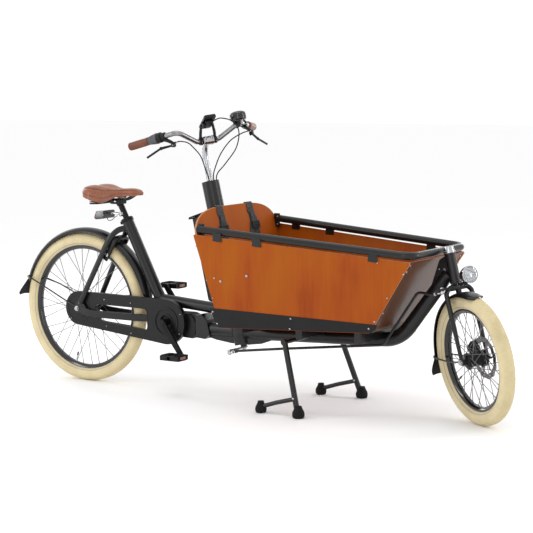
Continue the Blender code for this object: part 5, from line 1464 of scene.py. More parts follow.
@dataclass(frozen=True)
class FrameSizes:
    """The welded frame's tubes, in the bike's own frame."""

    seat_low: Point = (0.445, 0.0, 0.366)
    seat_top: Point = (0.25, 0.0, 0.740)
    seat_radius: float = 0.0255
    upper: tuple[Point, Point] = ((0.436, 0.0, 0.402), (0.803, 0.0, 0.3763))
    upper_radius: float = 0.0245
    main: tuple[Point, ...] = ((0.650, 0.0, 0.2895), (0.995, 0.0, 0.2905), (1.644, 0.0, 0.314),
                               (1.866, 0.0, 0.600))
    main_radius: float = 0.030
    column_radius: float = 0.0382
    column_bore: float = 0.0347
    column_low: float = -0.352
    column_top: float = 0.366
    head_radius: float = 0.0215
    head_low: float = 0.312
    head_top: float = 0.434
    axle_z: float = 0.3395


class BikeFrame:
    """The welded main frame, the stays, the seat clamp and the bright head cap."""

    def __init__(self, sizes: FrameSizes, copier: Copier) -> None:
        """Keeps the sizes and the tool for copies.

        Args:
            sizes: The sizes to build from.
            copier: Makes the copies.
        """
        self.sizes = sizes
        self.copier = copier
        self.low = Vector(sizes.seat_low)
        self.top = Vector(sizes.seat_top)
        self.along = (self.top - self.low).normalized()
        self.column = Matrix.Translation(COLUMN_FOOT) @ LEAN
        self.head = Matrix.Translation(FORK_FOOT) @ LEAN

    def build(self) -> None:
        """Builds everything welded or clamped to the main tube."""
        self.main_frame()
        self.stays()
        self.seat_clamp()
        self.head_cap()

    def main_frame(self) -> None:
        """Tubes, brackets and cross bars with their weld seams."""
        s = self.sizes
        form = Form(Look.FRAME)
        form.tube([self.low, self.low.lerp(self.top, 0.5), self.top], s.seat_radius, 36)
        form.tube([self.low - self.along * 0.004, self.low + self.along * 0.001], s.seat_radius + 0.0015,
                  36)
        form.tube(s.upper, s.upper_radius, 32)
        path = bent_path(s.main, 0.15, 12)
        radii = [s.main_radius] * (len(path) - 1) + [0.0235]
        path.insert(-1, path[-1].lerp(path[-2], 0.20))
        radii.insert(-1, 0.0285)
        form.tube(path, radii, 36)
        form.lathe([(s.column_bore, s.column_low), (s.column_radius - 0.001, s.column_low),
                    (s.column_radius, s.column_low + 0.001), (s.column_radius, s.column_top - 0.0012),
                    (s.column_radius - 0.0012, s.column_top), (s.column_bore + 0.0005, s.column_top),
                    (s.column_bore, s.column_top - 0.0008)], 56, Axis.Z, at=self.column)
        for z in (s.head_low, s.head_top - 0.008):
            form.lathe([(0.0128, z), (s.head_radius + 0.0016, z), (s.head_radius + 0.0016, z + 0.0075),
                        (s.head_radius, z + 0.008), (0.0128, z + 0.008)], 48, Axis.Z, at=self.head)
        form.lathe([(0.0128, s.head_low + 0.004), (s.head_radius, s.head_low + 0.004),
                    (s.head_radius, s.head_top - 0.004), (0.0128, s.head_top - 0.004)], 48, Axis.Z,
                   at=self.head)
        form.slab(band([(0.424, 0.306, 0.012), (0.440, 0.306, 0.012), (0.436, 0.392, 0.018)]), -0.026,
                  0.026, edge=0.003)
        form.slab(round_corners([(0.640, 0.250), (0.640, 0.350), (0.672, 0.356), (0.702, 0.330),
                                 (0.716, 0.268), (0.690, 0.246)], (0.010,) * 6), -0.036, 0.036, edge=0.005)
        form.slab([(0.660, 0.262), (0.735, 0.245), (0.815, 0.236), (0.905, 0.236), (0.970, 0.245),
                   (1.030, 0.266), (0.9, 0.29), (0.7, 0.29)], -0.016, 0.016, edge=0.004)
        form.slab([(1.790, 0.548), (1.826, 0.652), (1.850, 0.668), (1.876, 0.672), (1.896, 0.590),
                   (1.850, 0.545)],
                  -0.004, 0.004, edge=0.001, holes=[circle(0.0065, 20, 1.0, (1.849, 0.612))])
        for x, high in ((0.969, 0.3443), (1.264, 0.3540), (1.544, 0.3631)):
            form.block((x, -0.196, 0.316), (x + 0.032, 0.196, high), 0.003)
        welds = (
            (s.upper[1], (-0.4, 0, 0.028), s.upper_radius, self.low, self.along, s.seat_radius),
            (s.upper[0], (0.4, 0, -0.028), s.upper_radius, COLUMN_FOOT, LEAN @ UP, s.column_radius),
            ((0.70, 0, 0.2896), (1, 0, 0.003), s.main_radius, COLUMN_FOOT, LEAN @ UP, s.column_radius),
            ((0.99, 0, 0.2905), (-1, 0, -0.003), s.main_radius, COLUMN_FOOT, LEAN @ UP, s.column_radius),
        )
        for root, way, radius, big_root, big_way, big_radius in welds:
            form.weld(weld_path(root, way, radius, big_root, big_way, big_radius))
        main_way = (path[-1] - path[-3]).normalized()
        form.weld([path[-3] + (main_way * 0.002)
                   + (SIDEWAYS * math.cos(a) + main_way.cross(SIDEWAYS) * math.sin(a)) * 0.0292
                   for a in (2 * math.pi * i / 40 for i in range(40))], 0.0016)
        bolts = [((1.702, -0.0232, 0.380), (0, -1, 0.1), 4.5), ((1.826, -0.004, 0.615), (0, -1, 0), 3.0),
                 ((0.432, -0.026, 0.372), (0, -1, 0), 5.2), ((0.432, 0.026, 0.372), (0, 1, 0), 5.2)]
        self.copier.screws(form, bolts)
        form.done("main_frame_skin", "frame", "main_frame", slot="frame_paint")

    def stays(self) -> None:
        """Both rear stays, each with its dropout plate."""
        z = self.sizes.axle_z
        for which, name in ((-1, "right"), (1, "left")):
            form = Form(Look.FRAME)
            path = smooth_path(on_hand([(0.262, 0.012, 0.716), (0.215, 0.036, 0.700), (0.178, 0.054, 0.655),
                                        (0.130, 0.0605, 0.567), (0.075, 0.0662, 0.466),
                                        (0.020, 0.0715, 0.366)], which), 8)
            form.sweep(path, [(a * 0.0085, b * 0.0135) for a, b in circle(1.0, 28)])
            path = smooth_path(on_hand([(0.022, 0.0682, 0.336), (0.08, 0.0668, 0.322),
                                        (0.24, 0.0490, 0.317),
                                        (0.37, 0.0300, 0.316), (0.4102, 0.0195, 0.318)], which), 6)
            form.sweep(path, box_outline(0.0060, 0.0160, 0.004))
            low, high = sorted((which * 0.0645, which * 0.0705))
            form.slab(band([(0.0, z, 0.020), (0.016, z + 0.030, 0.013), (0.045, z - 0.004, 0.012)]), low,
                      high, edge=0.0012, holes=[circle(0.0053, 24, 1.0, (0, z)),
                                                circle(0.0026, 12, 1.0, (0.014, z + 0.028))])
            self.copier.screws(form, [((0.014, which * 0.0705, z + 0.028), (0, which, 0), 4.6)])
            form.done("rear_stay_" + name + "_skin", "frame", "rear_stay_" + name, slot="frame_paint")

    def seat_clamp(self) -> None:
        """The collar with its ears and bright bolt."""
        form = Form(Look.ALLOY)
        place = aim(self.top, self.along, (-1, 0, 0))
        form.lathe([(0.0140, 0.0003), (0.0283, 0.0003), (0.0288, 0.002), (0.0288, 0.0135), (0.0278, 0.0158),
                    (0.0140, 0.0160)], 56, Axis.Z, at=place)
        behind = Vector((-self.along.z, 0, self.along.x))
        for y in (-0.0062, 0.0062):
            ear = self.top + self.along * 0.0085 + behind * 0.0305 + SIDEWAYS * y
            form.lathe([(0, -0.0042), (0.0070, -0.0042), (0.0074, -0.0034), (0.0074, 0.0034),
                        (0.0070, 0.0042), (0, 0.0042)], 28, at=Matrix.Translation(ear))
        bolt = self.top + self.along * 0.0085 + behind * 0.031
        form.tube([bolt - SIDEWAYS * 0.0145, bolt + SIDEWAYS * 0.0190], 0.0025, 12, Vector((1, 0, 0)),
                  Look.STEEL)
        form.tube([bolt - SIDEWAYS * 0.0190, bolt - SIDEWAYS * 0.0145], 0.0042, 20, Vector((1, 0, 0)),
                  Look.STEEL)
        form.done("seat_clamp_skin", "frame", "seat_clamp", slot="dark_alloy")

    def head_cap(self) -> None:
        """The conical cap over the head tube."""
        form = Form(Look.POLISHED)
        low = self.sizes.head_top + 0.0003
        form.lathe([(0.0130, low), (0.0229, low), (0.0232, low + 0.001), (0.0232, low + 0.007),
                    (0.0226, low + 0.0082), (0.0218, low + 0.0086), (0.0206, low + 0.022),
                    (0.0190, low + 0.0262), (0.0120, low + 0.0268), (0.0062, low + 0.0262),
                    (0.0060, low + 0.014), (0.0130, low + 0.014)],
                   48, Axis.Z, at=self.head)
        form.done("head_cap_skin", "frame", "head_cap", slot="bright_alloy")


@dataclass(frozen=True)
class BoxSizes:
    """Outer corners of the right side panel and the boards' thickness."""

    top_rear: Point = (0.840, -0.315, 0.735)
    top_front: Point = (1.822, -0.232, 0.662)
    low_rear: Point = (0.928, -0.255, 0.343)
    low_front_x: float = 1.622
    low_front_z: float = 0.366
    board: float = 0.009
    floor: float = 0.012
    peak: float = 0.838
    bench: float = 0.520


class CargoBox:
    """The plywood box with its bench, rail and belts."""

    def __init__(self, sizes: BoxSizes, copier: Copier) -> None:
        """Works the side panel's plane out from its corners.

        Args:
            sizes: The sizes to build from.
            copier: Makes the copies.
        """
        self.sizes = sizes
        self.copier = copier
        a, b, c = Vector(sizes.top_rear), Vector(sizes.top_front), Vector(sizes.low_rear)
        normal = (b - a).cross(c - a).normalized()
        self.normal = normal if normal.y < 0 else -normal
        y = a.y - (self.normal.x * (sizes.low_front_x - a.x)
                   + self.normal.z * (sizes.low_front_z - a.z)) / self.normal.y
        self.corners = [a, b, Vector((sizes.low_front_x, y, sizes.low_front_z)), c]

    def back_x(self, z: float) -> float:
        """The back panel's slanted face."""
        s = self.sizes
        share = (z - s.low_rear[2]) / (s.top_rear[2] - s.low_rear[2])
        return s.low_rear[0] + (s.top_rear[0] - s.low_rear[0]) * share

    def front_x(self, z: float) -> float:
        """The front panel's slanted face."""
        s = self.sizes
        share = (z - s.low_front_z) / (s.top_front[2] - s.low_front_z)
        return s.low_front_x + (s.top_front[0] - s.low_front_x) * share

    def top_z(self, x: float) -> float:
        """Height of the side panels' top edge."""
        s = self.sizes
        share = (x - s.top_rear[0]) / (s.top_front[0] - s.top_rear[0])
        return s.top_rear[2] + (s.top_front[2] - s.top_rear[2]) * share

    def outer(self, x: float, z: float) -> float:
        """Sideways place of the right panel's outer face."""
        a = self.corners[0]
        return a.y - (self.normal.x * (x - a.x) + self.normal.z * (z - a.z)) / self.normal.y

    def inner_half(self, x: float, z: float) -> float:
        """Half width between the side panels."""
        return -self.outer(x, z) - self.sizes.board / abs(self.normal.y) - 0.0003

    def on_side(self, which: int, x: float, z: float) -> Vector:
        """A point on a side panel's outer face."""
        return Vector((x, self.outer(x, z) * -which, z))

    def side_place(self, which: int) -> Matrix:
        """A side panel's own frame: X along its top, Z up in the board, Y outwards or inwards.

        Args:
            which: -1 for the right side, 1 for the left.

        Returns:
            The panel's frame.
        """
        a, b = self.corners[0].copy(), self.corners[1].copy()
        normal = self.normal.copy()
        if which > 0:
            for v in (a, b, normal):
                v.y = -v.y
        x = (b - a).normalized()
        y = normal if which > 0 else -normal
        matrix = Matrix((x, y, x.cross(y))).transposed().to_4x4()
        matrix.translation = a
        return matrix

    def build(self) -> None:
        """Builds the boards, the rail and the belts."""
        for which, name in ((-1, "right"), (1, "left")):
            self.side_panel(which, name)
        self.back()
        self.front()
        self.floor()
        self.bench()
        self.rail()
        for which, name in ((-1, "right"), (1, "left")):
            self.belt(which, name)

    def side_panel(self, which: int, name: str) -> None:
        """One side panel with its bolts and kick strip.

        Args:
            which: -1 for the right side, 1 for the left.
            name: The CAD node's name.
        """
        place = self.side_place(which)
        inverse = place.inverted()
        flat = []
        for corner in self.corners:
            spot = inverse @ Vector((corner.x, corner.y * -which, corner.z))
            flat.append((spot.x, spot.z))
        outline = round_corners(flat, (0.004, 0.006, 0.012, 0.004))
        low, high = (-self.sizes.board, 0.0) if which > 0 else (0.0, self.sizes.board)
        form = Form(Look.WOOD, BIKE)
        form.slab(outline, low, high, edge=0.0012, at=place, rim_look=Look.PLY)
        out = -1.0 if which < 0 else 1.0
        spots = ((0.924, 0.556, 3.8), (0.953, 0.544, 6.0), (1.080, 0.573, 6.0), (0.851, 0.687, 3.6),
                 (0.885, 0.545, 2.4), (1.679, 0.658, 4.4), (1.788, 0.615, 3.6), (1.711, 0.516, 3.6),
                 (1.648, 0.417, 4.2), (0.905, 0.470, 2.6))
        strip = [(0.886, 0.427), (1.660, 0.4035), (1.650, 0.3830), (1.626, 0.3680), (0.9275, 0.3445),
                 (0.914, 0.352)]
        strip_flat = [(p.x, p.z) for p in (inverse @ self.on_side(which, x, z) for x, z in strip)]
        low, high = sorted((-0.0002 * out, 0.0016 * out))
        form.slab(round_corners(strip_flat, (0.002,) * 6), low, high, edge=0.0005, at=place,
                  look=Look.PLASTIC)
        bolts = [(self.on_side(which, x, z) + self.outward(which) * 0.0004, self.outward(which), size)
                 for x, z, size in spots]
        bolts += [(self.on_side(which, x, z) + self.outward(which) * 0.0019, self.outward(which), 4.2)
                  for x, z in ((0.902, 0.412), (0.918, 0.362), (1.262, 0.3620), (1.270, 0.4050),
                               (1.621, 0.387))]
        self.copier.screws(form, bolts)
        form.done("box_side_" + name + "_skin", "frame", "box_side_" + name, slot="stained_wood")

    def outward(self, which: int) -> Vector:
        """A side panel's outward direction."""
        return Vector((self.normal.x, self.normal.y * -which, self.normal.z))

    def cross_board(self, form: Form, points: Sequence[tuple[float, float]], face: Callable[[float], float],
                    low: float, high: float) -> None:
        """A board across the bike from (half width, height) points, slanted by its face.

        Args:
            form: The form that takes the shape.
            points: Half width and height of each corner.
            face: Gives the board's X at a height.
            low: The back of the board, from its face.
            high: The front of the board, from its face.
        """
        outline = [(y, z) for y, z in points] + [(-y, z) for y, z in reversed(points)]

        def shift(p: Vector) -> Vector:
            """Moves a point onto the slanted board."""
            return Vector((face(p.z) + p.x, p.y, p.z))

        form.slab(outline, low, high, Axis.X, edge=0.0012, rim_look=Look.PLY, shift=shift)

    def back(self) -> None:
        """The back panel with its high, round-shouldered middle."""
        s = self.sizes
        top = s.top_rear[2]
        low = s.low_rear[2] + s.floor + 0.0025
        points = [(self.inner_half(self.back_x(low) + 0.012, low), low)]
        wide = self.inner_half(self.back_x(top) + 0.012, top)
        for i in range(25):
            share = math.cos(math.pi / 2 * i / 24)
            points.append((wide * share + 0.0001, top + (s.peak - top) * (1 - share ** 4.0) ** 0.55))
        form = Form(Look.WOOD)
        self.cross_board(form, points, self.back_x, 0.003, 0.012)
        self.copier.screws(form, [((self.back_x(z) + 0.0032, y, z), (-1, 0, -0.22), 5.0) for y,
                                  z in ((-0.20, 0.60), (0.20, 0.60), (-0.18, 0.45), (0.18, 0.45),
                                        (0.20, 0.74))])
        form.done("box_back_skin", "frame", "box_back", slot="stained_wood")

    def front(self) -> None:
        """The slanted front panel, in the darker wood of painted shade."""
        s = self.sizes
        low = s.low_front_z + s.floor + 0.0017
        top = s.top_front[2]
        points = [(self.inner_half(self.front_x(z) - 0.004, z), z) for z in (low, top)]
        form = Form(Look.SHADE_WOOD)
        self.cross_board(form, points, self.front_x, -0.013, -0.004)
        self.copier.screws(form, [((self.front_x(z) - 0.0042,
                                    which * (self.inner_half(self.front_x(z), z) - 0.013), z),
                                   (1, 0, -0.67), 4.5) for which in (-1, 1) for z in (0.648, 0.622, 0.45)])
        form.done("box_front_skin", "frame", "box_front", slot="stained_wood")

    def floor_z(self, x: float) -> float:
        """Height of the floor board's underside."""
        s = self.sizes
        share = (x - s.low_rear[0]) / (s.low_front_x - s.low_rear[0])
        return s.low_rear[2] + (s.low_front_z - s.low_rear[2]) * share

    def floor(self) -> None:
        """The floor board, whose bare ply edge shows under the side panels, painted darker as shade."""
        s = self.sizes
        ends = (s.low_rear[0] + 0.004, s.low_front_x - 0.004)
        outline = [(x, self.inner_half(x, self.floor_z(x))) for x in ends]
        outline = outline + [(x, -y) for x, y in reversed(outline)]
        form = Form(Look.WOOD)

        def shift(p: Vector) -> Vector:
            """Lifts a point onto the sloping floor."""
            return Vector((p.x, p.y, p.z + self.floor_z(p.x)))

        form.slab(outline, 0.0, s.floor, Axis.Z, edge=0.001, rim_look=Look.BARE_PLY, shift=shift)
        form.done("box_floor_skin", "frame", "box_floor", slot="stained_wood")

    def bench(self) -> None:
        """The seat board across the rear of the box."""
        z = self.sizes.bench
        rear = self.back_x(z) + 0.0140
        front = rear + 0.225
        half_rear = self.inner_half(rear, z) - 0.0005
        half_front = self.inner_half(front, z) - 0.0005
        outline = round_corners([(rear, -half_rear), (front, -half_front), (front, half_front),
                                 (rear, half_rear)],
                                (0.002, 0.010, 0.010, 0.002))
        form = Form(Look.WOOD)
        form.slab(outline, z, z + 0.012, Axis.Z, edge=0.002, rim_look=Look.PLY)
        form.done("bench_board_skin", "frame", "bench_board", slot="stained_wood")

    def rail(self) -> None:
        """The rail round three sides on its low brackets."""
        def rail_z(x: float) -> float:
            """The rail's height at an X."""
            return self.top_z(x) + 0.023

        def rail_y(x: float) -> float:
            """The rail's distance from the middle at an X."""
            return 0.299 - 0.077 * (x - 0.840) / 0.982

        rear = self.back_x(rail_z(0.85) - 0.0155) + 0.018
        front = 1.8215
        path = bent_path([(rear, -rail_y(rear), rail_z(rear)),
                          (front, -rail_y(front) - 0.002, rail_z(front)),
                          (front, rail_y(front) + 0.002, rail_z(front)),
                          (rear, rail_y(rear), rail_z(rear))],
                         0.055, 14)
        form = Form(Look.FRAME)
        form.tube(path, 0.0155, 28, UP)
        for which in (-1, 1):
            end = Vector((rear, which * rail_y(rear), rail_z(rear)))
            form.lathe([(0, -0.004), (0.0140, -0.004), (0.0160, -0.001), (0.0160, 0.004), (0, 0.004)], 28,
                       Axis.X, Look.PLASTIC, at=Matrix.Translation(end))
            for x in (0.955, 1.140, 1.660):
                y = which * (-self.outer(x, self.top_z(x)) - 0.0052)
                form.slab([(x - 0.022, self.top_z(x - 0.022) - 0.016),
                           (x + 0.022, self.top_z(x + 0.022) - 0.016), (x + 0.020, rail_z(x) - 0.004),
                           (x - 0.020, rail_z(x) - 0.004)], y - 0.0075, y - 0.0045,
                          edge=0.001)
                form.slab([(x - 0.018, self.top_z(x - 0.018) + 0.0004),
                           (x + 0.018, self.top_z(x + 0.018) + 0.0004), (x + 0.014, rail_z(x) - 0.004),
                           (x - 0.014, rail_z(x) - 0.004)], y - 0.003, y + 0.003,
                          edge=0.001)
            plate = Vector((0.862, which * (rail_y(0.862) - 0.012), 0.750))
            form.block(plate - Vector((0.015, 0.0025, 0.032)), plate + Vector((0.015, 0.0025, 0.030)),
                       0.002)
            self.copier.screws(form, [(plate + Vector((0.004, which * -0.0024, z)), (0, -which, 0),
                                       4.4) for z in (-0.018, 0.016)])
        form.done("box_rail_skin", "frame", "box_rail", slot="frame_paint")

    def belt(self, which: int, name: str) -> None:
        """A crumpled webbing belt over the back panel, with its adjuster.

        Args:
            which: -1 for the right side, 1 for the left.
            name: The CAD node's name.
        """
        face = 0.0123
        middle = which * 0.115
        form = Form(Look.STRAP)
        for shift, lift, phase in ((0.0, 0.0012, 0.0), (0.010, 0.0042, 1.7)):
            path = []
            sides = []
            for i in range(41):
                t = i / 40
                z = 0.540 + (0.803 - 0.540) * t
                ripple = 0.0035 * math.sin(7.5 * t * math.pi / 1.5 + phase) * (1 - t) * (0.25 + t)
                spread = (shift * 2.4 - 0.012) * (1 - t) ** 0.6
                y = middle * (1.15 - 0.18 * t) + spread + 0.007 * math.sin(7 * t + phase)
                path.append((self.back_x(z) + face + lift + abs(ripple) * 1.4, y, z))
                twist = 0.75 * math.sin(9.0 * t + phase) * (1 - t) ** 0.5
                sides.append(Vector((math.sin(twist) * 0.6, math.cos(twist), 0.0)))
            rings = []
            for i, p in enumerate(path):
                before = Vector(path[max(i - 1, 0)])
                after = Vector(path[min(i + 1, 40)])
                along = (after - before).normalized()
                across = (sides[i] - along * sides[i].dot(along)).normalized()
                up = across.cross(along)
                width = 0.0235 * (1.0 - 0.22 * math.sin(math.pi * i / 40 * 3 + phase) ** 2)
                rings.append([Vector(p) + across * a + up * b for a, b in
                              ((-width, 0.0), (-width * 0.5, 0.0007), (0.0, 0.0003), (width * 0.5, 0.0008),
                               (width, 0.0), (width, -0.0012), (0.0, -0.0010), (-width, -0.0012))])
            form.loft(rings)
        top = self.sizes.peak
        over = [(self.back_x(0.800) + face + 0.002, middle * 0.97, 0.800),
                (self.back_x(top) + face + 0.0015, middle * 0.97, top - 0.003),
                (self.back_x(top) + 0.0075, middle * 0.97, top + 0.0030),
                (self.back_x(top) + 0.0015, middle * 0.97, top - 0.003),
                (self.back_x(0.79) + 0.0012, middle * 0.97, 0.790)]
        form.sweep(smooth_path(over, 6), box_outline(0.0232, 0.0010, 0.0004, 2))
        self.buckle(form, middle * 1.02 + 0.006, 0.745, face + 0.010)
        self.buckle(form, middle * 1.06 - 0.012, 0.690, face + 0.012)
        form.done("belt_" + name + "_skin", "frame", "belt_" + name, slot="black_webbing")

    def buckle(self, form: Form, y: float, z: float, off: float) -> None:
        """A ladder adjuster of moulded plastic on a belt.

        Args:
            form: The form that takes the shape.
            y: Its middle across the bike.
            z: Its height.
            off: Its distance from the panel.
        """
        x = self.back_x(z) + off
        outline = box_outline(0.0275, 0.0150, 0.004)
        slots = [[(a * 0.80, b * 0.20 + c) for a,
                  b in box_outline(0.0235, 0.0140, 0.004)] for c in (-0.0065, 0.0065)]
        form.slab(outline, -0.0018, 0.0018, Axis.X, Look.PLASTIC, 0.0008, slots,
                  Matrix.Translation((x, y, z)) @ Matrix.Rotation(math.radians(-12), 4, "Y"))


def round_corners(points: Sequence[tuple[float, float]], radii: Sequence[float],
                  steps: int = 5) -> list[tuple[float, float]]:
    """A flat outline with each corner turned into an arc.

    Args:
        points: The corners, in order.
        radii: One radius for each corner.
        steps: How many steps each arc has.

    Returns:
        The outline's points.
    """
    out = []
    count = len(points)
    for i in range(count):
        p = Vector(points[i])
        a = (Vector(points[i - 1]) - p).normalized()
        b = (Vector(points[(i + 1) % count]) - p).normalized()
        half = a.angle(b) / 2
        reach = radii[i] / math.tan(half)
        centre = p + (a + b).normalized() * (radii[i] / math.sin(half))
        start = p + a * reach - centre
        end = p + b * reach - centre
        turn = start.angle(end)
        for k in range(steps + 1):
            first = math.sin((1 - k / steps) * turn)
            second = math.sin(k / steps * turn)
            out.append(tuple(centre + (start * first + end * second) / math.sin(turn)))
    return out


@dataclass(frozen=True)
class SaddleSizes:
    """Stations along the saddle: X, half width, foot of the skirt, underside, crown."""

    stations: tuple[tuple[float, float, float, float, float], ...] = (
        (0.034, 0.028, 0.872, 0.872, 0.882), (0.043, 0.064, 0.862, 0.868, 0.894),
        (0.066, 0.091, 0.852, 0.866, 0.904), (0.100, 0.102, 0.843, 0.864, 0.908),
        (0.135, 0.098, 0.833, 0.862, 0.905), (0.165, 0.082, 0.828, 0.862, 0.898),
        (0.195, 0.058, 0.841, 0.865, 0.892), (0.225, 0.041, 0.855, 0.867, 0.890),
        (0.265, 0.033, 0.857, 0.867, 0.892), (0.300, 0.028, 0.858, 0.866, 0.891),
        (0.322, 0.020, 0.861, 0.866, 0.885), (0.334, 0.008, 0.866, 0.868, 0.877))
    channel: float = 0.015


class Saddle:
    """The padded saddle on its rails and springs, the seat post and the rear light."""

    def __init__(self, sizes: SaddleSizes, frame_sizes: FrameSizes, copier: Copier) -> None:
        """Keeps the sizes and works the seat tube's line out.

        Args:
            sizes: The sizes to build from.
            frame_sizes: The frame's sizes.
            copier: Makes the copies.
        """
        self.sizes = sizes
        self.copier = copier
        low = Vector(frame_sizes.seat_low)
        self.top = Vector(frame_sizes.seat_top)
        self.along = (self.top - low).normalized()

    def build(self) -> None:
        """Builds the post, the base, the cover and the light."""
        self.post()
        self.base()
        self.cover()
        self.light()

    def post(self) -> None:
        """The seat post."""
        form = Form(Look.ALLOY)
        head = self.top + self.along * 0.084
        form.tube([self.top - self.along * 0.20, self.top, head - self.along * 0.001, head], 0.0136, 32)
        form.done("seat_post_skin", "seat", "seat_post", slot="frame_paint")

    def section_at(self, x: float) -> list[float]:
        """The saddle's half width, skirt, underside and crown at one X.

        Args:
            x: Place along the saddle.

        Returns:
            The four sizes.
        """
        stations = self.sizes.stations
        spots = [Vector((s[1], s[2], s[4])) for s in stations]
        unders = [s[3] for s in stations]
        k = max(i for i in range(len(stations) - 1) if stations[i][0] <= x + 1e-9)
        t = (x - stations[k][0]) / (stations[k + 1][0] - stations[k][0])
        p0 = spots[max(k - 1, 0)]
        p1 = spots[k]
        p2 = spots[k + 1]
        p3 = spots[min(k + 2, len(spots) - 1)]
        mid = 0.5 * (2 * p1 + (p2 - p0) * t + (2 * p0 - 5 * p1 + 4 * p2 - p3) * t * t
                     + (3 * p1 - p0 - 3 * p2 + p3) * t ** 3)
        return [mid.x, mid.y, unders[k] + (unders[k + 1] - unders[k]) * t, mid.z]

    def skin_point(self, x: float, share: float) -> Vector:
        """A point of the cover: share goes from -1 at the right skirt over 0 in the middle to 1.

        Args:
            x: Place along the saddle.
            share: Place across it, from -1 to 1.

        Returns:
            The point.
        """
        half, skirt, _, crown = self.section_at(x)
        s = abs(share)
        angle = s * math.pi / 2
        y = half * math.sin(angle)
        z = skirt + (crown - skirt) * math.cos(angle) ** 0.50
        centre = math.exp(-(y / (0.26 * half + 0.003)) ** 2) * self.sizes.channel
        fade = max(0.12, min(1.0, (0.245 - x) / 0.10)) * max(0.0, min(1.0, (0.334 - x) / 0.03))
        wave = 0.0007 * math.sin(x * 95.0 + share * 6.0) * (1 - s)
        wave += 0.0005 * math.sin(x * 210.0 - share * 11.0) * s
        return Vector((x, math.copysign(y, share), z - centre * fade + wave * 0.6))

    def cover(self) -> None:
        """The leather cover with its centre channel, seams, piping and stitches."""
        form = Form(Look.LEATHER)
        first, last = self.sizes.stations[0][0], self.sizes.stations[-1][0]
        shares = [i / 16 - 1 for i in range(33)]
        rings = []
        for i in range(73):
            x = first + (last - first) * (0.5 - 0.5 * math.cos(math.pi * i / 72))
            half, skirt, under, _ = self.section_at(x)
            ring = [self.skin_point(x, s) for s in shares]
            ring += [Vector((x, half * 0.90, skirt - 0.0004)), Vector((x, half * 0.80, under)),
                     Vector((x, 0.0, under)), Vector((x, -half * 0.80, under)),
                     Vector((x, -half * 0.90, skirt - 0.0004))]
            rings.append(ring)
        form.loft(rings)
        stitch = loose(Look.THREAD)
        stitch.tube([(-0.0020, 0, 0), (-0.0012, 0, 0.0006), (0.0012, 0, 0.0006), (0.0020, 0, 0)],
                    [0.0003, 0.00045, 0.00045, 0.0003], 6)
        for which in (-1, 1):
            for share, low, high in ((0.62, 0.050, 0.318), (0.95, 0.044, 0.322)):
                steps = [low + (high - low) * i / 60 for i in range(61)]
                seam = [self.skin_point(x, which * share) for x in steps]
                lifted = [p + Vector((0, which * 0.0002, 0.0003)) for p in seam]
                form.tube(seam, [0.0002] + [0.0008] * (len(seam) - 2) + [0.0002], 8)
                if share < 0.9:
                    for gap in (-0.022, 0.022):
                        line = [self.skin_point(x, which * (share + gap)) + Vector((0, 0,
                                                                                    0.0002)) for x in steps]
                        form.take(self.copier.along(stitch, line, 74), Look.THREAD)
                else:
                    line = [p + Vector((0, 0, 0.0022)) for p in lifted]
                    form.take(self.copier.along(stitch, line, 80, (0, which, 0.3)), Look.THREAD)
        piece = form.done("saddle_cover_skin", "seat", "saddle_cover", slot="brown_leather")

    def base(self) -> None:
        """The shell under the cover, rails, clamp, bridge and coil springs."""
        form = Form(Look.PLASTIC)
        head = self.top + self.along * 0.084
        rings = []
        for x, w, z in ((0.030, 0.050, 0.8605), (0.045, 0.066, 0.8600), (0.075, 0.080, 0.8600),
                        (0.12, 0.078, 0.8600), (0.165, 0.055, 0.8610), (0.21, 0.032, 0.8625),
                        (0.27, 0.018, 0.8635), (0.310, 0.012, 0.8640)):
            rings.append([(x, w * a, z + 0.0045 * b) for a,
                          b in ((-1, 0.2), (-0.9, 0), (0.9, 0), (1, 0.2), (1, 1), (-1, 1))])
        form.loft(rings)
        form.lathe([(0, 0.0003), (0.0158, 0.0003), (0.0175, 0.002), (0.0175, 0.016), (0.016, 0.018),
                    (0, 0.018)], 32,
                   Axis.Z, Look.ALLOY, aim(head, self.along))
        for which in (-1, 1):
            rail = on_hand([(0.072, 0.048, 0.8440), (0.085, 0.045, 0.848), (0.130, 0.030, 0.836),
                            (0.19, 0.019, 0.832),
                            (0.245, 0.018, 0.840), (0.290, 0.011, 0.8600), (0.300, 0.010, 0.8645)], which)
            form.tube(smooth_path(rail, 8), 0.0042, 16)
            centre = Vector((0.104, which * 0.060, -0.004))
            coil = []
            for i in range(4 * 20 + 1):
                a = 2 * math.pi * i / 20
                coil.append(centre + Vector((0.0175 * math.cos(a), 0.0175 * math.sin(a),
                                             0.8280 + 0.0300 * i / 80)))
            form.tube(coil, 0.0026, 10, UP, Look.ALLOY)
            form.tube([centre + UP * 0.8225, centre + UP * 0.8275], 0.0200, 28, look=Look.ALLOY)
            form.tube([centre + UP * 0.8590, centre + UP * 0.8625], 0.0165, 28, look=Look.ALLOY)
        form.block((0.168, -0.025, 0.818), (0.226, 0.025, 0.842), 0.006, Look.ALLOY)
        form.tube([(0.200, -0.028, 0.831), (0.200, 0.028, 0.831)], 0.0042, 16, Vector((1, 0, 0)),
                  Look.STEEL)
        form.block((0.090, -0.062, 0.8175), (0.126, 0.062, 0.8235), 0.002, Look.ALLOY)
        form.done("saddle_base_skin", "seat", "saddle_base", slot="black_plastic")

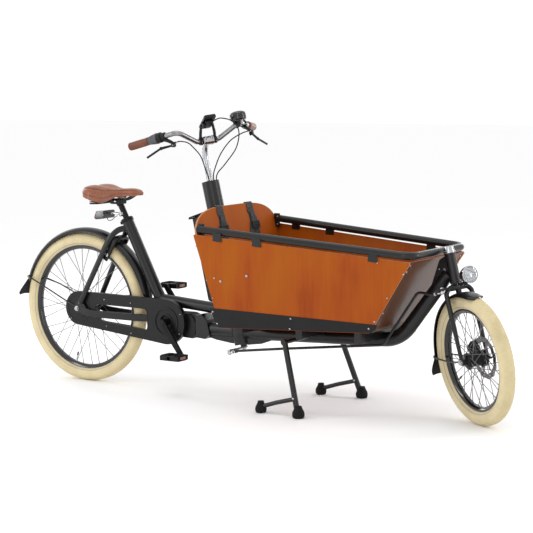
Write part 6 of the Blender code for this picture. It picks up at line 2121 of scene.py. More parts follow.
    def light(self) -> None:
        """The rear light with its red lens, bracket and wire."""
        form = Form(Look.GLOSS, BIKE @ Matrix.Translation((-0.010, 0, -0.004)))
        form.slab(band([(0.108, 0.760, 0.0095), (0.114, 0.784, 0.006), (0.148, 0.786, 0.006),
                        (0.146, 0.763, 0.008)]),
                  -0.040, 0.040, edge=0.004)
        form.slab(band([(0.1045, 0.7605, 0.0088), (0.1105, 0.7830, 0.0052), (0.118, 0.770, 0.008)]),
                  -0.0385, 0.0385, look=Look.RED, edge=0.0025)
        low = self.top + self.along * 0.037
        high = low + self.along * 0.011
        form.lathe([(0.0139, 0.0), (0.0176, 0.0), (0.0176, 0.011), (0.0139, 0.011)], 36, Axis.Z,
                   Look.POLISHED, aim(low, self.along))
        form.tube([(0.150, 0, 0.776), (0.176, 0, 0.780), low.lerp(high, 0.5) - Vector((0.012, 0, 0))],
                  0.005, 16, look=Look.POLISHED)
        form.tube(smooth_path([(0.150, -0.012, 0.760), (0.160, -0.016, 0.748), (0.182, -0.018, 0.750),
                               (0.196, -0.014, 0.762), (0.208, -0.010, 0.770)], 8), 0.0016, 10,
                  look=Look.CABLE)
        self.copier.screws(form, [((0.150, -0.0402, 0.774), (0, -1, 0), 3.0),
                                  ((0.150, 0.0402, 0.774), (0, 1, 0), 3.0)])
        form.done("rear_light_skin", "seat", "rear_light", slot="rear_light_red")


def axle(point: Point, way: Point) -> Matrix:
    """A place whose Y looks along a way."""
    return aim(point, way) @ Matrix.Rotation(math.radians(90), 4, "X")


@dataclass(frozen=True)
class BarSizes:
    """The handlebar's driving points in the column's own frame."""

    stem: tuple[Point, ...] = ((0, 0, 0.330), (0, 0, 0.450), (0.006, 0, 0.486), (0.022, 0, 0.515),
                               (0.052, 0, 0.5345))
    column_radius: float = 0.0140
    clamp: tuple[float, float] = (0.0656, 0.5353)
    radius: float = 0.0111
    grip: float = 0.0175
    inner: Point = (-0.017, 0.232, 0.582)
    outer: Point = (-0.098, 0.291, 0.579)
    bell: Point = (0.116, 0.1385, 0.588)
    display: Point = (0.104, 0.0, 0.612)
    arm: tuple[float, float] = (0.017, -0.078)
    levers: dict[int, tuple[Point, Point, Point]] = field(default_factory=lambda: {
        -1: ((0.0744, -0.162, 0.538), (0.030, -0.205, 0.537), (-0.018, -0.254, 0.513)),
        1: ((0.092, 0.196, 0.533), (0.0608, 0.2341, 0.508), (0.015, 0.290, 0.484))})
    right_cable: tuple[Point, ...] = ((0.100, -0.108, 0.537), (0.084, -0.080, 0.515),
                                      (0.062, -0.046, 0.475), (0.036, -0.026, 0.425),
                                      (0.023, -0.016, 0.388), (0.0195, -0.0125, 0.340))
    left_cable: tuple[Point, ...] = ((0.125, 0.135, 0.536), (0.107, 0.085, 0.515), (0.070, 0.045, 0.470),
                                     (0.036, 0.022, 0.420), (0.0235, 0.010, 0.385), (0.0230, 0.007, 0.340))
    display_cable: tuple[Point, ...] = ((0.1264, 0.010, 0.6175), (0.1345, 0.014, 0.608),
                                        (0.155, 0.042, 0.612), (0.168, 0.085, 0.590),
                                        (0.160, 0.110, 0.545), (0.120, 0.100, 0.480),
                                        (0.062, 0.060, 0.425), (0.022, 0.028, 0.388),
                                        (0.011, 0.0215, 0.340))


class Steering:
    """The column, stem, handlebar and all that is clamped on it."""

    def __init__(self, sizes: BarSizes, copier: Copier) -> None:
        """Keeps the sizes and the tool for copies."""
        self.sizes = sizes
        self.copier = copier

    def build(self) -> None:
        """Builds the steering from its foot to the bell."""
        self.column()
        self.stem()
        self.bar()
        for which, name in ((-1, "right"), (1, "left")):
            self.grip(which, name)
            self.lever(which, name)
        self.shifter()
        self.bell()
        self.display()
        self.cables()

    def along_bar(self, distance: float, which: int) -> Vector:
        """A point of the bar's straight part, this far inward from the grip's inner end."""
        inner = Vector(self.sizes.inner)
        point = inner + (inner - Vector(self.sizes.outer)).normalized() * distance
        return Vector((point.x, which * point.y, point.z))

    def half_bar(self, which: int) -> list[Vector]:
        """The bar from the stem to one grip's end.

        Args:
            which: -1 for the right side, 1 for the left.

        Returns:
            The bar's points.
        """
        s = self.sizes
        outer = (s.outer[0], which * s.outer[1], s.outer[2])
        return bent_path([(s.clamp[0], 0, s.clamp[1]), (s.clamp[0], which * 0.050, s.clamp[1]),
                          self.along_bar(0.150, which), outer], 0.032, 10)

    def column(self) -> None:
        """The column shaft with its bearings and the arm for the tie rod."""
        s = self.sizes
        form = Form(Look.FRAME, COLUMN)
        r = s.column_radius
        form.lathe([(0, -0.364), (r, -0.364), (r, 0.3297), (0, 0.3297)], 40, Axis.Z)
        for low in (-0.350, 0.216):
            form.lathe([(r, low), (0.0336, low), (0.0342, low + 0.0006), (0.0342, low + 0.0134),
                        (0.0336, low + 0.014), (r, low + 0.014)], 48, Axis.Z, Look.STEEL)
        form.slab(band([(0, 0, 0.018), (*s.arm, 0.009)]), -0.370, -0.362, Axis.Z, Look.STEEL, 0.0012)
        form.tube([(*s.arm, -0.3870), (*s.arm, -0.3875 + 0.0015), (*s.arm, -0.364)],
                  [0.003, 0.004, 0.004], 20, look=Look.STEEL)
        form.lathe([(0, -0.375), (0.009, -0.375), (0.010, -0.3735), (0.010, -0.3705), (0, -0.3700)], 6,
                   Axis.Z, Look.STEEL)
        form.done("steering_column_skin", "steering", "steering_column", slot="frame_paint")

    def stem(self) -> None:
        """The bright stem with the bar's clamp and its two bolts."""
        s = self.sizes
        form = Form(Look.POLISHED, COLUMN)
        path = smooth_path(s.stem, 8)
        form.tube(path, s.column_radius, 40)
        form.lathe([(0.0139, 0.384), (0.0152, 0.385), (0.0156, 0.388), (0.0152, 0.391), (0.0139, 0.392)],
                   40, Axis.Z)
        x, z = s.clamp
        centre = Matrix.Translation((x, 0, z))
        half = [(0.0114, 0.0), (0.0114, 0.0235), (0.0185, 0.0240), (0.0200, 0.0225), (0.0200, 0.0)]
        form.lathe([(r, -h) for r, h in reversed(half[1:-1])] + [half[0]] + half[1:-1] + [(0.0200, 0.0)],
                   48, at=centre)
        for y in (-0.014, 0.014):
            form.lathe([(0, -0.020), (0.0052, -0.020), (0.0056, -0.019), (0.0056, 0.017), (0.0040, 0.0185),
                        (0, 0.0185)], 20, Axis.Z, Look.POLISHED,
                       Matrix.Translation((x + 0.0135, y, z)) @ Matrix.Rotation(math.radians(28), 4, "Y"))
        bolts = [((x + 0.0222, y, z + 0.0162), (0.47, 0, 0.88), 3.6) for y in (-0.014, 0.014)]
        self.copier.screws(form, bolts)
        form.done("stem_skin", "steering", "stem", slot="bright_alloy")

    def bar(self) -> None:
        """The bent handlebar."""
        form = Form(Look.BAR, COLUMN)
        path = self.half_bar(-1)[:0:-1] + self.half_bar(1)[1:]
        form.tube(path, self.sizes.radius, 32, UP)
        form.done("handlebar_skin", "steering", "handlebar", slot="bright_alloy")

    def grip(self, which: int, name: str) -> None:
        """A leather grip with its stitched seam and a smooth end.

        Args:
            which: -1 for the right side, 1 for the left.
            name: The CAD node's name.
        """
        s = self.sizes
        form = Form(Look.GRIP, COLUMN)
        inner = self.along_bar(-0.001, which)
        outer = Vector((s.outer[0], which * s.outer[1], s.outer[2]))
        way = (outer - inner).normalized()
        end = outer + way * 0.004
        long = (end - inner).length
        profile = [(0.0002, 0.0), (s.grip - 0.0022, 0.0), (s.grip - 0.0006, 0.0010), (s.grip, 0.0030),
                   (s.grip, 0.0070), (s.grip - 0.0011, 0.0080), (s.grip - 0.0011, 0.0092),
                   (s.grip - 0.0003, 0.0102)]
        for i in range(1, 12):
            t = i / 12
            profile.append((s.grip - 0.0008 + 0.0006 * math.sin(math.pi * t), 0.0102 + (long - 0.022) * t))
        profile += [(s.grip - 0.0004, long - 0.0112), (s.grip - 0.0014, long - 0.0100),
                    (s.grip - 0.0014, long - 0.0090), (s.grip - 0.0002, long - 0.0080),
                    (s.grip - 0.0004, long - 0.0040), (s.grip - 0.0020, long - 0.0012),
                    (s.grip - 0.0045, long), (0.0002, long)]
        form.lathe(profile, 48, at=axle(inner, way))
        down = Vector((0.15, 0, -1.0))
        down = (down - way * down.dot(way)).normalized()
        low = inner + way * 0.013 + down * (s.grip - 0.0006)
        high = inner + way * (long - 0.014) + down * (s.grip - 0.0006)
        form.tube([low, low.lerp(high, 0.03), low.lerp(high, 0.97), high],
                  [0.0003, 0.0011, 0.0011, 0.0003], 10)
        stitch = loose(Look.THREAD)
        stitch.tube([(-0.0016, -0.0018, 0), (-0.0008, -0.0009, 0.0006), (0.0008, 0.0009, 0.0006),
                     (0.0016, 0.0018, 0)], [0.0003, 0.0005, 0.0005, 0.0003], 6, Vector((0.5, -0.5, 0)))
        form.take(self.copier.along(stitch, [low + down * 0.0008, high + down * 0.0008], 26, down),
                  Look.THREAD)
        form.done("grip_" + name + "_skin", "steering", "grip_" + name, slot="brown_leather")

    def shifter(self) -> None:
        """The ribbed twist shifter."""
        start = self.along_bar(0.0005, -1)
        end = self.along_bar(0.046, -1)
        way = (end - start).normalized()
        long = (end - start).length
        place = axle(start, way)
        form = Form(Look.GREY, COLUMN)
        form.lathe([(0.0114, 0.0), (0.0160, 0.0), (0.0172, 0.0012), (0.0176, 0.010), (0.0196, 0.020),
                    (0.0214, 0.033), (0.0218, 0.036), (0.0230, 0.0375), (0.0235, 0.0395),
                    (0.0235, long - 0.0010), (0.0228, long), (0.0114, long)], 56, at=place)
        rib = loose(Look.GREY)
        rib.tube([(0.0166, 0.0030, 0), (0.0172, 0.0055, 0), (0.0178, 0.0120, 0), (0.0198, 0.0220, 0),
                  (0.0213, 0.0315, 0), (0.0212, 0.0340, 0)],
                 [0.0004, 0.0011, 0.0012, 0.0012, 0.0012, 0.0004], 8, Vector((0, 0, 1)))
        form.take(self.copier.ring(rib, 26), Look.GREY, place)
        form.done("twist_shifter_skin", "shifter", "twist_shifter", slot="grey_rubber")

    def lever(self, which: int, name: str) -> None:
        """A brake lever's body and its blade.

        Args:
            which: -1 for the right side, 1 for the left.
            name: The CAD node's name.
        """
        s = self.sizes
        pivot, bend, tip = (Vector(p) for p in s.levers[which])
        turn = (tip - pivot).cross(UP).normalized()
        start = self.along_bar(0.066, which)
        end = self.along_bar(0.086, which)
        way = (end - start).normalized()
        middle = (start + end) / 2
        form = Form(Look.PLASTIC, COLUMN)
        form.lathe([(0.0116, 0.0), (0.0163, 0.0), (0.0171, 0.001), (0.0171, 0.019), (0.0163, 0.020),
                    (0.0116, 0.020)], 40, at=axle(start, way))
        below = middle + Vector((0, 0, -0.012))
        above = pivot + UP * 0.0090
        form.tube(smooth_path([below, below.lerp(above, 0.5) + Vector((0.004, 0, 0)), above], 6),
                  [0.0100, 0.0095, 0.0090, 0.0086, 0.0083, 0.0080, 0.0080, 0.0078, 0.0076, 0.0074, 0.0072,
                   0.0070, 0.0066], 20, Vector((1, 0, 0)))
        for sign in (-1, 1):
            form.lathe([(0, 0.0048), (0.0084, 0.0048), (0.0090, 0.0054), (0.0090, 0.0078), (0.0082, 0.0083),
                        (0, 0.0083)], 28, at=axle(pivot, turn * sign))
        form.tube([pivot + UP * 0.0085 + turn * 0.0072, pivot + UP * 0.0085 - turn * 0.0072], 0.0060, 20)
        form.tube([pivot - turn * 0.0090, pivot + turn * 0.0090], 0.0026, 16, look=Look.STEEL)
        inward = (self.along_bar(1.0, which) - self.along_bar(0.0, which)).normalized()
        root = pivot + UP * 0.0085
        form.tube([root, root + inward * 0.0095, root + inward * 0.010, root + inward * 0.0165,
                   root + inward * 0.018], [0.0046, 0.0046, 0.0042, 0.0040, 0.0032], 20)
        self.copier.screws(form, [(middle + Vector((0.0172, 0, -0.002)), (1, 0, -0.1), 3.0)])
        if which < 0:
            low = self.along_bar(0.0475, which)
            form.lathe([(0.0116, 0.0), (0.0210, 0.0), (0.0223, 0.0012), (0.0225, 0.0030), (0.0225, 0.0160),
                        (0.0218, 0.0185), (0.0180, 0.0212), (0.0116, 0.0215)], 48, at=axle(low, way))
            form.tube([low + way * 0.0110 + Vector((0.0195, 0, 0.0112)),
                       low + way * 0.0110 + Vector((0.0206, 0, 0.0118))], 0.0022, 16, look=Look.AMBER)
        form.done("lever_body_" + name + "_skin", "steering", "lever_body_" + name, slot="black_plastic")
        blade = Form(Look.ALLOY, COLUMN)
        path = bent_path([pivot, bend, tip], 0.03, 8)
        count = len(path)
        outlines = []
        for i in range(count):
            t = i / (count - 1)
            wide = 0.0042 + 0.0032 * math.sin(math.pi * min(1.0, t * 1.1)) ** 0.7
            outlines.append([(a * 0.0052, b * wide * 1.05) for a, b in circle(1.0, 20)])
        outlines[-1] = [(a * 0.0046, b * 0.0046) for a, b in circle(1.0, 20)]
        blade.sweep(path, outlines, turn)
        ball = (path[-1] - path[-2]).normalized()
        blade.tube([tip - ball * 0.003, tip - ball * 0.001, tip + ball * 0.0015, tip + ball * 0.003],
                   [0.0044, 0.0052, 0.0050, 0.0030], 20, turn)
        blade.lathe([(0.0030, -0.0042), (0.0076, -0.0042), (0.0080, -0.0036), (0.0080, 0.0036),
                     (0.0076, 0.0042), (0.0030, 0.0042)], 28, at=axle(pivot, turn))
        blade.done("lever_blade_" + name + "_skin", name + "_lever", "lever_blade_" + name,
                   slot="dark_alloy")

    def bell(self) -> None:
        """The round bell with its seam, foot and thumb lever."""
        x, y, z = self.sizes.bell
        r = 0.037
        form = Form(Look.GLOSS, COLUMN)
        profile = [(0, 0.004), (r * 0.70, 0.004)]
        profile += [(r * (0.70 + 0.30 * math.sin(math.pi / 2 * i / 6)), 0.004 + 0.014 * (1 - math.cos(
            math.pi / 2 * i / 6))) for i in range(1, 7)]
        profile += [(r, 0.0225), (r * 0.975, 0.0232), (r * 0.975, 0.0246), (r, 0.0253)]
        profile += [(r * math.cos(math.pi / 2 * i / 12) ** 0.75,
                     0.030 + 0.017 * math.sin(math.pi / 2 * i / 12))
                    for i in range(12)]
        profile += [(0, 0.0472)]
        form.lathe(profile, 64, Axis.Z, at=Matrix.Translation((x, y, z)))
        form.lathe([(0, -0.012), (0.0105, -0.012), (0.0110, -0.0112), (0.0110, 0.006), (0, 0.006)], 32,
                   Axis.Z, Look.PLASTIC, Matrix.Translation((x - 0.008, y, z)))
        near = self.half_bar(1)
        spot = min(near, key=lambda p: (p - Vector((x - 0.010, y, z - 0.014))).length)
        k = max(1, min(near.index(spot), len(near) - 2))
        way = (near[k + 1] - near[k - 1]).normalized()
        form.lathe([(0.0116, -0.008), (0.0150, -0.008), (0.0158, -0.007), (0.0158, 0.007), (0.0150, 0.008),
                    (0.0116, 0.008)], 36, look=Look.PLASTIC, at=axle(spot, way))
        pivot = Vector((x - 0.044, y - 0.004, z + 0.0075))
        form.slab(band([(0, 0, 0.005), (0.020, 0.002, 0.006)], 20), -0.0034, -0.0003, Axis.Z,
                  Look.PLASTIC, 0.0005, at=Matrix.Translation(pivot))
        form.tube([pivot + UP * z0 for z0 in (-0.002, 0.0042, 0.0050)], [0.002, 0.0020, 0.0012], 14,
                  look=Look.STEEL)
        form.done("bell_skin", "steering", "bell", slot="frame_paint")
        lever = Form(Look.PLASTIC, COLUMN)
        lever.slab(band([(0, 0, 0.007), (-0.022, 0.008, 0.005)], 28), 0.0, 0.0035, Axis.Z, edge=0.0009,
                   holes=[circle(0.0023, 14)], at=Matrix.Translation(pivot))
        lever.done("bell_lever_skin", "bell_thumb", "bell_lever", slot="black_plastic")

    def display(self) -> None:
        """The flat display on two posts that clamp the bar each side of the stem."""
        s = self.sizes
        place = Matrix.Translation(s.display) @ Matrix.Rotation(math.radians(-22), 4, "Y")
        form = Form(Look.PLASTIC, COLUMN)
        form.slab(box_outline(0.050, 0.027, 0.009, 6), -0.006, 0.0052, Axis.Z, edge=0.0016, at=place)
        form.slab(box_outline(0.046, 0.023, 0.006, 6), 0.0048, 0.0060, Axis.Z, Look.SCREEN, 0.0004,
                  at=place)
        form.slab(box_outline(0.024, 0.018, 0.008, 6), -0.0150, -0.0055, Axis.Z, edge=0.0018, at=place)
        edge = -0.0270
        for x in (0.0030, -0.006):
            form.block((x - 0.003, edge - 0.0015, -0.002), (x + 0.003, edge, 0.002), 0.0006, Look.GREY,
                       place)
        for which in (-1, 1):
            y = which * 0.0325
            path = smooth_path([(0.090, y * 0.8, 0.604), (0.078, y, 0.565), (0.0656, y, 0.541)], 6)
            form.tube(path, [0.0060] * 4 + [0.0064] * 5 + [0.0072] * (len(path) - 9), 20)
            x, z = s.clamp
            form.lathe([(0.0116, -0.007), (0.0153, -0.007), (0.0161, -0.006), (0.0161, 0.006),
                        (0.0153, 0.007), (0.0116, 0.007)], 36, at=Matrix.Translation((x, y, z)))
            form.tube([(x + 0.0155, y, z - 0.007), (x + 0.0155, y, z + 0.005)], 0.0040, 14,
                      look=Look.PLASTIC)
            self.copier.screws(form, [((x + 0.0155, y, z - 0.0072), (0, 0, -1), 2.6)])
        form.tube([(0.1115, -0.020, 0.600), (0.1175, -0.022, 0.590), (0.119, -0.0222, 0.5875)],
                  [0.0085, 0.0085, 0.0060], 24)
        form.done("display_skin", "steering", "display", slot="black_plastic")

    def cables(self) -> None:
        """Both brake cables and the display's cable, with their end sleeves."""
        s = self.sizes
        tilt = Vector((0.3, 1, 0.2)).normalized()
        for which, name, points in ((-1, "cable_right", s.right_cable), (1, "cable_left", s.left_cable),
                                    (0, "cable_display", s.display_cable)):
            form = Form(Look.CABLE, COLUMN)
            route = [Vector(p) for p in points]
            if which:
                inward = (self.along_bar(1.0, which) - self.along_bar(0.0, which)).normalized()
                root = Vector(s.levers[which][0]) + UP * 0.0085
                route = [root + inward * d for d in (0.0184, 0.022, 0.034)] + route
                form.tube([route[0] + inward * d for d in (0.0, 0.0095, 0.0105)],
                          [0.0034, 0.0034, 0.0026], 16, look=Look.STEEL)
            form.tube(smooth_path(route, 10), 0.0025, 14, tilt)
            form.done(name + "_skin", "steering", name, slot="cable_rubber")


class TieRod:
    """The rod from the column's arm under the box to the fork's arm."""

    def __init__(self, arm: tuple[float, float] = (0.017, -0.078), drop: float = 0.0132) -> None:
        """Works both eyes out from the steering arms."""
        self.rear = TURNED @ Vector((*arm, -0.364)) + COLUMN_FOOT - TURNED @ Vector((0, 0, drop))
        self.front = TURNED @ Vector((*arm, 0.300)) + FORK_FOOT - TURNED @ Vector((0, 0, drop))

    def build(self) -> None:
        """Builds the rod with bright ball ends and lock nuts."""
        form = Form(Look.FRAME)
        rear, front = self.rear, self.front
        y = rear.y
        path = bent_path([rear, (rear.x + 0.043, y, rear.z + 0.013), (1.12, y, 0.2455), (1.609, y, 0.301),
                          (1.768, y, 0.527), (front.x - 0.050, y, front.z - 0.011), front], 0.030, 8)
        body = [p for p in path if (p - rear).length > 0.026 and (p - front).length > 0.026]
        form.tube([rear.lerp(body[0], 0.45), *body, front.lerp(body[-1], 0.45)], 0.0056, 20)
        axis = TURNED @ UP
        for eye, near in ((rear, body[0]), (front, body[-1])):
            form.lathe([(0.0043, -0.0058), (0.0070, -0.0065), (0.0090, -0.0052), (0.0098, -0.0020),
                        (0.0098, 0.0020), (0.0090, 0.0052), (0.0070, 0.0065), (0.0043, 0.0058)], 36,
                       Axis.Z, Look.STEEL, aim(eye, axis))
            form.tube([eye.lerp(near, 0.12), eye.lerp(near, 0.60), eye.lerp(near, 0.62)],
                      [0.0052, 0.0048, 0.0048], 20, look=Look.STEEL)
            nut = eye.lerp(near, 0.62)
            way = (near - eye).normalized()
            form.tube([nut, nut + way * 0.0060], 0.0078, 6, look=Look.STEEL)
            form.tube([nut + way * 0.0060, nut + way * 0.016], 0.0068, 20)
        form.done("tie_rod_skin", "steering_rod", "tie_rod", slot="frame_paint")


class Fork:
    """The front fork with its lamp and brake."""

    def __init__(self, copier: Copier, rake: float = 0.0255, half: float = 0.060) -> None:
        """Keeps the tool for copies, the rake and where the ends stand."""
        self.copier = copier
        self.rake = rake
        self.half = half

    def build(self) -> None:
        """Builds the fork, headlight, lens and brake caliper."""
        self.fork()
        self.headlight()
        self.caliper()

    def fork(self) -> None:
        """Steerer, crown and blades with their ends and the steering arm."""
        form = Form(Look.FRAME, FORK)
        form.lathe([(0, 0.288), (0.0125, 0.288), (0.0125, 0.4435), (0, 0.4435)], 36, Axis.Z)
        form.lathe([(0.0125, 0.3035), (0.0215, 0.3035), (0.0222, 0.3045), (0.0205, 0.3110),
                    (0.0125, 0.3115)], 40,
                   Axis.Z, Look.ALLOY)
        half = [(0.004, 0.018, 0.2985), (0.0075, 0.040, 0.2935), (0.0105, 0.0545, 0.280),
                (0.012, 0.0585, 0.258), (0.020, 0.0590, 0.14), (self.rake, self.half, 0.012)]
        radii = [0.0110, 0.0100, 0.0100, 0.0100, 0.0100, 0.0070]
        both = [(x, -y, z) for x, y, z in reversed(half)] + half
        path = smooth_path(both, 8)
        knots = radii[::-1] + radii
        sizes = [knots[i // 8] + (knots[min(i // 8 + 1,
                                            11)] - knots[i // 8]) * (i % 8) / 8 for i in range(len(path))]
        form.tube(path, sizes, 32, Vector((1, 0, 0)))
        outline = band([(self.rake, 0, 0.013), (self.rake, 0.016, 0.010)])
        for which in (-1, 1):
            y = which * self.half
            form.slab(outline, y - 0.003, y + 0.003, edge=0.0010,
                      holes=[circle(0.0053, 24, 1.0, (self.rake, 0))])
            form.tube([(0.0195, which * 0.0700, 0.1400), (0.0195, which * 0.0500, 0.1400)], 0.0042, 16,
                      Vector((1, 0, 0)), Look.FRAME)
        form.slab(band([(0, 0, 0.0165), (0.017, -0.078, 0.009)]), 0.294, 0.302, Axis.Z, edge=0.0012)
        form.block((-0.012, -0.030, 0.283), (0.014, 0.040, 0.300), 0.005)
        form.tube([(0.017, -0.078, z) for z in (0.2765, 0.278, 0.3035)], [0.003, 0.004, 0.004], 20,
                  look=Look.STEEL)
        form.lathe([(0, 0.3020), (0.0078, 0.3020), (0.0082, 0.3030), (0.0082, 0.3065), (0.0070, 0.3075),
                    (0, 0.3080)],
                   6, Axis.Z, Look.STEEL, Matrix.Translation((0.017, -0.078, 0)))
        form.done("fork_skin", "front_fork", "fork", slot="frame_paint")

    def headlight(self) -> None:
        """The chromed lamp on its bracket, and its ribbed lens."""
        form = Form(Look.MIRROR, FORK)
        place = Matrix.Translation((0.128, 0, 0.336))
        shell = [(0.002, -0.0620), (0.010, -0.0612), (0.016, -0.0590), (0.0215, -0.0520), (0.0265, -0.0420),
                 (0.0310, -0.0290), (0.0338, -0.0160), (0.0346, -0.0120), (0.0350, -0.0100),
                 (0.0350, -0.0010), (0.0346, 0.0), (0.0326, 0.0), (0.0320, -0.0010), (0.0320, -0.0058),
                 (0.0300, -0.0130), (0.0240, -0.0240), (0.0140, -0.0320), (0.002, -0.0350)]
        form.lathe(shell, 64, Axis.X, at=place)
        form.lathe([(0.0, -0.0345), (0.0045, -0.0330), (0.0050, -0.0260), (0.0030, -0.0200),
                    (0.0, -0.0190)], 24,
                   Axis.X, Look.GLASS, place)
        for y in (-0.0085, 0.0085):
            path = smooth_path([(0.0210, y * 0.6, 0.3075), (0.034, y * 0.8, 0.307), (0.060, y, 0.303),
                                (0.090, y, 0.3145)],
                               6)
            form.sweep(path, box_outline(0.0012, 0.0060, 0.0008, 2), look=Look.POLISHED)
        form.tube([(0.090, -0.0115, 0.3165), (0.090, 0.0115, 0.3165)], 0.0048, 20, Vector((1, 0, 0)),
                  Look.STEEL)
        form.block((0.0200, -0.0075, 0.3010), (0.0240, 0.0075, 0.3130), 0.0012, Look.POLISHED)
        form.tube(smooth_path([(0.0695, 0.004, 0.3300), (0.050, 0.008, 0.3300), (0.034, 0.0110, 0.3220),
                               (0.024, 0.0125, 0.3080)], 8), 0.0016, 10, look=Look.CABLE)
        form.done("headlight_skin", "front_fork", "headlight", slot="lamp_chrome")
        lens = Form(Look.GLASS, FORK)
        edge = 0.0316
        lens.lathe([(0, -0.0040), (edge - 0.002, -0.0048), (edge, -0.0045), (edge, -0.0004),
                    (0.026, 0.0018), (0.018, 0.0036), (0.009, 0.0046), (0, 0.0050)], 64, Axis.X, at=place)
        lens.done("headlight_lens_skin", "front_fork", "headlight_lens", slot="clear_lens")

    def caliper(self) -> None:
        """The disc caliper, two pads each side of the disc, on a lug of the left blade."""
        a = math.radians(148)
        centre = Vector((self.rake + 0.082 * math.cos(a), 0, 0.082 * math.sin(a)))
        place = Matrix.Translation(centre) @ Matrix.Rotation(math.radians(58), 4, "Y")
        form = Form(Look.ALLOY, FORK)
        for low, high in ((0.0292, 0.0424), (0.0476, 0.0568)):
            form.slab(box_outline(0.0195, 0.0255, 0.008), low, high, edge=0.0018, at=place)
        for x in (-0.0165, 0.0165):
            form.block((x - 0.0032, 0.030, 0.0130), (x + 0.0032, 0.0560, 0.0235), 0.0012, at=place)
        form.lathe([(0, 0.0565), (0.0115, 0.0565), (0.0120, 0.0575), (0.0112, 0.0590), (0, 0.0590)], 32,
                   at=place)
        form.lathe([(0, 0.0292), (0.0105, 0.0292), (0.0105, 0.0270), (0.0095, 0.0262), (0, 0.0262)], 32,
                   at=place)
        form.tube([(-0.030, 0.052, 0.060), (0.0100, 0.0575, 0.068)], 0.0060, 20)
        form.tube([(-0.047, 0.0535, 0.030), (-0.010, 0.0560, 0.026), (0.0120, 0.0575, 0.022)], 0.0050, 20)
        spots = [(place @ Vector((x, 0.0572, z)), (0, 1, 0), 3.0) for x,
                 z in ((-0.013, 0.020), (0.013, 0.020), (-0.013, -0.020), (0.013, -0.020))]
        self.copier.screws(form, spots)
        form.done("brake_caliper_skin", "front_fork", "brake_caliper", slot="dark_alloy")


@dataclass(frozen=True)
class FenderSizes:
    """One fender: where its arch is centred, how far it reaches, and its flap and stays."""

    name: str
    body: str
    place: Matrix
    centre: tuple[float, float]
    radius: float
    drop: float
    start: float
    end: float
    flap: tuple[tuple[float, float], ...]
    flap_halves: tuple[float, ...]
    stay: tuple[Point, ...]
    knob: Point
    half: float = 0.035
    nose: float = 0.0


class Fender:
    """A full-length fender with a rubber flap and wire stays."""

    def __init__(self, sizes: FenderSizes, copier: Copier) -> None:
        """Keeps the sizes and the tool for copies."""
        self.sizes = sizes
        self.copier = copier

    def build(self, extra: Callable[[Form], None]) -> None:
        """Builds the fender.

        Args:
            extra: Adds what holds this one to its carrier.
        """
        s = self.sizes
        form = Form(Look.FRAME, s.place)
        steps = 44
        path = arc(s.radius, s.start, s.end, steps, *s.centre)
        outlines = []
        for i in range(steps + 1):
            near = max(0.0, 1 - i / 5)
            tip = max(0.0, 1 - i / 2)
            half = s.half * (1 + s.nose * near ** 1.5) * (1 - 0.55 * tip ** 2)
            far = max(0.0, 1 - (steps - i) / 2)
            outlines.append(arch(half * (1 - 0.12 * far), s.drop * (1 - 0.35 * near), 0.0018))
        form.sweep(path, outlines)
        self.flap(form)
        for which in (-1, 1):
            form.tube(bent_path(on_hand(s.stay, which), 0.02, 6), 0.0034, 12, look=Look.FRAME)
            form.lathe([(0.0, -0.0030), (0.0062, -0.0030), (0.0068, -0.0020), (0.0068, 0.0020),
                        (0.0062, 0.0030), (0.0, 0.0030)], 24, look=Look.PLASTIC,
                       at=Matrix.Translation((s.knob[0], which * s.knob[1], s.knob[2])))
            out = Vector((s.knob[0], which * (s.knob[1] + 0.0026), s.knob[2]))
            self.copier.screws(form, [(out, (0, which, 0), 3.4)])
        extra(form)
        form.done(s.name + "_skin", s.body, s.name, slot="black_plastic")

    def flap(self, form: Form) -> None:
        """The rubber flap, cupped across and rounded at its foot.

        Args:
            form: The form that takes the shape.
        """
        s = self.sizes
        spots = smooth_path([(x, 0.0, z) for x, z in s.flap], 6)
        count = len(spots) - 1
        halves = smooth_path([(i, 0.0, h) for i, h in enumerate(s.flap_halves)], 6)
        rings = []
        for i, spot in enumerate(spots):
            share = i / count * (len(halves) - 1)
            k = min(int(share), len(halves) - 2)
            half = halves[k].z + (halves[k + 1].z - halves[k].z) * (share - k)
            before, after = spots[max(i - 1, 0)], spots[min(i + 1, count)]
            along = (after - before).normalized()
            out = SIDEWAYS.cross(along)
            front = []
            back = []
            for j in range(11):
                a = j / 5 - 1
                cup = -0.0055 * a * a * (half / 0.04)
                front.append(spot + SIDEWAYS * (half * a) + out * cup)
                back.append(spot + SIDEWAYS * (half * a * 0.985) + out * (cup + 0.0026))
            rings.append(front + back[::-1])
        form.loft(rings, Look.RUBBER)


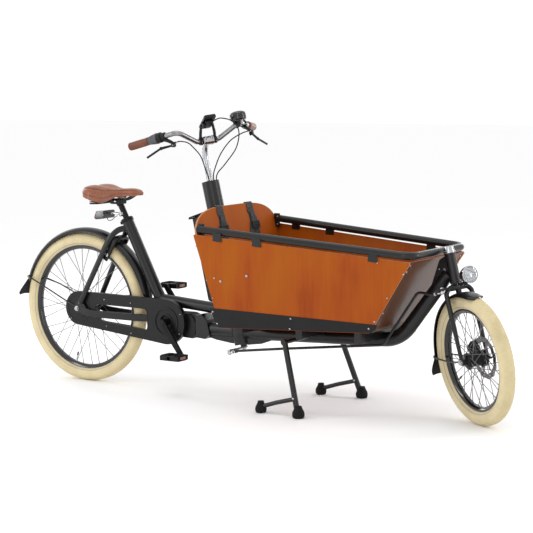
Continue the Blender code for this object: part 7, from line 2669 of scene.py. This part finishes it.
class Drive:
    """The motor, chain case, chain, cranks and pedals."""

    def __init__(self, copier: Copier, crank: Point = (0.496, 0.0, 0.311), rear_z: float = 0.3395,
                 length: float = 0.170, angle: float = math.radians(-54.0),
                 chain_y: float = -0.048) -> None:
        """Keeps the crank's place, length and rest angle.

        Args:
            copier: Makes the copies.
            crank: Middle of the crank's axle.
            rear_z: Height of the rear axle.
            length: Length of a crank.
            angle: The right crank's angle at rest.
            chain_y: The chain's place across the bike.
        """
        self.copier = copier
        self.crank = Vector(crank)
        self.rear_z = rear_z
        self.length = length
        self.angle = angle
        self.chain_y = chain_y

    def build(self) -> None:
        """Builds the drive from the motor to the pedals."""
        self.motor()
        self.case()
        self.chain()
        self.chain_wheel()
        for which, name in ((-1, "right"), (1, "left")):
            self.crank_arm(which, name)
            self.pedal(which, name)

    def motor(self) -> None:
        """The motor's ribbed housing with its cover and mounting foot."""
        x, z = self.crank.x, self.crank.z
        form = Form(Look.PLASTIC)
        outline = band([(x, z, 0.034), (0.512, 0.300, 0.052), (0.590, 0.302, 0.050), (0.612, 0.270, 0.026)])
        form.slab(outline, -0.034, 0.040, edge=0.004, holes=[circle(0.0095, 28, 1.0, (x, z))])
        for y in (-0.020, -0.008, 0.004, 0.016, 0.028):
            low, high = y - 0.0016, y + 0.0016
            form.slab(band([(0.540, 0.300, 0.0528), (0.590, 0.302, 0.0518), (0.611, 0.270, 0.0282)]), low,
                      high, edge=0.0006)
        for low, high in ((-0.0395, -0.030), (0.038, 0.046)):
            form.slab(circle(0.0460, 56, 1.0, (0.535, 0.304)), low, high, edge=0.0020,
                      holes=[circle(0.0095, 28, 1.0, (x, z))])
        form.slab(circle(0.030, 48, 1.0, (0.548, 0.304)), 0.0455, 0.0480, edge=0.0010)
        form.block((0.600, -0.028, 0.300), (0.6455, 0.028, 0.345), 0.003)
        for i in range(5):
            form.block((0.604 + i * 0.0085, -0.0290, 0.3000), (0.6075 + i * 0.0085, 0.0290, 0.3475), 0.001)
        spots = []
        for i in range(6):
            a = 2 * math.pi * (i + 0.25) / 6
            spots.append(((0.535 + 0.040 * math.cos(a), -0.0395, 0.304 + 0.040 * math.sin(a)), (0, -1, 0),
                          2.6))
            spots.append(((0.535 + 0.040 * math.cos(a), 0.0460, 0.304 + 0.040 * math.sin(a)), (0, 1, 0),
                          2.6))
        self.copier.screws(form, spots)
        form.done("motor_skin", "frame", "motor", slot="black_plastic")

    def case(self) -> None:
        """The chain case: a thin shell with a long slot that the chain stay runs through."""
        x, z = self.crank.x, self.crank.z
        rear = (0.0, self.rear_z, 0.077)
        front = (x, z, 0.100)
        slot = [(0.112, 0.348, 0.016), (0.374, 0.345, 0.016), (0.376, 0.282, 0.016), (0.128, 0.304, 0.014)]

        def grown(extra: float) -> list[tuple[float, float]]:
            """The slot's outline, made larger."""
            return band([(a, b, r + extra) for a, b, r in slot], 32)

        axle_hole = circle(0.022, 36, 1.0, (0.0, self.rear_z))
        spindle_hole = circle(0.030, 40, 1.0, (x, z))
        form = Form(Look.PLASTIC)
        form.slab(band([rear, front], 72), -0.0575, -0.0552, edge=0.0010,
                  holes=[grown(0.0), axle_hole, spindle_hole])
        form.slab(band([rear, front], 72), -0.0556, -0.0370, edge=0.0004,
                  holes=[band([(a, b, r - 0.0025) for a, b, r in (rear, front)], 72)])
        form.slab(grown(0.0025), -0.0565, -0.0370, edge=0.0003, holes=[grown(0.0)])
        form.slab(circle(0.0660, 72, 1.0, (0.0, self.rear_z)), -0.0588, -0.0570, edge=0.0006,
                  holes=[circle(0.0600, 72, 1.0, (0.0, self.rear_z))])
        form.slab(circle(0.0480, 64, 1.0, (0.0, self.rear_z)), -0.0592, -0.0570, edge=0.0008,
                  holes=[axle_hole])
        for outer, inner, face in ((0.0660, 0.0560, -0.0605), (0.0545, 0.0525, -0.0590),
                                   (0.0390, 0.0310, -0.0600)):
            form.slab(circle(outer, 72, 1.0, (x, z)), face, -0.0570, edge=0.0007,
                      holes=[circle(inner, 64, 1.0, (x, z))])
        form.slab(grown(0.0050), -0.0586, -0.0570, edge=0.0006, holes=[grown(0.0002)])
        form.lathe([(0, -0.0655), (0.0068, -0.0655), (0.0075, -0.0648), (0.0075, -0.0570), (0, -0.0570)],
                   28, at=Matrix.Translation((0.060, 0, self.rear_z - 0.003)))
        spots = [((px, -0.0576, pz), (0, -1, 0), 2.8) for px, pz in
                 ((-0.062, 0.365), (-0.045, 0.290), (0.30, 0.382), (0.30, 0.246), (0.150, 0.388),
                  (0.160, 0.268), (0.575, 0.350), (0.568, 0.262))]
        self.copier.screws(form, spots)
        form.done("chaincase_skin", "frame", "chaincase", slot="black_plastic")

    def chain(self) -> None:
        """A roller chain: one outer and one inner link, copied along its line."""
        line = band([(0.0, self.rear_z, 0.040), (self.crank.x, self.crank.z, 0.074)], 96)
        path = [(x, self.chain_y, z) for x, z in line]
        link = loose(Look.STEEL)
        for start, out in ((-0.0127, 0.0036), (0.0, 0.0024)):
            plate = band([(start, 0.0, 0.0038), (start + 0.0127, 0.0, 0.0038)], 10)
            for side in (-out, out):
                link.slab(plate, side - 0.00045, side + 0.00045, Axis.Z, edge=0.0)
        for x in (-0.0127, 0.0):
            link.tube([(x, 0, -0.0038), (x, 0, 0.0038)], 0.0024, 8, Vector((1, 0, 0)))
        form = Form(Look.STEEL)
        length = sum((Vector(b) - Vector(a)).length for a, b in zip(path, path[1:] + path[:1]))
        form.take(self.copier.along(link, path, round(length / 0.0254), SIDEWAYS, True))
        form.done("chain_skin", "frame", "chain", slot="bright_steel")

    def chain_wheel(self) -> None:
        """The toothed chain wheel with its five windows."""
        x, y, z = self.crank.x, self.chain_y, self.crank.z
        form = Form(Look.ALLOY, BIKE @ Matrix.Translation((x, 0, z)))
        holes = [circle(0.0094, 28)]
        for i in range(5):
            a = 2 * math.pi * (i + 0.5) / 5
            holes.append(circle(0.0130, 28, 1.0, (0.044 * math.cos(a), 0.044 * math.sin(a))))
        form.slab(circle(0.0685, 84), y - 0.0016, y + 0.0016, edge=0.0003, holes=holes)
        tooth = loose(Look.ALLOY)
        tooth.slab([(0.0675, -0.0046), (0.0705, -0.0026), (0.0716, -0.0012), (0.0716, 0.0012),
                    (0.0705, 0.0026), (0.0675, 0.0046)], y - 0.0011, y + 0.0011, edge=0.0)
        form.take(self.copier.ring(tooth, 36))
        form.done("chain_wheel_skin", "cranks", "chain_wheel", slot="dark_alloy")

    def crank_arm(self, which: int, name: str) -> None:
        """One crank with its boss, bolt cap and pedal axle.

        Args:
            which: -1 for the right side, 1 for the left.
            name: The CAD node's name.
        """
        angle = self.angle if which < 0 else self.angle + math.pi
        tip = Vector((self.length * math.cos(angle), 0, self.length * math.sin(angle)))
        form = Form(Look.ALLOY, BIKE @ Matrix.Translation(self.crank))
        low, high = sorted((which * 0.075, which * 0.089))
        form.slab(band([(0, 0, 0.0155), (tip.x, tip.z, 0.0115)], 64), low, high, edge=0.0032)
        near = tip * 0.22
        far = tip * 0.80
        low, high = sorted((which * 0.0885, which * 0.0894))
        form.slab(band([(near.x, near.z, 0.0042), (far.x, far.z, 0.0034)], 32), low, high, edge=0.0004)
        inner = self.chain_y - 0.0021
        if which < 0:
            form.lathe([(0, -0.0840), (0.0150, -0.0840), (0.0150, inner - 0.001), (0.0140, inner),
                        (0, inner)], 40)
            form.lathe([(0, inner), (0.009, inner), (0.009, 0.0747), (0, 0.0747)], 28, look=Look.STEEL)
        else:
            form.lathe([(0, 0.076), (0.0150, 0.076), (0.0150, 0.0905), (0.0140, 0.0920), (0, 0.0920)], 40)
        cap = which * 0.0885
        step = which * 0.001
        form.lathe([(0, cap), (0.0105, cap), (0.0108, cap + step), (0.0100, cap + 2 * step),
                    (0.0060, cap + 2.2 * step), (0.0056, cap + 1.2 * step), (0, cap + 1.2 * step)], 36,
                   look=Look.PLASTIC)
        near = which * 0.088
        far = which * 0.173
        form.tube([tip + SIDEWAYS * y for y in (near, near + which * 0.0020, near + which * 0.0022, far)],
                  [0.0085, 0.0085, 0.0045, 0.0045], 20, Vector((1, 0, 0)), Look.STEEL)
        form.done("crank_" + name + "_skin", "cranks", "crank_" + name, slot="dark_alloy")

    def pedal(self, which: int, name: str) -> None:
        """A block pedal with ridged rubber treads and amber reflectors.

        Args:
            which: -1 for the right side, 1 for the left.
            name: The CAD node's name.
        """
        angle = self.angle if which < 0 else self.angle + math.pi
        tip = Vector((self.length * math.cos(angle), which * 0.091,
                      self.length * math.sin(angle))) + self.crank
        flip = Matrix.Diagonal((1, which, 1, 1))
        form = Form(Look.PLASTIC, BIKE @ Matrix.Translation(tip) @ flip)
        for y in (0.0040, 0.0770):
            form.block((-0.047, y, -0.011), (0.047, y + 0.009, 0.011), 0.0025)
        for x in (-0.033, 0.033):
            form.block((x - 0.014, 0.0125, -0.0105), (x + 0.0145, 0.0775, 0.0105), 0.002, Look.RUBBER)
            for i in range(11):
                y = 0.0165 + 0.0056 * i
                form.block((x - 0.0145, y, -0.0125), (x + 0.0150, y + 0.0030, 0.0125), 0.0006, Look.RUBBER)
        form.lathe([(0.0048, 0.0015), (0.0088, 0.0015), (0.0095, 0.0025), (0.0095, 0.0850),
                    (0.0085, 0.0860), (0, 0.0860), (0, 0.0830), (0.0048, 0.0825)], 32)
        for x in (-1, 1):
            form.block((x * 0.0478 - 0.0012, 0.026, -0.0058), (x * 0.0478 + 0.0012, 0.064, 0.0058),
                       0.0006, Look.AMBER)
        form.done("pedal_" + name + "_skin", name + "_pedal", "pedal_" + name, slot="black_plastic")


class Battery:
    """The battery's case on the back panel and its hinged lid."""

    def __init__(self, box: CargoBox, copier: Copier, low: float = 0.432, high: float = 0.786,
                 rise: float = 0.040, depth: float = 0.120,
                 sides: tuple[float, float] = (-0.145, -0.046)) -> None:
        """Keeps the box it hangs on, and its heights, depth and sides.

        Args:
            box: The cargo box it hangs on.
            copier: Makes the copies.
            low: Height of its foot.
            high: Height of its top.
            rise: How far its top slopes up.
            depth: Its depth.
            sides: Its sides across the bike.
        """
        self.box = box
        self.copier = copier
        self.low = low
        self.high = high
        self.rise = rise
        self.depth = depth
        self.sides = sides

    def rear(self, z: float) -> float:
        """The back panel's rear face."""
        return self.box.back_x(z) + 0.0027

    def build(self) -> None:
        """Builds the case and the lid."""
        low, high, top = self.low, self.high, self.high + self.rise
        a, b = self.sides
        corners = [(self.rear(low) - self.depth, low), (self.rear(low), low), (self.rear(top), top),
                   (self.rear(high) - self.depth, high)]
        outline = round_corners(corners, (0.016, 0.002, 0.001, 0.001))
        form = Form(Look.PLASTIC)
        form.slab(outline, a, b, edge=0.0050)
        middle = (a + b) / 2
        low_face = self.rear(0.50) - self.depth
        high_face = self.rear(0.74) - self.depth
        strip = [(low_face - 0.0012, 0.470), (low_face + 0.004, 0.470),
                 (high_face + 0.004, 0.745), (high_face - 0.0012, 0.745)]
        form.slab(round_corners(strip, (0.0005,) * 4), middle - 0.030, middle + 0.030, edge=0.0008)
        for z in (0.470, 0.745):
            self.copier.screws(form, [((self.rear(z) - 0.03, a - 0.0002, z), (0, -1, 0), 3.4),
                                      ((self.rear(z) - 0.09, a - 0.0002, z), (0, -1, 0), 3.4),
                                      ((self.rear(z) - 0.03, b + 0.0002, z), (0, 1, 0), 3.4)])
        back_plate = [(self.rear(0.44) + 0.0002, 0.44), (self.rear(0.44) - 0.006, 0.44),
                      (self.rear(0.80) - 0.006, 0.80), (self.rear(0.80) + 0.0002, 0.80)]
        form.slab(back_plate, a - 0.0060, b + 0.0040, edge=0.0010)
        form.done("battery_case_skin", "frame", "battery_case", slot="black_plastic")
        slope = self.rise / self.depth
        back = self.rear(high) - self.depth - 0.014
        front = self.rear(top + 0.008) - 0.0065

        def seat(x: float) -> float:
            """The lid's underside at an X."""
            return top - (self.rear(top) - x) * slope + 0.0006

        lid = Form(Look.PLASTIC)
        outline = [(back, seat(back) - 0.006), (back + 0.004, seat(back + 0.004) - 0.006),
                   (back + 0.0045, seat(back)), (front, seat(front)), (front, seat(front) + 0.005),
                   (back + 0.006, seat(back) + 0.006), (back + 0.001, seat(back) + 0.004)]
        lid.slab(outline, a - 0.006, b + 0.004, edge=0.0012)
        centre = Vector(((back + front) / 2, middle, seat((back + front) / 2) + 0.0050))
        lid.slab(box_outline(0.040, 0.034, 0.010), -0.0004, 0.0012, Axis.Z, edge=0.0005,
                 at=aim(centre, (-slope, 0, 1), (0, 1, 0)))
        self.copier.screws(lid, [((back - 0.0002, middle - 0.026, seat(back) - 0.0005), (-1, 0, 0), 3.6)])
        lid.done("battery_lid_skin", "lid", "battery_lid", slot="black_plastic")


class Stand:
    """The two-legged stand on its shaft."""

    def __init__(self, copier: Copier, pivot: tuple[float, float] = (1.220, 0.300)) -> None:
        """Keeps the tool for copies and the shaft's place."""
        self.copier = copier
        self.pivot = pivot

    def build(self) -> None:
        """Builds the shaft, the legs with their struts, and the rubber feet."""
        x, z = self.pivot
        form = Form(Look.FRAME)
        form.tube([(x, y, z) for y in (-0.216, -0.2145, 0.2145, 0.216)], [0.0080, 0.0090, 0.0090, 0.0080],
                  32, Vector((1, 0, 0)))
        for which in (-1, 1):
            hip = Vector((x, which * 0.209, z))
            knee = Vector((1.308, which * 0.252, 0.018))
            form.tube([hip, knee], 0.0120, 28)
            form.lathe([(0, -0.0125), (0.0120, -0.0125), (0.0128, -0.0115), (0.0128, 0.0065),
                        (0.0120, 0.0075), (0, 0.0075)], 32, at=Matrix.Translation(hip))
            form.tube(on_hand([(1.292, 0.2422, 0.076), (1.20, 0.2385, 0.052), (1.118, 0.235, 0.026)],
                              which),
                      0.0092, 24)
            pin = Vector((1.288, which * 0.2420, 0.078))
            form.tube([pin - SIDEWAYS * 0.0135, pin + SIDEWAYS * 0.0135], 0.0042, 16, Vector((1, 0, 0)),
                      Look.STEEL)
            self.copier.screws(form, [(pin + SIDEWAYS * (which * 0.0125), (0, which, 0), 5.0)])
            for fx, fy, size in ((1.312, 0.253, 0.019), (1.116, 0.235, 0.017)):
                foot = [(0, 0.0), (size - 0.003, 0.0), (size + 0.002, 0.0015), (size + 0.0055, 0.006),
                        (size + 0.0070, 0.013), (size + 0.0068, 0.020), (size + 0.0045, 0.028),
                        (size, 0.036), (size * 0.80, 0.044), (size * 0.76, 0.050), (0, 0.052)]
                form.lathe(foot, 40, Axis.Z, Look.RUBBER, Matrix.Translation((fx, which * fy, 0)))
        form.done("stand_frame_skin", "stand", "stand_frame", slot="frame_paint")


class RingLock:
    """The horseshoe lock between the seat stays."""

    def __init__(self, copier: Copier, rear_z: float = 0.3395) -> None:
        """Keeps the tool for copies and the rear axle's height."""
        self.copier = copier
        self.rear_z = rear_z

    def build(self) -> None:
        """Builds both arms, the bridge, the key housing and the pins."""
        place = Matrix.Translation((0, 0, self.rear_z)) @ Matrix.Rotation(math.radians(-57), 4, "Y")
        form = Form(Look.PLASTIC)
        path = bent_path([(0.272, -0.0432, 0), (0.392, -0.0432, 0), (0.392, 0.0432, 0),
                          (0.272, 0.0432, 0)], 0.022, 8)
        form.sweep(path, box_outline(0.0125, 0.0057, 0.004), UP, at=place)
        form.slab(box_outline(0.020, 0.0128, 0.006), -0.0500, -0.0375, Axis.Y, Look.PLASTIC, 0.0015,
                  at=place @ Matrix.Translation((0.300, 0, 0)))
        form.lathe([(0, -0.0508), (0.0085, -0.0508), (0.0090, -0.0500), (0.0090, -0.0480), (0, -0.0480)],
                   32, look=Look.STEEL, at=place @ Matrix.Translation((0.300, 0, 0)))
        form.slab(box_outline(0.020, 0.0060, 0.003), 0.0128, 0.0140, Axis.Z, Look.STEEL, 0.0004,
                  at=place @ Matrix.Translation((0.350, -0.0430, 0)))
        for which in (-1, 1):
            low, high = sorted((which * 0.0435, which * 0.0585))
            form.tube([(0.1515, low, 0.5965), (0.1515, high, 0.5965)], 0.0060, 20, Vector((1, 0, 0)),
                      Look.STEEL)
        form.done("ring_lock_skin", "frame", "ring_lock", slot="black_plastic")


class Studio:
    """The pale floor, soft lights and the camera."""

    def build(self) -> None:
        """Builds the floor, the world, the lights and the camera."""
        flat = bpy.data.meshes.new("studio_floor")
        flat.from_pydata([(-30, -30, 0), (30, -30, 0), (30, 30, 0), (-30, 30, 0)], [], [(0, 1, 2, 3)])
        flat.materials.append(Look.STUDIO.material)
        floor = bpy.data.objects.new("studio_floor", flat)
        bpy.context.scene.collection.objects.link(floor)
        world = bpy.data.worlds.new("studio")
        world.use_nodes = True
        world.node_tree.nodes["Background"].inputs["Color"].default_value = (1.0, 1.0, 1.0, 1.0)
        world.node_tree.nodes["Background"].inputs["Strength"].default_value = 1.02
        bpy.context.scene.world = world
        bpy.context.scene.view_settings.view_transform = "Standard"
        for turn, power in ((24.0, 34.0), (-62.0, 16.0), (-136.0, 34.0), (165.0, 26.0), (95.0, 26.0)):
            way = Vector((math.cos(math.radians(turn)), math.sin(math.radians(turn)), 0.0))
            self.softbox("strip", way * 4.6 + UP * 1.7, UP * 0.5, (0.5, 2.6), power)
        self.softbox("top", (0.2, -0.6, 4.4), (0.2, 0.0, 0.4), (3.2, 1.2), 26.0)
        self.camera()

    def softbox(self, name: str, place: Point, target: Point, size: tuple[float, float],
                power: float) -> None:
        """A square area light that looks at a point.

        Args:
            name: The light's name.
            place: Where it stands.
            target: The point it looks at.
            size: Its width and height.
            power: Its power in watts.
        """
        lamp = bpy.data.lights.new(name, "AREA")
        lamp.shape = "RECTANGLE"
        lamp.size, lamp.size_y = size
        lamp.energy = power
        thing = bpy.data.objects.new(name, lamp)
        thing.matrix_world = aim(place, Vector(place) - Vector(target))
        bpy.context.scene.collection.objects.link(thing)

    def camera(self) -> None:
        """The camera, fitted to the photograph's view."""
        place = Vector((4.1817, -6.132, 1.434))
        target = Vector((0.0738, 0.0, 0.5789))
        lens = bpy.data.cameras.new("camera")
        lens.sensor_width = 36.0
        lens.lens = 117.9
        thing = bpy.data.objects.new("camera", lens)
        thing.matrix_world = aim(place, place - target) @ Matrix.Rotation(math.radians(-0.618), 4, "Z")
        bpy.context.scene.collection.objects.link(thing)
        bpy.context.scene.camera = thing


def wheels(copier: Copier) -> list[Wheel]:
    """Both wheels.

    Args:
        copier: Makes the copies.

    Returns:
        The two wheels.
    """
    rear = WheelSizes("rear", "rear_wheel", BIKE @ Matrix.Translation((0, 0, 0.3395)), 0.3395, 0.058,
                      0.2795, 0.052, 0.040, 0.0808, math.atan2(-0.25, -0.066), 132)
    front = WheelSizes("front", "front_wheel", FORK @ Matrix.Translation((0.0255, 0, 0)), 0.2655, 0.060,
                       0.203, 0.034, 0.026, 0.0733, math.radians(205), 104)
    return [Wheel(rear, copier), Wheel(front, copier)]


def fenders(frame_sizes: FrameSizes, copier: Copier) -> None:
    """Both fenders with what holds them.

    Args:
        frame_sizes: The frame's sizes.
        copier: Makes the copies.
    """
    rear_flap = ((-0.3318, 0.4520), (-0.3440, 0.4250), (-0.3620, 0.3980), (-0.3780, 0.3760))
    rear = FenderSizes("rear_fender", "frame", BIKE, (0.013, 0.341), 0.3635, 0.020, 9, 163, rear_flap,
                       (0.026, 0.036, 0.046, 0.052, 0.054, 0.050, 0.034),
                       ((-0.318, 0.030, 0.463), (-0.305, 0.0390, 0.4600), (-0.20, 0.0560, 0.424),
                        (-0.078, 0.0611, 0.372), (-0.012, 0.0611, 0.3455)), (-0.318, 0.0345, 0.4635))
    low = Vector(frame_sizes.seat_low)
    along = (Vector(frame_sizes.seat_top) - low).normalized()
    forward = Vector((along.z, 0, -along.x))
    centre = Vector((0.013, 0, 0.341))

    def rear_tab(form: Form) -> None:
        """The stub that holds the rear fender on the seat tube."""
        reach = (low - centre).dot(forward)
        form.tube([centre + forward * 0.3618, centre + forward * (reach - 0.0262)], 0.0080, 24,
                  look=Look.STEEL)

    def front_tab(form: Form) -> None:
        """The tab that holds the front fender under the fork's crown."""
        form.block((0.0, -0.008, 0.2700), (0.020, 0.008, 0.2868), 0.001)

    Fender(rear, copier).build(rear_tab)
    front_flap = ((-0.2418, 0.052), (-0.2465, 0.020), (-0.261, -0.012), (-0.283, -0.042))
    front = FenderSizes("front_fender", "front_fork", FORK, (0.0255, 0.0), 0.2735, 0.014, 63, 178,
                        front_flap, (0.029, 0.032, 0.036, 0.042, 0.046, 0.044, 0.036),
                        ((-0.2425, 0.030, 0.030), (-0.231, 0.0395, 0.028), (-0.10, 0.052, 0.008),
                         (-0.02, 0.0575, 0.004), (0.0175, 0.0635, 0.003)), (-0.239, 0.0335, 0.030),
                        nose=0.14)
    Fender(front, copier).build(front_tab)


def main() -> None:
    """Builds the bike's pieces in order, then the studio."""
    logging.basicConfig(level=logging.INFO, format="%(name)s: %(message)s")
    copier = Copier()
    frame_sizes = FrameSizes()
    box = CargoBox(BoxSizes(), copier)
    Studio().build()
    for wheel in wheels(copier):
        wheel.build()
    BrakeDisc(FORK @ Matrix.Translation((0.0255, 0, 0)), copier).build()
    BikeFrame(frame_sizes, copier).build()
    box.build()
    Battery(box, copier).build()
    Saddle(SaddleSizes(), frame_sizes, copier).build()
    Steering(BarSizes(), copier).build()
    TieRod().build()
    Fork(copier).build()
    fenders(frame_sizes, copier)
    Drive(copier).build()
    Stand(copier).build()
    RingLock(copier).build()
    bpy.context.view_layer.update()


if __name__ == "__main__":
    main()
